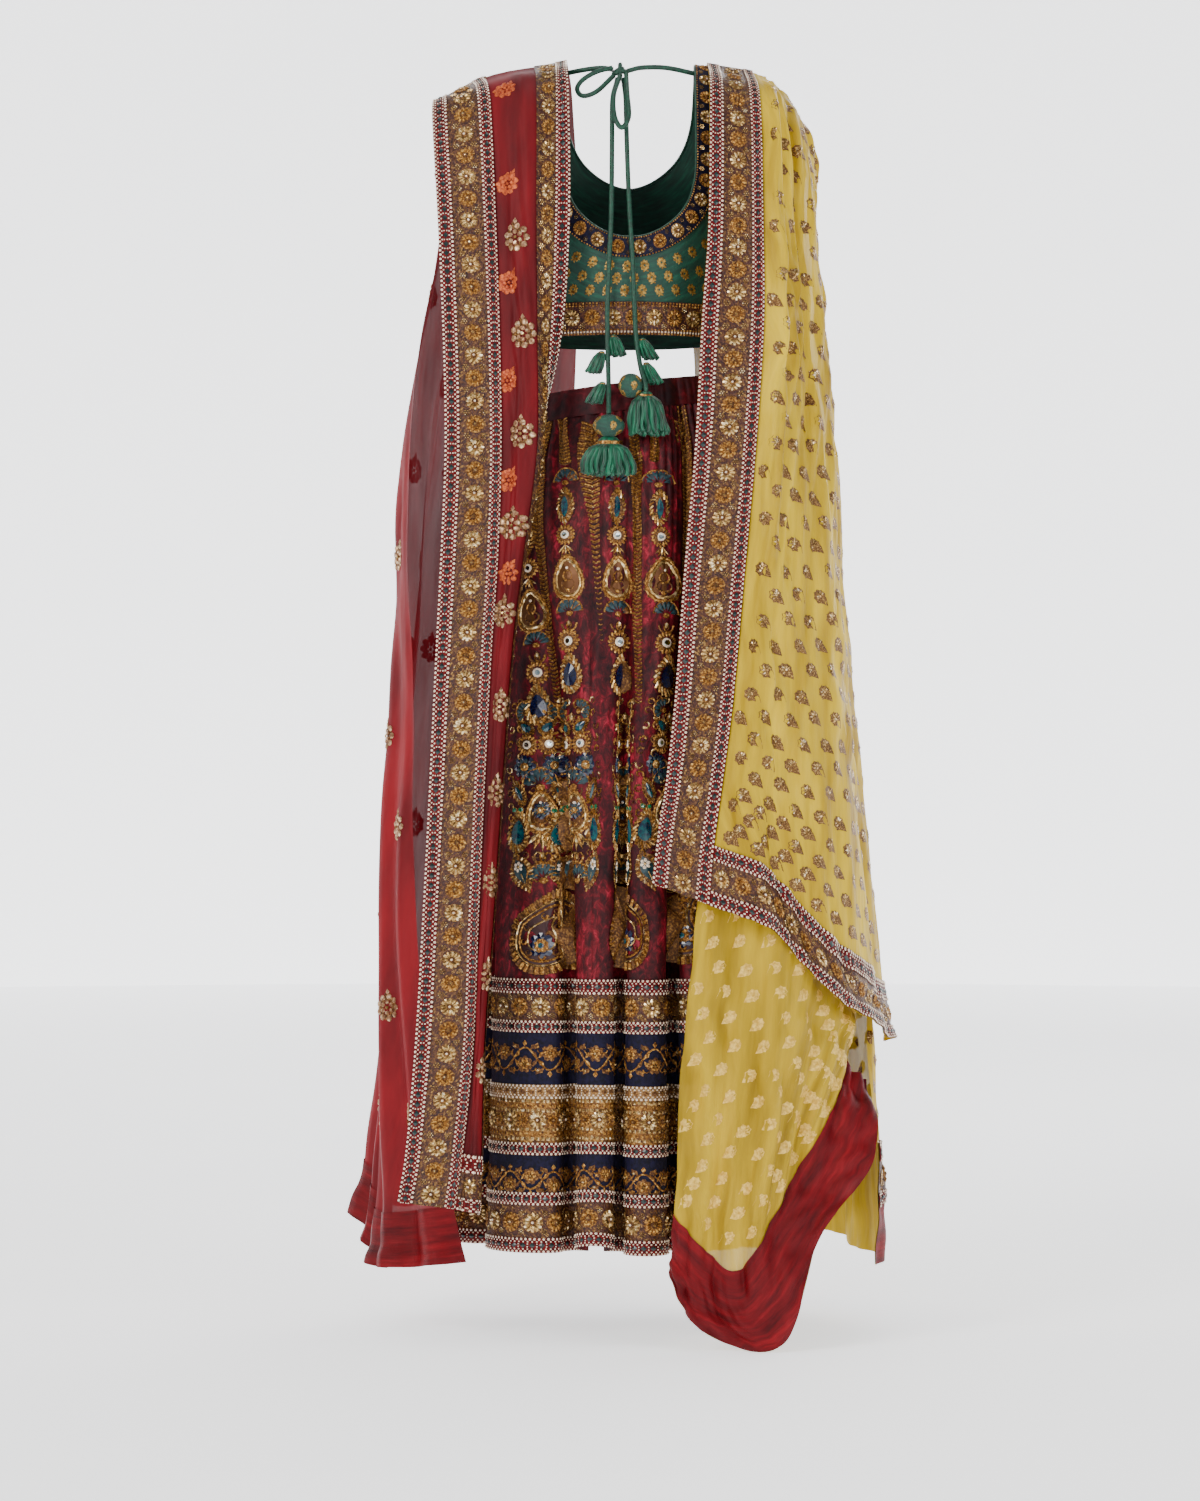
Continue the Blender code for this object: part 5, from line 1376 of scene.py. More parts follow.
def lay_trim(stitch, strip, width, share, span, gold=False):
    """Green diamonds with pearls between them, and two rows of small pearls on each side.

    share and span are parts of the strip's width.
    """
    for way in (-1, 1):
        strip.sew(stitch, pearl(0.0031), strip.spaced(0.0054), width, share + way * 0.42 * span, TRIM_LIFT)
        strip.sew(stitch, pearl(0.0022), strip.spaced(0.0054, 0.5), width, share + way * 0.25 * span,
                  TRIM_LIFT)
    strip.sew(stitch, diamond(0.0078, 0.0064, "gold_dull" if gold else "diamond"),
              strip.spaced(0.0113), width, share, TRIM_LIFT)
    for way in (-0.09, 0.09):
        strip.sew(stitch, pearl(0.0019), strip.spaced(0.0113, 0.5), width, share + way * span, TRIM_LIFT)


def sew_flowers(stitch, strip, width, share, radius, pitch, lift, margin=0.0):
    """Sequin flowers in a row, bright and dull in turn."""
    at = strip.spaced(pitch, margin=margin)
    strip.sew(stitch, sequin_flower(radius), at[0::2], width, share, lift)
    strip.sew(stitch, sequin_flower(radius, bright=False), at[1::2], width, share, lift)


def lay_flowers(stitch, strip, width, share, radius, pitch=0.0276):
    """The flower band of a border, with bead clusters in the gaps."""
    sew_flowers(stitch, strip, width, share, radius, pitch, 0.0004)
    between = strip.spaced(pitch, 0.5)
    for way in (-1, 1):
        strip.sew(stitch, bead_cluster(0.0078), between, width, share + way * radius * 0.95 / width, 0.0004)


def lay_border(stitch, strip, width):
    """The dupatta border: trim, flower band, trim."""
    lay_trim(stitch, strip, width, 0.125, 0.25)
    lay_flowers(stitch, strip, width, 0.5, 0.0102)
    lay_trim(stitch, strip, width, 0.875, 0.25)


def curl(x, y, radius, end, count, shrink=0.1, way=1, start=0.0):
    """A path that winds inward."""
    return [(x + way * radius * (1 - shrink * a) * math.cos(a + start),
             y + radius * (1 - shrink * a) * math.sin(a + start)) for a in np.linspace(0, end, count)]


def vine_unit(period, swing):
    """One wave of a winding stem: a flower in each bend, curls and leaves that fill the ground."""
    m = Motif()
    xs = np.linspace(0, period, 17)
    m.line([(x, swing * math.sin(math.tau * x / period)) for x in xs], 0.0022, 0.0008, "gold")
    for x, way in ((0.25, 1), (0.75, -1)):
        cx, cy = period * x, -way * swing * 0.50
        m.flower(cx, cy, 0.0100, 7, "gold_dull", 0.0010, None, turn=0.3, width=1.2)
        m.flower(cx, cy, 0.0064, 6, "gold", 0.0010, "sequin", base=0.0006, width=1.1)
        for dx, lean in ((-0.20, 0.5), (-0.11, 0.8), (0.11, -0.8), (0.20, -0.5)):
            m.petal(period * (x + dx), way * swing * 0.80, way * (math.pi / 2 + lean), 0, 0.0096, 0.0028,
                    0.0009, "gold_dull")
        for side in (-1, 1):
            m.line(curl(cx + side * 0.0100, cy - way * 0.0040, 0.0046, 5.4, 8, way=side), 0.0018, 0.0009,
                   "gold", taper=True)
        m.petal(cx, way * swing, way * math.pi / 2, 0.0006, 0.0080, 0.0030, 0.0009, "gold")
    for x, way in ((0.02, 1), (0.52, -1)):
        for lean in (0.9, -0.9):
            m.petal(period * x, 0, way * lean, 0.001, 0.0110, 0.0027, 0.0009, "gold")
            m.petal(period * x, 0, way * lean + math.pi, 0.001, 0.0110, 0.0027, 0.0009, "gold_dull")
        m.button(period * x, way * swing * 1.05, 0.0020, 0.001, "sequin", 5)
        m.button(period * x, -way * swing * 1.05, 0.0020, 0.001, "gold", 5)
    return m


def lay_vine(stitch, strip, width, swing, period=0.062):
    count = max(int(round(strip.length / period)), 1)
    period = strip.length / count
    strip.sew(stitch, vine_unit(period, swing), np.arange(count) * period, width, 0.5, 0.0005)


def lay_dense(stitch, strip, width, share, span):
    """Close rows of gold sequins with rosettes in them."""
    at = strip.spaced(0.036)
    strip.sew(stitch, sequin_flower(0.0105), at, width, share, 0.0010)
    strip.sew(stitch, sequin_flower(0.0070, bright=False), strip.spaced(0.036, 0.5), width, share, 0.0010)
    lanes = 9
    for k in range(lanes):
        where = share + span * ((k + 0.5) / lanes - 0.5)
        strip.sew(stitch, bead(Motif(), 0, 0, 0.0027, 0.0009, ("sequin", "gold")[k % 2]),
                  strip.spaced(0.0062, 0.5 * (k % 2)), width, where, 0.0004)


def leaf_buti(length, look_name, spark):
    """A rounded leaf of small scallops that ends in a short curled tail."""
    m = Motif()
    outline = []
    for k in range(15):
        t = k / 14
        scallop = 1 + 0.09 * math.cos(k * math.pi)
        turn = math.pi * (0.16 + 1.68 * t)
        reach = (0.30 + 0.05 * math.sin(turn)) * scallop
        outline.append((-0.10 - reach * 1.15 * math.cos(turn + math.pi), reach * math.sin(turn)))
    outline.append((0.50, 0.05))
    m.plate([(x * length, y * length) for x, y in outline], look_name, 0.0006)
    for k in range(5):
        turn = math.pi * (0.5 + 0.25 * k)
        m.petal(-0.10 * length, 0, turn, 0.03 * length, 0.24 * length, 0.055 * length, 0.0004, spark,
                base=0.0004)
    heart = "sequin" if spark != look_name else spark
    m.button(-0.10 * length, 0, length * 0.07, 0.0007, heart, 6, base=0.0005)
    return m


def net_buti(size, petals_look="rose_gold", heart_look="gold_dull", spark="sequin"):
    """A flower of round sequins in two rings, with a pointed bud at one end."""
    m = Motif()
    m.flower(0, 0, size * 0.42, 8, heart_look, 0.0008, None, heart=0.45, width=1.3)
    for k in range(9):
        t = math.tau * k / 9
        m.button(size * 0.37 * math.cos(t), size * 0.37 * math.sin(t), size * 0.105, 0.0012,
               petals_look, 7, base=0.0003)
    for k in range(6):
        t = math.tau * (k + 0.5) / 6
        m.button(size * 0.18 * math.cos(t), size * 0.18 * math.sin(t), size * 0.085, 0.0016,
               petals_look, 6, base=0.0005)
    m.button(0, 0, size * 0.07, 0.0020, spark, 6, base=0.0008)
    m.petal(0, -size * 0.40, -math.pi / 2, 0, size * 0.24, size * 0.07, 0.0012, petals_look)
    for way in (-1, 1):
        m.petal(0, -size * 0.36, -math.pi / 2 + way * 0.7, 0, size * 0.18, size * 0.05, 0.0010, heart_look)
    return m


def brocade_buti():
    """A small woven sprig: a full round flower with scalloped edges and two leaves under it."""
    m = Motif()
    m.dome(0, 0, 0.0036, 0.0044, 0.0003, "brocade_gold", 10, flat=0.9)
    for k in range(8):
        t = math.tau * k / 8
        bead(m, 0.0036 * math.cos(t), 0.0044 * math.sin(t), 0.0019, 0.0004, "brocade_gold")
    bead(m, 0, 0, 0.0014, 0.0002, "brocade", 0.0003)
    for way in (-1, 1):
        m.petal(0, 0.0048, math.pi / 2 + way * 0.9, 0, 0.0036, 0.0010, 0.0003, "brocade_gold")
    return m


def teal_fan(size):
    """A fan of stitched tiles in a gold frame, over a small knob."""
    m = Motif()
    for k in range(6):
        turn = -math.pi / 2 + (k - 2.5) * 0.48
        m.petal(0, size * 0.35, turn, size * 0.30, size * 0.66, size * 0.17, 0.0012, "teal", base=0.0003,
                tip=size * 0.15)
    arc = [(size * 1.02 * math.sin(a), size * 0.35 - size * 1.02 * math.cos(a))
           for a in np.linspace(-1.5, 1.5, 11)]
    m.line(arc, size * 0.13, 0.0012, "gold")
    m.plate([(size * 0.98 * math.sin(a), size * 0.35 - size * 0.98 * math.cos(a))
             for a in np.linspace(-1.5, 1.5, 9)], "gold_dull", 0.0001)
    m.dome(0, size * 0.38, size * 0.26, size * 0.20, 0.0018, "gold", 8)
    return m


def stone_drop(length, width, stone, slim=False):
    """A stone in a pointed frame of slanted gold stitches."""
    m = Motif()

    def edge(scale, count=16):
        points = []
        for k in range(count):
            t = math.tau * k / count
            y = -math.cos(t)
            wide = math.sin(t) * (1 if slim else 1 + 0.32 * y) * abs(math.sin(t)) ** (0.5 if slim else 0.1)
            points.append((0.5 * width * wide * scale, 0.5 * length * y * scale))
        return points

    m.plate(edge(0.98), "gold_dull", 0.0012)
    outer = edge(1.0, 22)
    inner = edge(0.66, 22)
    for k in range(22):
        a, b = outer[k], inner[(k + 1) % 22]
        m.line([a, ((a[0] + b[0]) / 2, (a[1] + b[1]) / 2), b], width * 0.105, 0.0014,
               "gold" if k % 2 else "sequin", base=0.0003)
    size = 0.34 if slim else 0.56
    m.plate([(x * size, y * 0.56 + 0.02 * length) for x, y in edge(1.0, 12)], stone, 0.0016, 0.0012)
    return m


def mirror_flower(size):
    """A round mirror in a white rim with a ring of gold stitches."""
    m = Motif()
    m.button(0, 0, size * 0.50, 0.0008, "gold_dull", 12, flat=0.9)
    m.flower(0, 0, size * 0.56, 16, "gold", 0.0014, None, heart=0.6, width=1.1, base=0.0004)
    m.button(0, 0, size * 0.225, 0.0012, "pearl", 10, base=0.0010, flat=0.85)
    m.button(0, 0, size * 0.13, 0.0004, "mirror", 8, base=0.0023, flat=0.9)
    return m


def navy_flower(size):
    m = Motif()
    m.flower(0, 0, size * 0.5, 8, "stone_blue", 0.0010, None, heart=0.4, width=1.25, base=0.0003)
    m.flower(0, 0, size * 0.36, 8, "teal", 0.0010, None, heart=0.4, width=0.8, base=0.0008,
             turn=math.pi / 8)
    m.button(0, 0, size * 0.20, 0.0016, "gold", 8, base=0.0008)
    m.button(0, 0, size * 0.09, 0.0008, "sequin", 6, base=0.0024)
    return m


def small_bell(size):
    m = Motif()
    for k in range(5):
        turn = math.pi / 2 + (k - 2) * 0.42
        m.petal(0, -size * 0.45, turn, 0, size * 0.95, size * 0.10, 0.0012, "gold" if k % 2 else "sequin")
    return m


def lattice_pear(length, width):
    """An open pear of gold cord with curled stems inside it."""
    m = Motif()
    outline = []
    for k in range(18):
        t = math.tau * k / 18
        y = -math.cos(t)
        outline.append((0.5 * width * math.sin(t) * (1 + 0.35 * y), 0.5 * length * y))
    m.plate([(x * 0.98, y * 0.98) for x, y in outline], "gold_ground", 0.0004, 0.0001)
    for k in range(18):
        x, y = outline[k]
        bead(m, x * 1.10, y * 1.08, width * 0.06, 0.0012, "gold_dull")
    for scale, look_name in ((1.0, "gold"), (0.84, "sequin")):
        ring = [(x * scale, y * scale) for x, y in outline]
        m.line(ring + ring[:2], width * 0.12, 0.0016, look_name)
    for way in (-1, 1):
        for top, reach in ((0.16, 0.24), (-0.04, 0.15)):
            path = [(way * width * reach * math.sin(a), length * (top + 0.12 * math.cos(a)))
                    for a in np.linspace(0.2, 4.0, 9)]
            m.line(path, width * 0.085, 0.0014, "gold_dull" if top > 0 else "gold", taper=True)
    m.button(0, -length * 0.22, width * 0.06, 0.0014, "pearl", 6)
    m.button(0, length * 0.30, width * 0.09, 0.0014, "gold", 6)
    return m


def scroll_pair(size):
    m = Motif()
    for way in (-1, 1):
        path = []
        for k in range(12):
            t = k / 11
            turn = t * 4.6
            reach = size * (0.52 - 0.40 * t)
            path.append((way * (size * 0.05 + reach * 0.62 * math.cos(turn)), reach * 0.8 * math.sin(turn)))
        m.line(path, size * 0.12, 0.0014, "gold" if way > 0 else "gold_dull", taper=True)
    m.dome(0, 0, size * 0.10, size * 0.16, 0.0016, "sequin", 6)
    return m


def small_ovals(size):
    m = Motif()
    for way in (-1, 1):
        m.dome(way * 0.27 * size, 0, size * 0.27, size * 0.25, 0.0010, "gold", 8)
        m.dome(way * 0.27 * size, 0, size * 0.20, size * 0.18, 0.0012, "stone_green", 8, base=0.0008)
    return m


def white_leaf(size):
    """A curved leaf of ribbed stitches with a small white flower."""
    m = Motif()
    outline = [(0.36 * size * math.sin(math.pi * t) * (1 - 0.35 * t), (t - 0.5) * size)
               for t in np.linspace(0, 1, 12)]
    outline += [(-x, y) for x, y in outline[-2:0:-1]]
    m.plate(outline, "gold_dull", 0.0012)
    for k in range(len(outline)):
        x, y = outline[k]
        m.line([(x, y), (x * 0.85, y * 0.94), (x * 0.66, y * 0.85)], size * 0.05, 0.0012,
               "gold" if k % 2 else "sequin", base=0.0003)
    m.plate([(x * 0.52, y * 0.62 - 0.04 * size) for x, y in outline], "teal", 0.0010, 0.0012)
    m.flower(0, -size * 0.16, size * 0.12, 6, "pearl", 0.0010, "sequin", base=0.0018)
    m.line([(0, size * 0.02), (0, size * 0.14), (0, size * 0.26)], size * 0.04, 0.0010, "sequin", base=0.0018,
           taper=True)
    return m


def paisley(length, width, mirror=False):
    """A large paisley: a ribbed gold frame, scrolls and a small flower in it, and a fan on top."""
    m = Motif()

    def edge(scale, count=30):
        points = []
        for k in range(count):
            t = math.tau * k / count
            y = -math.cos(t)
            lean = 0.0
            wide = math.sin(t) * (1 + 0.34 * y) * 0.5
            if y < -0.3:
                lean = 0.30 * ((-0.3 - y) / 0.7) ** 1.6
                wide *= 1 - 0.35 * ((-0.3 - y) / 0.7)
            points.append(((wide * scale + lean * (0.5 + 0.5 * scale)) * width,
                           (0.5 * y * scale + 0.05 * (1 - scale)) * length))
        return points

    m.plate(edge(1.0), "gold_dull", 0.0002, 0.0003)
    m.plate(edge(0.80), "hem_ground", 0.0003, 0.0007)
    outer, inner = edge(1.0, 44), edge(0.80, 44)
    for k in range(44):
        a, b = outer[k], inner[k]
        m.line([a, ((a[0] + b[0]) / 2, (a[1] + b[1]) / 2), b], width * 0.066, 0.0022,
               "gold" if k % 3 else "gold_dull", base=0.0003)
    for scale, look_name, wide in ((0.77, "sequin", 0.030), (0.66, "gold", 0.034), (0.40, "sequin", 0.030)):
        ring = edge(scale)
        m.line(ring + ring[:2], width * wide, 0.0014, look_name, base=0.0010)
    for k in range(10):
        x, y = edge(0.53, 10)[k]
        m.line(curl(x, y, width * 0.055, 5.2, 7), width * 0.042, 0.0012, "gold" if k % 2 else "gold_dull",
               base=0.0010, taper=True)
    m.flower(0, length * 0.16, width * 0.19, 8, "stone_blue", 0.0012, None, heart=0.3, width=1.2, base=0.0010)
    m.button(0, length * 0.16, width * 0.11, 0.0014, "gold", 8, base=0.0014)
    m.button(0, length * 0.16, width * 0.045, 0.0008, "stone_teal", 6, base=0.0030)
    if mirror:
        m.points = [(-x, y, h) for x, y, h in m.points]
    return m


def herringbone(width, pitch):
    """Slanted stitches on each side of a middle line, pointing down."""
    m = Motif()
    for way in (-1, 1):
        for k, look_name in enumerate(("gold", "gold_dull")):
            y = -pitch * 0.25 + k * pitch * 0.5
            m.line([(way * width * 0.46, y - pitch * 0.75), (way * width * 0.25, y - pitch * 0.35), (0, y)],
                   pitch * 0.52, 0.0013, look_name)
    m.button(0, 0, width * 0.045, 0.0014, "sequin", 5)
    return m


# ---------------------------------------------------------------- places on the back view

TURNED_AWAY = 0.35      # a cloth whose normal has this much +Y isn't seen from behind
BACK_HALF = 0.03        # and neither is cloth past this depth
OUT_OF_SIGHT = 1e6


def seen_place(cloth, px, py):
    """The grid place of a cloth that the camera sees at a pixel of the 1200 by 1501 frame."""
    points = cloth.points
    seen = (cloth.normals[..., 1] < TURNED_AWAY) & (points[..., 1] < BACK_HALF)
    ratio = CAMERA_DISTANCE / (points[..., 1] - FOCUS_Y + CAMERA_DISTANCE) / PIXEL
    x = FRAME_MIDDLE[0] + (points[..., 0] - CAMERA_X) * ratio
    y = FRAME_MIDDLE[1] - (points[..., 2] - CAMERA_Z) * ratio
    far = (x - px) ** 2 + (y - py) ** 2 + np.where(seen, 0, OUT_OF_SIGHT)
    r, c = np.unravel_index(int(np.argmin(far)), far.shape)
    return float(r), float(c)


class Path:
    """A line on a cloth through grid places, read by its running length."""

    def __init__(self, cloth, places, samples=400):
        places = np.array(places, dtype=float)
        at = np.linspace(0, len(places) - 1, samples)
        weights = curve_weights(len(places), at)
        self.r = weights @ places[:, 0]
        self.c = weights @ places[:, 1]
        self.arc = running_length(cloth.at(self.r, self.c))
        self.length = self.arc[-1]

    def at(self, distance):
        return np.interp(distance, self.arc, self.r), np.interp(distance, self.arc, self.c)


# ---------------------------------------------------------------- cords, knot, balls and tassels

def cord_points(points, steps):
    last = len(points) - 1
    return [Vector([curve([p[axis] for p in points], k / steps) for axis in range(3)])
            for k in range(last * steps + 1)]


def tube(path, radius, sides):
    """A closed tube's points and faces round a path."""
    path = np.array([tuple(p) for p in path], dtype=float)
    count = len(path)
    way = unit(np.gradient(path, axis=0))
    up = np.array([0.3, -0.9, 0.1])
    side = unit(np.cross(way[0], up))
    points = []
    radius = np.broadcast_to(np.asarray(radius, dtype=float), (count,))
    for k in range(count):
        side = unit(side - way[k] * np.dot(side, way[k]))
        other = np.cross(way[k], side)
        for j in range(sides):
            t = math.tau * j / sides
            points.append(path[k] + (side * math.cos(t) + other * math.sin(t)) * radius[k])
    faces = []
    for k in range(count - 1):
        for j in range(sides):
            n = (j + 1) % sides
            faces.append([k * sides + j, k * sides + n, (k + 1) * sides + n, (k + 1) * sides + j])
    first = list(range(sides))[::-1]
    last = [(count - 1) * sides + j for j in range(sides)]
    return points, faces, [first, last]


def add_tube(motif, path, radius, look_name, sides=8):
    points, faces, ends = tube(path, radius, sides)
    motif.add(points, faces + ends, look_name)


def solid_object(name, motif, nodes=()):
    """A motif whose points are already places in space."""
    mesh = bpy.data.meshes.new(name)
    mesh.from_pydata([tuple(p) for p in motif.points], [], motif.faces)
    names = []
    for look_name in motif.looks:
        if look_name not in names:
            names.append(look_name)
    for look_name in names:
        mesh.materials.append(LOOKS[look_name])
    which = np.array([names.index(k) for k in motif.looks], dtype=np.int32)
    mesh.polygons.foreach_set("material_index", which)
    mesh.polygons.foreach_set("use_smooth", np.full(len(motif.faces), True))
    mesh.update(calc_edges=True)
    return own(link(bpy.data.objects.new(name, mesh)), nodes)


def cord_object(cord):
    places = cord_points(cord.points, 6)
    data = bpy.data.curves.new(cord.name, "CURVE")
    data.dimensions = "3D"
    data.bevel_depth = CORD_RADIUS
    data.bevel_resolution = 3
    data.use_fill_caps = True
    spline = data.splines.new("POLY")
    spline.points.add(len(places) - 1)
    for point, place in zip(spline.points, places):
        point.co = (place.x, place.y, place.z, 1.0)
    data.materials.append(LOOKS["cord_green"])
    obj = link(bpy.data.objects.new("cord_" + cord.name, data))
    length = sum((b - a).length for a, b in zip(places[:-1], places[1:]))
    return own(obj, (cord.name,)), places, length


def ball_surface(ball):
    rows, columns = 25, 40
    grid = []
    for r in range(rows):
        t = math.pi * (r + 0.02) / (rows - 0.96)
        ring = []
        for c in range(columns):
            a = math.tau * c / columns
            ripple = 1 + 0.02 * math.sin(8 * a) * math.sin(t) ** 2
            ring.append((ball.x + ball.half_width * math.sin(t) * math.sin(a) * ripple,
                         ball.y - ball.half_depth * math.sin(t) * math.cos(a) * ripple,
                         ball.z + ball.half_height * math.cos(t)))
        grid.append(ring)
    return Cloth(np.array(grid), (ball.x, ball.y), closed=True)


STRANDS = {"tassel_left": 52, "tassel_right": 46, "net_tassel": 14}
SMALL_STRANDS = 18
GOLDEN_ANGLE = 2.399963     # turns each strand on from the last, so that they fill the head evenly
LARGE_TASSEL = 0.03         # longer than this, the strands curl outward
# How wide a tassel's head is at each step down it, as shares of its size.
HEAD_PROFILE = ((0.35, 0.00), (0.75, 0.16), (1.0, 0.45), (1.02, 0.75), (0.94, 1.00), (0.80, 1.12))


def tassel_object(tassel):
    """A bound head with strands that grow out of it and fall a little apart."""
    rng = np.random.default_rng(len(tassel.name) * 31 + int(abs(tassel.x) * 1e5) % 97)
    strands = STRANDS.get(tassel.name, SMALL_STRANDS)
    net = tassel.name.startswith("net")
    floss = "floss_maroon" if net else "floss"
    m = Motif()
    flat = max(tassel.spread_y / tassel.spread_x, 0.5)
    sides = 14
    for size, drop in HEAD_PROFILE:
        for j in range(sides):
            t = math.tau * j / sides
            m.points.append((tassel.x + tassel.head * size * math.cos(t),
                             tassel.y + tassel.head * size * math.sin(t) * flat,
                             tassel.z - tassel.head * drop))
    for k in range(len(HEAD_PROFILE) - 1):
        for j in range(sides):
            n = (j + 1) % sides
            m.faces.append([k * sides + j, (k + 1) * sides + j, (k + 1) * sides + n, k * sides + n])
            m.looks.append(floss if k != 2 else "gold")
    m.faces.append(list(range(sides)))
    m.looks.append(floss)
    m.faces.append([(len(HEAD_PROFILE) - 1) * sides + j for j in range(sides)][::-1])
    m.looks.append(floss)
    top = tassel.z - tassel.head
    big = tassel.length > LARGE_TASSEL
    steps = 9 if big else 5
    thick = 0.0042 if big else 0.0024
    for k in range(strands):
        share = math.sqrt((k + 0.5) / strands)
        turn = k * GOLDEN_ANGLE
        ux = share * math.cos(turn)
        uy = share * math.sin(turn)
        path = []
        bend = rng.uniform(-0.12, 0.12)
        reach = rng.uniform(0.86, 1.0)
        phase = rng.uniform(0, math.tau)
        for q in np.linspace(0, 1, steps):
            wide = 1.0 if big or net else 1.5
            out = q ** (0.45 if big else 0.6)
            rx = tassel.head * 0.8 * (1 - q) + tassel.spread_x * wide * out
            ry = tassel.head * 0.8 * flat * (1 - q) + tassel.spread_y * wide * out
            wave = (0.0022 if big else 0.0006) * math.sin(phase + 8.0 * q) * q
            path.append((tassel.x + ux * rx + tassel.lean_x * q + bend * tassel.spread_x * q * (1 - q) + wave,
                         tassel.y + uy * ry,
                         top - tassel.length * reach * (q - (0.10 * q ** 6 if big else 0)) + 0.0006))
        add_tube(m, path, np.linspace(thick, thick * 0.75, steps), floss, sides=4)
    return solid_object("floss_" + tassel.name, m, (tassel.name,))


def knot_object():
    """The bow's knot: three wraps of the same cord, drawn tight."""
    ball = BALLS[0]
    m = Motif()
    for k, (tilt, shift) in enumerate(((0.5, -0.0022), (-0.35, 0.0018), (1.5, 0.0))):
        path = []
        for q in range(25):
            t = math.tau * q / 24
            a = 0.0062 * math.cos(t)
            b = 0.0048 * math.sin(t)
            x = a * math.cos(tilt) + shift
            z = a * math.sin(tilt) + 0.0022 * math.sin(t + k)
            path.append((ball.x + x, ball.y + b * 0.9, ball.z + z))
        add_tube(m, path, 0.0027, "cord_green", sides=8)
    return solid_object("knot_wraps", m, ("dori_knot",))


# ---------------------------------------------------------------- build

def build_cords():
    lines = {}
    for cord in CORDS:
        lines[cord.name] = cord_object(cord)
    return lines


def merged_cloth(name, cloths, look_name, nodes=()):
    """Several stretches of cloth sewn into one piece."""
    made = [sheer_object(name + "_%d" % k, cloth, look_name) for k, cloth in enumerate(cloths)]
    work = bmesh.new()
    for obj in made:
        work.from_mesh(obj.data)
    bmesh.ops.remove_doubles(work, verts=work.verts, dist=WELD)
    mesh = bpy.data.meshes.new(name)
    work.to_mesh(mesh)
    work.free()
    mesh.materials.append(LOOKS[look_name])
    mesh.polygons.foreach_set("use_smooth", np.full(len(mesh.polygons), True))
    for obj in made:
        bpy.data.objects.remove(obj, do_unlink=True)
    return own(link(bpy.data.objects.new(name, mesh)), nodes)


WELD = 0.00002
SHEETS = []             # object, its cloths, how it is held, what it rests on
CLOTH_LIFT = 0.0006     # how far a cloth stands off its solid
FACING_LIFT = 0.0014    # a band or a facing off the cloth that it is sewn to
BORDER_LIFT = 0.0016
HEM_BAND_LIFT = 0.0018
BAND_THICK = 0.0008
NECK_ROWS = 11          # the first rows of a blouse side's grid are its neck band
CUFF_ROW = 20           # the sleeve band starts at this row of the sleeve's grid
CUP_DART = ((0.070, -0.195), (0.060, -0.287))


def cut_size(cloth):
    """The width and length of the piece of cloth, measured along its grid, and its area."""
    rows, columns = cloth.size()
    width = max(float(cloth.arc_across(r)[-1]) for r in range(0, rows, max(rows // 12, 1)))
    length = max(float(cloth.arc_down(c)[-1]) for c in range(0, columns, max(columns // 12, 1)))
    return width, length, cloth.area()


def declare_sheets(entries):
    for obj, cloths, held, rests_on in entries:
        sizes = [cut_size(cloth) for cloth in cloths]


def build_blouse_side(part, edges, side, butis, bead_work, piping):
    """The back or the front: its cloth, neck band and hem band with their embroidery, and its piping."""
    body = Cloth(blouse_surface(edges, side), (BODY_X, 0.0)).moved(CLOTH_LIFT)
    strip = Cloth(hem_surface(edges, side), (BODY_X, 0.0)).moved(CLOTH_LIFT)
    neck = body.part(slice(0, NECK_ROWS), slice(None)).moved(FACING_LIFT)
    hem = strip.moved(FACING_LIFT)
    choli = merged_cloth("cloth_choli_" + part, [body, strip], "brocade", ("choli_" + part,))
    SHEETS.append((choli, (body, strip), "hung", ()))
    for name, cloth, look_name in (("neck_band_", neck, "navy"), ("hem_band_", hem, "hem_ground")):
        band = cloth_object("cloth_" + name + part, cloth, look_name, (name + part,),
                            thick=BAND_THICK)
        SHEETS.append((band, (cloth,), "hung", (choli,)))
    panel = body.part(slice(NECK_ROWS - 1, None), slice(None))
    rs, cs = staggered(panel, 0.0210, 0.0145, inset=0.004, top=0.003, bottom=0.002)
    butis.lay(panel, brocade_buti(), rs, cs, scale=1.12, lift=0.0003)

    run = whole_strip(neck)
    sew_flowers(bead_work, run, 0.024, 0.5, 0.0082, 0.026, 0.0006, margin=0.006)
    for way in (-1, 1):
        run.sew(bead_work, bead_cluster(0.0058), run.spaced(0.026, 0.5, margin=0.006)[:-1], 0.024,
                0.5 + way * 0.26, 0.0006)
    for share in (0.045, 0.955):
        run.sew(bead_work, pearl(0.0022, "gold"), run.spaced(0.0034), 0.024, share, 0.0005)
    run = whole_strip(hem)
    sew_flowers(bead_work, run, 0.040, 0.47, 0.0098, 0.026, 0.0006)
    for way in (-1, 1):
        run.sew(bead_work, bead_cluster(0.0078), run.spaced(0.026, 0.5)[:-1], 0.040, 0.47 + way * 0.25,
                0.0006)
    for share in (0.05, 0.12, 0.84, 0.90, 0.96):
        run.sew(bead_work, pearl(0.0028, "gold" if share != 0.90 else "pearl"), run.spaced(0.0042), 0.040,
                share, 0.0006)
    add_tube(piping, [tuple(p) for p in body.points[0]], 0.0017, "cord_green", sides=6)
    return body


def build_cup_darts(front):
    seams = Stitching()
    for way in (-1, 1):
        path = Path(front, [seen_front(front, BODY_X + way * x, z) for x, z in CUP_DART])
        seams.lay(front, Motif().line([(0, -0.0012), (0, 0.0012)], 0.0007, 0.0003, "cord_green"),
                  *path.at(np.arange(0.002, path.length, 0.0030)))
    seams.build("stitching_cup_darts")


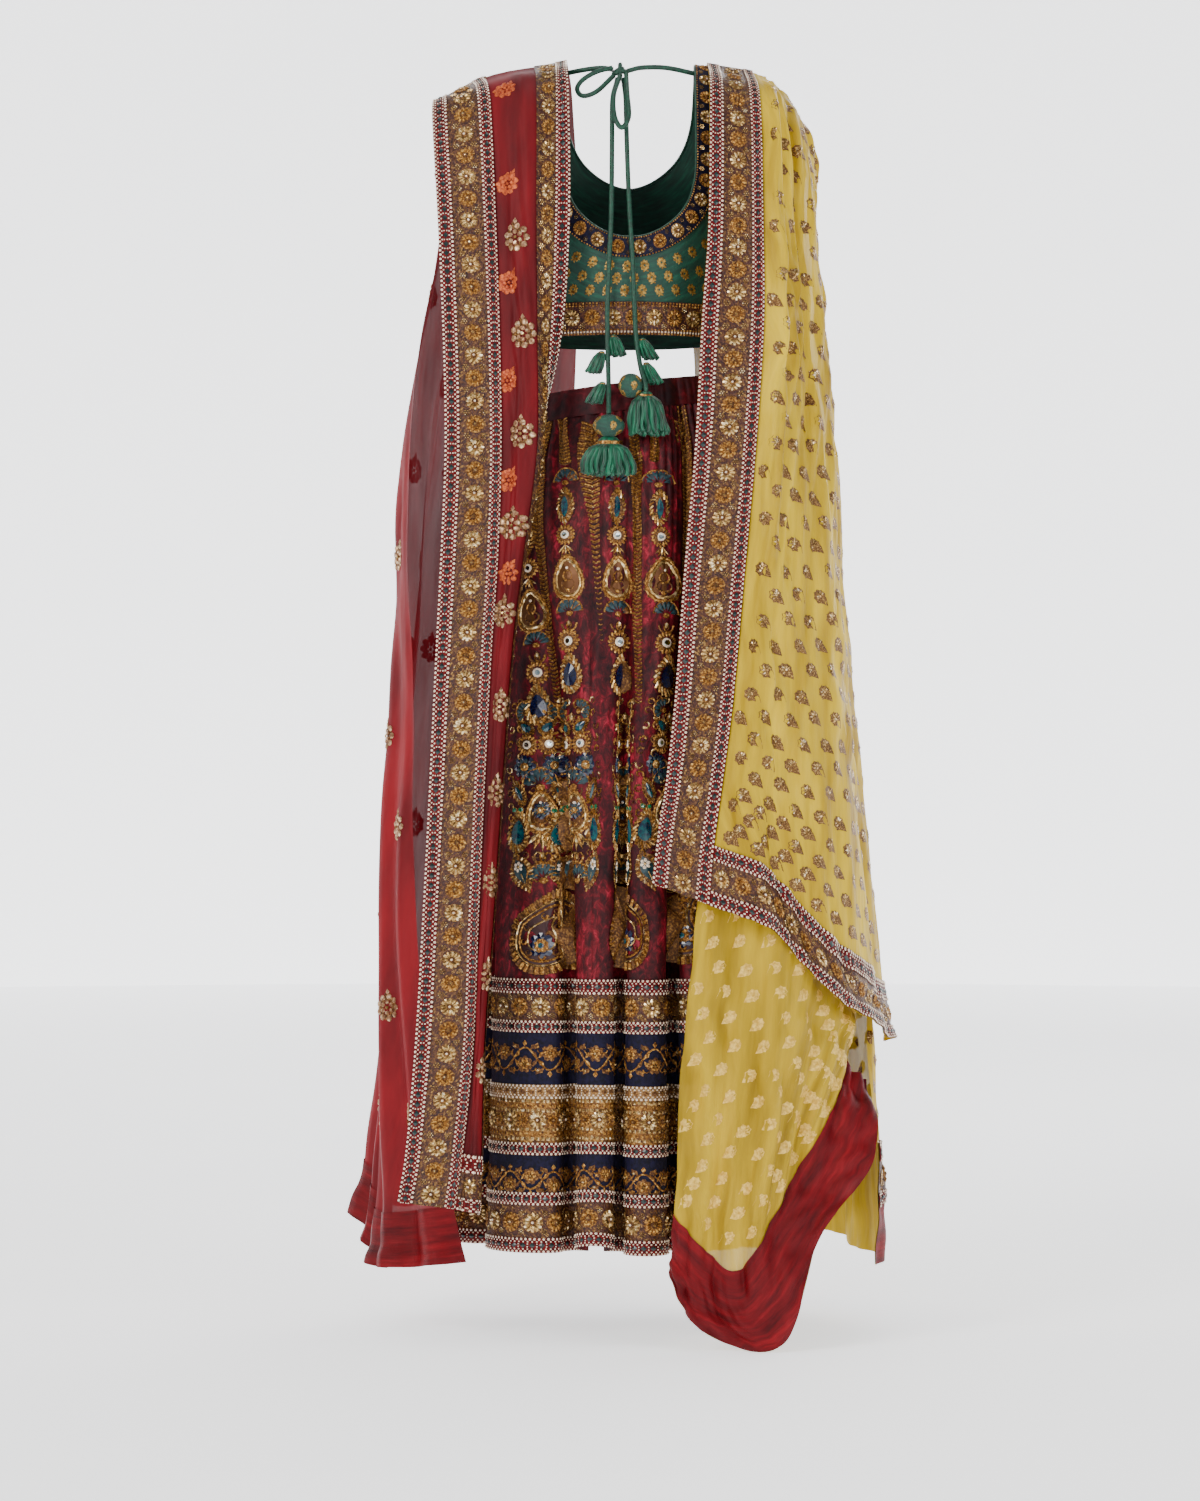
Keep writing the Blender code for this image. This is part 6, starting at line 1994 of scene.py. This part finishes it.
def build_sleeve(sleeve, butis, bead_work):
    middle = (sleeve.centre_x, 0.0)
    body = Cloth(sleeve_surface(sleeve), middle, closed=True)
    cuff = Cloth(body.points[CUFF_ROW:], middle, closed=True).moved(0.0012)
    tube_piece = cloth_object("cloth_sleeve_" + sleeve.name, body.moved(-CLOTH_LIFT), "brocade",
                              ("sleeve_" + sleeve.name,))
    band = cloth_object("cloth_sleeve_band_" + sleeve.name, cuff, "navy",
                        ("sleeve_band_" + sleeve.name,), thick=BAND_THICK)
    SHEETS.append((tube_piece, (body,), "hung", ("choli_back", "choli_front")))
    SHEETS.append((band, (cuff,), "hung", (tube_piece,)))
    upper = Cloth(body.points[:CUFF_ROW], middle, closed=True)
    rs, cs = staggered(upper, 0.0210, 0.0145, inset=0.004, top=0.002)
    butis.lay(upper, brocade_buti(), rs, cs, lift=0.0003)
    run = whole_strip(cuff)
    width = float(cuff.arc_down(16)[-1])
    run.sew(bead_work, sequin_flower(0.0075), run.spaced(0.022), width, 0.5, 0.0006)
    for share in (0.08, 0.92):
        run.sew(bead_work, pearl(0.0024, "gold"), run.spaced(0.0038), width, share, 0.0006)


def build_blouse():
    butis = Stitching()
    bead_work = Stitching()
    piping = Motif()
    build_blouse_side("back", BACK_EDGES, -1, butis, bead_work, piping)
    build_cup_darts(build_blouse_side("front", FRONT_EDGES, 1, butis, bead_work, piping))
    for sleeve in SLEEVES:
        build_sleeve(sleeve, butis, bead_work)
    butis.build("woven_butis")
    bead_work.build("embroidery_choli")
    solid_object("piping_neck", piping)


def seen_front(cloth, x, z):
    """The grid place of a cloth that is nearest to a place seen from the front."""
    far = (cloth.points[..., 0] - x) ** 2 + (cloth.points[..., 2] - z) ** 2
    r, c = np.unravel_index(int(np.argmin(far)), far.shape)
    return float(r), float(c)


TAPES = {}              # the tapes that are sewn to each piece, by the piece's name
BORDER_WIDTHS = (0.066, 0.062, 0.086, 0.060, 0.058)
BORDER_LOOKS = ("flower_ground", "navy", "gold_ground", "navy", "flower_ground")


def build_skirt():
    heights = skirt_heights()
    skirt = dress_skirt(skirt_surface(heights), heights).moved(CLOTH_LIFT)
    pieces = {}
    seams = [fold.column * SKIRT_STEP for fold in FOLDS]
    columns = skirt.size()[1]
    for n in range(12):
        index = np.arange(seams[n], seams[n + 1] + 1) % columns
        panel = Cloth(skirt.points[:, index], None)
        panel.normals = skirt.normals[:, index]
        sheer_piece(pieces, "panel_%02d" % (n + 1), panel, "velvet")
    bands = {}
    breaks = zip(SKIRT_BREAK_ROWS[1:], SKIRT_BREAK_ROWS[2:])
    for name, look_name, (first, last) in zip(BORDER_NAMES, BORDER_LOOKS, breaks):
        band = skirt.part(slice(first, last + 1), slice(None))
        band.closed = True
        bands[name] = band.moved(HEM_BAND_LIFT)
        sheer_piece(pieces, name, bands[name], look_name)
    return skirt, pieces, bands


TRIM_LAYOUT = {
    "border_flowers_upper": ((0.14, 0.28, "trim"), (0.89, 0.22, "trim")),
    "border_gold": ((0.10, 0.20, "trim_gold"), (0.91, 0.17, "trim")),
    "border_vine_lower": ((0.87, 0.25, "trim"),),
    "border_flowers_lower": ((0.84, 0.31, "trim"),),
}


def tape(name, cloth, lines, across, look_name, lift):
    """A narrow tape sewn on a band, over the grid places of its lines."""
    lines, across = np.broadcast_arrays(lines.astype(float), across.astype(float))
    strip = Cloth(cloth.at(lines, across, lift), None, cloth.closed)
    strip.normals = unit(cloth.sample(cloth.normals, lines, across))
    return cloth_object(name, strip, look_name, thick=0.0006)


def embroider_borders(bands):
    for name, width in zip(BORDER_NAMES, BORDER_WIDTHS):
        band = bands[name]
        last = band.size()[0] - 1
        run = whole_strip(band, samples=3000)
        work = Stitching()
        for j, (share, span, look_name) in enumerate(TRIM_LAYOUT.get(name, ())):
            lines = np.linspace(last * max(share - span / 2, 0), last * min(share + span / 2, 1), 3)
            TAPES.setdefault(name, []).append(
                tape("tape_%s_%d" % (name, j), band, lines[:, None], np.arange(band.size()[1])[None, :],
                     look_name, 0.0006))
            lay_trim(work, run, width, share, span, gold=look_name == "trim_gold")
        if name == "border_flowers_upper":
            lay_flowers(work, run, width, 0.52, 0.0112)
        elif name == "border_flowers_lower":
            lay_flowers(work, run, width, 0.36, 0.0120, pitch=0.029)
        elif name == "border_gold":
            lay_dense(work, run, width, 0.50, 0.60)
        elif name == "border_vine_upper":
            lay_vine(work, run, width, 0.0135)
        else:
            lay_vine(work, run, width, 0.0105, period=0.054)
        work.build("embroidery_" + name)


SEAM_STRIPS = (
    (0.018, 0.55, ((545, 421), (538, 510), (545, 575), (551, 636), (560, 720))),
    (0.023, 0.15, ((593, 424), (593, 510), (597, 580), (601, 640))),
    (0.017, 0.55, ((635, 436), (637, 540), (637, 629), (639, 705))),
    (0.019, 0.40, ((677, 421), (684, 470), (689, 519))),
    (0.016, 1.0, ((564, 421), (564, 466))),
    (0.016, 1.0, ((616, 440), (617, 466))),
    (0.016, 1.0, ((655, 430), (655, 466))),
)
MEDALLION_LINES = (
    ((524, 500), (527, 560), (530, 600), (535, 650), (538, 700), (540, 745)),
    ((565, 467), (566, 540), (568, 600), (569, 650), (571, 700), (573, 745)),
    ((617, 467), (618, 540), (619, 600), (620, 650), (621, 700), (622, 745)),
    ((658, 467), (662, 540), (666, 600), (667, 650), (667, 700), (667, 745)),
)
CLUSTER_PLACES = ((540, 783), (574, 783), (624, 783), (668, 783))
PAISLEY_PLACES = ((540, 934, False), (572, 928, True), (684, 919, False), (628, 926, True))


def medallion_sequence():
    """What follows what down the upper part of a column: each motif with the length it takes."""
    return (
        (teal_fan(0.017), 0.022), (stone_drop(0.046, 0.024, "stone_teal", slim=True), 0.048),
        (mirror_flower(0.023), 0.023), (small_bell(0.014), 0.014), (lattice_pear(0.052, 0.036), 0.052),
        (teal_fan(0.017), 0.021), (scroll_pair(0.026), 0.016), (mirror_flower(0.026), 0.026),
        (stone_drop(0.050, 0.033, "stone_blue"), 0.052),
    )


def cluster(rows=15, columns=6):
    """The lower part of a column: pairs of motifs on each side of a middle line."""
    m = Motif()
    for way in (-1, 1):
        m.include(teal_fan(0.014), way * 0.015, -0.086, way * 1.1)
        m.include(stone_drop(0.026, 0.015, "stone_teal"), way * 0.013, -0.066, way * 0.9)
        m.include(mirror_flower(0.023), way * 0.0125, -0.045)
        m.include(navy_flower(0.028), way * 0.018, -0.019)
        m.include(stone_drop(0.034, 0.018, "stone_teal", slim=True), way * 0.027, 0.012, way * 0.45)
        m.include(small_ovals(0.016), way * 0.030, 0.032)
        m.include(stone_drop(0.052, 0.031, "stone_teal"), way * 0.030, 0.058, way * -0.12)
        m.include(white_leaf(0.052), way * 0.026, 0.108, way * 0.42)
    rng = np.random.default_rng(5)
    for row in range(rows):
        for column in range(columns):
            half = 0.030 + 0.014 * math.sin(math.pi * (row + 0.5) / rows)
            x = (column - (columns - 1) / 2) * half / 2.7 + rng.uniform(-0.0015, 0.0015)
            y = -0.094 + row * 0.225 / rows + rng.uniform(-0.003, 0.003)
            start = rng.uniform(0, math.tau)
            way = 1 if x > 0 else -1
            m.line(curl(x, y, 0.0052, 5.6, 7, 0.11, way, start), 0.0030, 0.0011,
                   ("gold", "gold_dull", "sequin")[(row + column) % 3], taper=True)
    m.include(scroll_pair(0.030), 0, -0.078)
    m.include(teal_fan(0.022), 0, -0.002)
    m.include(lattice_pear(0.050, 0.036), 0, 0.036)
    m.include(navy_flower(0.022), 0, 0.034)
    m.include(small_bell(0.026), 0, 0.070)
    m.include(scroll_pair(0.030), 0, 0.088)
    m.include(teal_fan(0.020), 0, 0.110)
    return m


def lay_medallions(work, cloth, path):
    at = 0.002
    for motif, length in medallion_sequence():
        work.lay(cloth, motif, *path.at(at + length / 2), lift=0.0005)
        at += length


def lay_seam(work, cloth, path, width, narrow):
    at = np.arange(0.003, path.length, width * 0.27)
    taper = np.interp(at / path.length, (0, 1), (1, narrow))
    work.lay(cloth, herringbone(width, width * 0.27), *path.at(at), scale=taper, lift=0.0005)


def embroider_panels(skirt):
    work = Stitching()
    for width, narrow, pixels in SEAM_STRIPS:
        lay_seam(work, skirt, Path(skirt, [seen_place(skirt, px, py) for px, py in pixels]), width, narrow)
    for pixels in MEDALLION_LINES:
        lay_medallions(work, skirt, Path(skirt, [seen_place(skirt, px, py) for px, py in pixels]))
    for px, py in CLUSTER_PLACES:
        work.lay(skirt, cluster(), *seen_place(skirt, px, py), lift=0.0005)
    for px, py, mirror in PAISLEY_PLACES:
        work.lay(skirt, paisley(0.102, 0.080, mirror), *seen_place(skirt, px, py), lift=0.0008)
    work.build("embroidery_panels_back")
    work = Stitching()
    for fold in FOLDS[4:-1] + (FOLDS[0],):
        c = fold.column * SKIRT_STEP
        lay_seam(work, skirt, Path(skirt, [(0.5, c), (20, c), (40, c), (54, c)]), 0.018, 0.5)
    for n in range(4, 12):
        c = (FOLDS[n].column + 2.5) * SKIRT_STEP
        path = Path(skirt, [(8, c), (20, c), (40, c), (60, c)])
        lay_seam(work, skirt, Path(skirt, [(0.5, c), (4, c), (8, c)]), 0.016, 1.0)
        lay_medallions(work, skirt, path)
        work.lay(skirt, cluster(4, 4), 70.0, c, lift=0.0005)
        work.lay(skirt, paisley(0.102, 0.080, bool(n % 2)), 96.0, c, lift=0.0008)
    work.build("embroidery_panels_front")


def build_waistband():
    rows = 15
    band = Cloth(skirt_surface(np.linspace(WAIST_TOP, WAIST_BOTTOM, rows), step=8), (BODY_X, 0.0),
                 closed=True)
    columns = band.size()[1]
    turn = np.arange(columns)[None, :] / columns
    rise = np.sin(np.linspace(0, math.pi, rows))[:, None]
    gather = 0.0016 * np.abs(np.sin(math.tau * (turn * 34 + 0.3 * np.sin(turn * 60)))) * rise ** 0.5
    band = band.moved(0.0008 + gather + 0.0020 * rise)
    return sheer_object("cloth_waistband", band, "casing", ("waistband",)), band


def sheer_piece(pieces, name, cloth, look_name):
    """A layer of cloth in the place of the solid of the same name."""
    pieces[name] = (sheer_object("cloth_" + name, cloth, look_name, (name,)), cloth)


def add_facing(pieces, name, cloth, row):
    """The silk that faces a sheet from this row down."""
    facing = cloth.part(slice(row, None), slice(None)).moved(FACING_LIFT)
    sheer_piece(pieces, name + "_facing", facing, "silk")


def add_border(pieces, name, cloth, rows, columns, down, stitch, width=BORDER_WIDTH, folded=False,
               solid=True):
    """A dupatta border: its ground cloth, its tapes and the embroidery on them.

    Of a folded one only the outer tape and a part of the flower band show.
    """
    part = cloth.part(slice(rows[0], rows[1] + 1), slice(columns[0], columns[1] + 1))
    ground = part.moved(BORDER_LIFT)
    piece = sheer_object("cloth_" + name, ground, "flower_ground", (name,) if solid else ())
    pieces[name] = (piece, ground)
    last_row, last_column = ground.size()[0] - 1, ground.size()[1] - 1
    for j, (low, high) in enumerate(((0.62, 1.0),) if folded else ((0.0, 0.25), (0.75, 1.0))):
        if down:
            lines = np.arange(last_row + 1)[:, None]
            across = np.linspace(low, high, 4)[None, :] * last_column
        else:
            lines = np.linspace(low, high, 4)[:, None] * last_row
            across = np.arange(last_column + 1)[None, :]
        TAPES.setdefault(name, []).append(
            tape("tape_%s_%d" % (name, j), ground, lines, across, "trim", 0.0007))
    run = Strip(ground, (0, last_row), (0, last_column), down)
    if folded:
        lay_trim(stitch, run, width, 0.81, 0.38)
        lay_flowers(stitch, run, width, 0.36, 0.0102)
    else:
        lay_border(stitch, run, width)


def eased(vs, span, low):
    """Rises from low to 1 over the first part of a sheet, down its rows."""
    return np.clip(vs / span, low, 1)[:, None]


def build_net():
    pieces = {}
    us = fine(NET_MARKS, NET_COLUMNS)
    vs = np.linspace(0, len(NET_BACK) - 1, 265)
    back = Cloth(sheet_grid(NET_BACK, NET_BACK_WAVES, us, vs), NET_MIDDLE)
    rows, columns = back.size()
    loose = np.clip(np.minimum((us - 1.1) / 0.4, (2.45 - us) / 0.4), 0, 1)[None, :]
    back = back.moved(CLOTH_LIFT + (crinkle(11, rows, columns, 5, 0.0026) + 0.0012) * loose
                      * eased(vs, 1.5, 0.2))
    sheer_piece(pieces, "net_back", back, "net_dense")
    stitch = Stitching()
    outer, inner, last = NET_COLUMNS[1], NET_INNER_COLUMN, NET_COLUMNS[-1]
    add_border(pieces, "net_outer_border", back, (0, rows - 1), (0, outer), True, stitch)
    add_border(pieces, "net_inner_border", back, (0, rows - 1), (inner, last), True, stitch,
               width=0.047, folded=True)
    add_border(pieces, "net_end_border", back, (NET_END_ROW, rows - 1), (outer, inner), False, stitch)
    stitch.build("embroidery_net_borders")
    butis = Stitching()
    for px, py in NET_FLOWERS:
        butis.lay(back, net_buti(0.038), *seen_place(back, px, py), lift=0.0003)
    butis.lay(back, net_buti(0.028), *seen_place(back, 468, 60), lift=0.0003)
    for px, py in NET_ORANGE_FLOWERS:
        butis.lay(back, net_buti(0.034, "orange_thread", "orange_thread", "orange_thread"),
                  *seen_place(back, px, py), turn=0.5, lift=0.0001, scale=0.9)

    us = np.linspace(0, 5, 101)
    vs = np.linspace(0, 9, 185)
    front = Cloth(sheet_grid(NET_FRONT, NET_FRONT_WAVES, us, vs), NET_MIDDLE)
    rows, columns = front.size()
    lobes = np.sin(math.tau * (us - 2.6) / 0.42)[None, :] * np.clip((us - 2.4) / 0.5, 0.2, 1)[None, :]
    front = front.moved(CLOTH_LIFT + (crinkle(12, rows, columns, 7, 0.0042) + 0.001) * eased(vs, 2.5, 0.1)
                        + 0.0125 * lobes * np.clip((vs - 3.0) / 6.0, 0, 1)[:, None] ** 1.3
                        + 0.0070 * pleats(us / 5, vs / 9, 4.5) * eased(vs, 2.0, 0))
    sheer_piece(pieces, "net_front", front, "net")
    add_facing(pieces, "net_front", front, NET_FACING_ROW)
    rs, cs = staggered(front, 0.105, 0.110, inset=0.02, top=0.06, bottom=0.09)
    butis.lay(front, net_buti(0.036), rs, cs, lift=0.0003)
    butis.build("butis_net")
    return pieces


def scatter_leaves(stitch, panel, leaf, turn, lift):
    rs, cs = staggered(panel, 0.036, 0.030, inset=0.008, top=0.004, bottom=0.006, jitter=0.5)
    stitch.lay(panel, leaf, rs, cs, turn=turn, lift=lift)


def build_chiffon_upper(pieces, leaf):
    us = fine(CHIFFON_MARKS, CHIFFON_COLUMNS)
    vs = np.linspace(0, 9, 226)
    upper = Cloth(sheet_grid(CHIFFON_UPPER, CHIFFON_UPPER_WAVES, us, vs), CHIFFON_MIDDLE)
    rows, columns = upper.size()
    loose = np.clip((us - 1.05) / 0.4, 0, 1)[None, :]
    share = np.linspace(0, 1, columns)[None, :]
    down = np.linspace(0, 1, rows)[:, None]
    pleat = np.abs(np.sin(math.pi * (6.5 * share ** 0.8 + 0.5 * np.sin(2.2 * down + 3 * share)))) - 0.6
    upper = upper.moved(CLOTH_LIFT + (crinkle(21, rows, columns, 9, 0.0050) + 0.0020
                                      + pleat * 0.0085 * np.clip(1.15 - 0.6 * down, 0, 1)) * loose
                        * eased(vs, 1.0, 0.25))
    sheer_piece(pieces, "chiffon_upper", upper, "chiffon")
    stitch = Stitching()
    side = CHIFFON_COLUMNS[1]
    add_border(pieces, "chiffon_side_border", upper, (0, rows - 1), (0, side), True, stitch)
    add_border(pieces, "chiffon_end_border", upper, (CHIFFON_END_ROW, rows - 1), (side, columns - 1), False,
               stitch)
    stitch.build("embroidery_chiffon_borders")
    butis = Stitching()
    scatter_leaves(butis, upper.part(slice(0, CHIFFON_END_ROW), slice(side + 1, None)), leaf, 0.65, 0.0003)
    butis.build("butis_chiffon_upper")


def build_chiffon():
    pieces = {}
    leaf = leaf_buti(0.0265, "leaf_gold", "sequin")
    build_chiffon_upper(pieces, leaf)
    us = np.linspace(0, 5, 91)
    vs = np.linspace(0, 4, 131)
    lower = Cloth(sheet_grid(CHIFFON_LOWER, CHIFFON_LOWER_WAVES, us, vs), CHIFFON_MIDDLE)
    rows, columns = lower.size()
    lower = lower.moved(0.0016 + crinkle(22, rows, columns, 8, 0.0044)
                        + 0.0060 * pleats(us / 5, vs / 4, 7.5))
    # The lower fall wears the darker copy of the chiffon, whose darker ground is painted shade.
    sheer_piece(pieces, "chiffon_lower", lower, "chiffon_reverse")
    add_facing(pieces, "chiffon_lower", lower, CHIFFON_LOWER_FACING_ROW)
    butis = Stitching()
    scatter_leaves(butis, lower.part(slice(0, CHIFFON_LOWER_FACING_ROW - 1), slice(None)),
                   leaf_buti(0.0235, "leaf_pale", "leaf_pale"), 2.4, 0.0002)

    us = np.linspace(0, 4, 77)
    vs = np.linspace(0, 11, 201)
    front = Cloth(sheet_grid(CHIFFON_FRONT, CHIFFON_FRONT_WAVES, us, vs), CHIFFON_MIDDLE)
    rows, columns = front.size()
    front = front.moved(CLOTH_LIFT + (crinkle(23, rows, columns, 8, 0.0060) + 0.0016) * eased(vs, 2.0, 0.1)
                        + 0.0070 * pleats(us / 4, vs / 11, 4.0) * eased(vs, 2.5, 0))
    sheer_piece(pieces, "chiffon_front", front, "chiffon")
    border_row, facing_row = CHIFFON_FRONT_BORDER_ROWS
    add_facing(pieces, "chiffon_front", front, facing_row)
    stitch = Stitching()
    add_border(pieces, "chiffon_front_border", front, (border_row, facing_row), (0, columns - 1), False,
               stitch, solid=False)
    stitch.build("embroidery_chiffon_front_border")
    scatter_leaves(butis, front.part(slice(0, border_row), slice(None)), leaf, 0.65, 0.0003)
    butis.build("butis_chiffon_lower_front")
    return pieces


CORD_LINES = build_cords()
KNOT = knot_object()
BALL_WORK = Stitching()
for ball in BALLS[1:]:
    net = ball.name.startswith("net")
    surface = ball_surface(ball)
    cloth_object("cloth_" + ball.name, surface, "velvet" if net else "brocade",
                                          (ball.name,))
    if not net:
        where = [(12, c) for c in (2, 12, 22, 32)] + [(6.5, c) for c in (7, 20, 33)]
        where += [(17.5, c) for c in (7, 20, 33)]
        BALL_WORK.lay(surface, brocade_buti(), [w[0] for w in where], [w[1] for w in where],
                      scale=0.85, lift=0.0003)
BALL_WORK.build("butis_balls")
TASSEL_PIECES = {tassel.name: tassel_object(tassel) for tassel in TASSELS}
build_blouse()
SKIRT, SKIRT_PIECES, BANDS = build_skirt()
WAISTBAND, WAIST_CLOTH = build_waistband()
embroider_borders(BANDS)
embroider_panels(SKIRT)
NET_PIECES = build_net()
CHIFFON_PIECES = build_chiffon()
SHEETS.append((WAISTBAND, (WAIST_CLOTH,), "gathered", ()))
for obj, cloth in SKIRT_PIECES.values():
    SHEETS.append((obj, (cloth,), "gathered", (WAISTBAND,)))
for pieces in (NET_PIECES, CHIFFON_PIECES):
    for obj, cloth in pieces.values():
        SHEETS.append((obj, (cloth,), "draped", ("choli_back",)))
declare_sheets(SHEETS)

# ---------------------------------------------------------------- floor, sizes, end

FLOOR_SIDES = 48
FLOOR_RADIUS = 7.5
WALL_HEIGHT = 7.0
FLOOR_RING = [(FLOOR_RADIUS * math.cos(math.tau * k / FLOOR_SIDES),
               FLOOR_RADIUS * math.sin(math.tau * k / FLOOR_SIDES)) for k in range(FLOOR_SIDES)]
WALL_LINE = FLOOR_RING[2:23]


def studio_object(name, points, faces, look_name):
    mesh = bpy.data.meshes.new(name)
    mesh.from_pydata(points, [], faces)
    mesh.materials.append(LOOKS[look_name])
    return link(bpy.data.objects.new(name, mesh))


floor = studio_object("studio_floor", [(x, y, 0) for x, y in FLOOR_RING], [list(range(FLOOR_SIDES))],
                      "floor")
count = len(WALL_LINE)
wall = studio_object("studio_wall", [(x, y, z) for z in (0.0, WALL_HEIGHT) for x, y in WALL_LINE],
                     [[k, k + 1, k + count + 1, k + count] for k in range(count - 1)], "backdrop")
wall.parent = floor
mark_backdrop(floor, wall)

VISUAL_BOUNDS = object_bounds()
floor.location.z = min(VISUAL_BOUNDS[0][2], CAD_BOUNDS[0][2]) - 0.0005
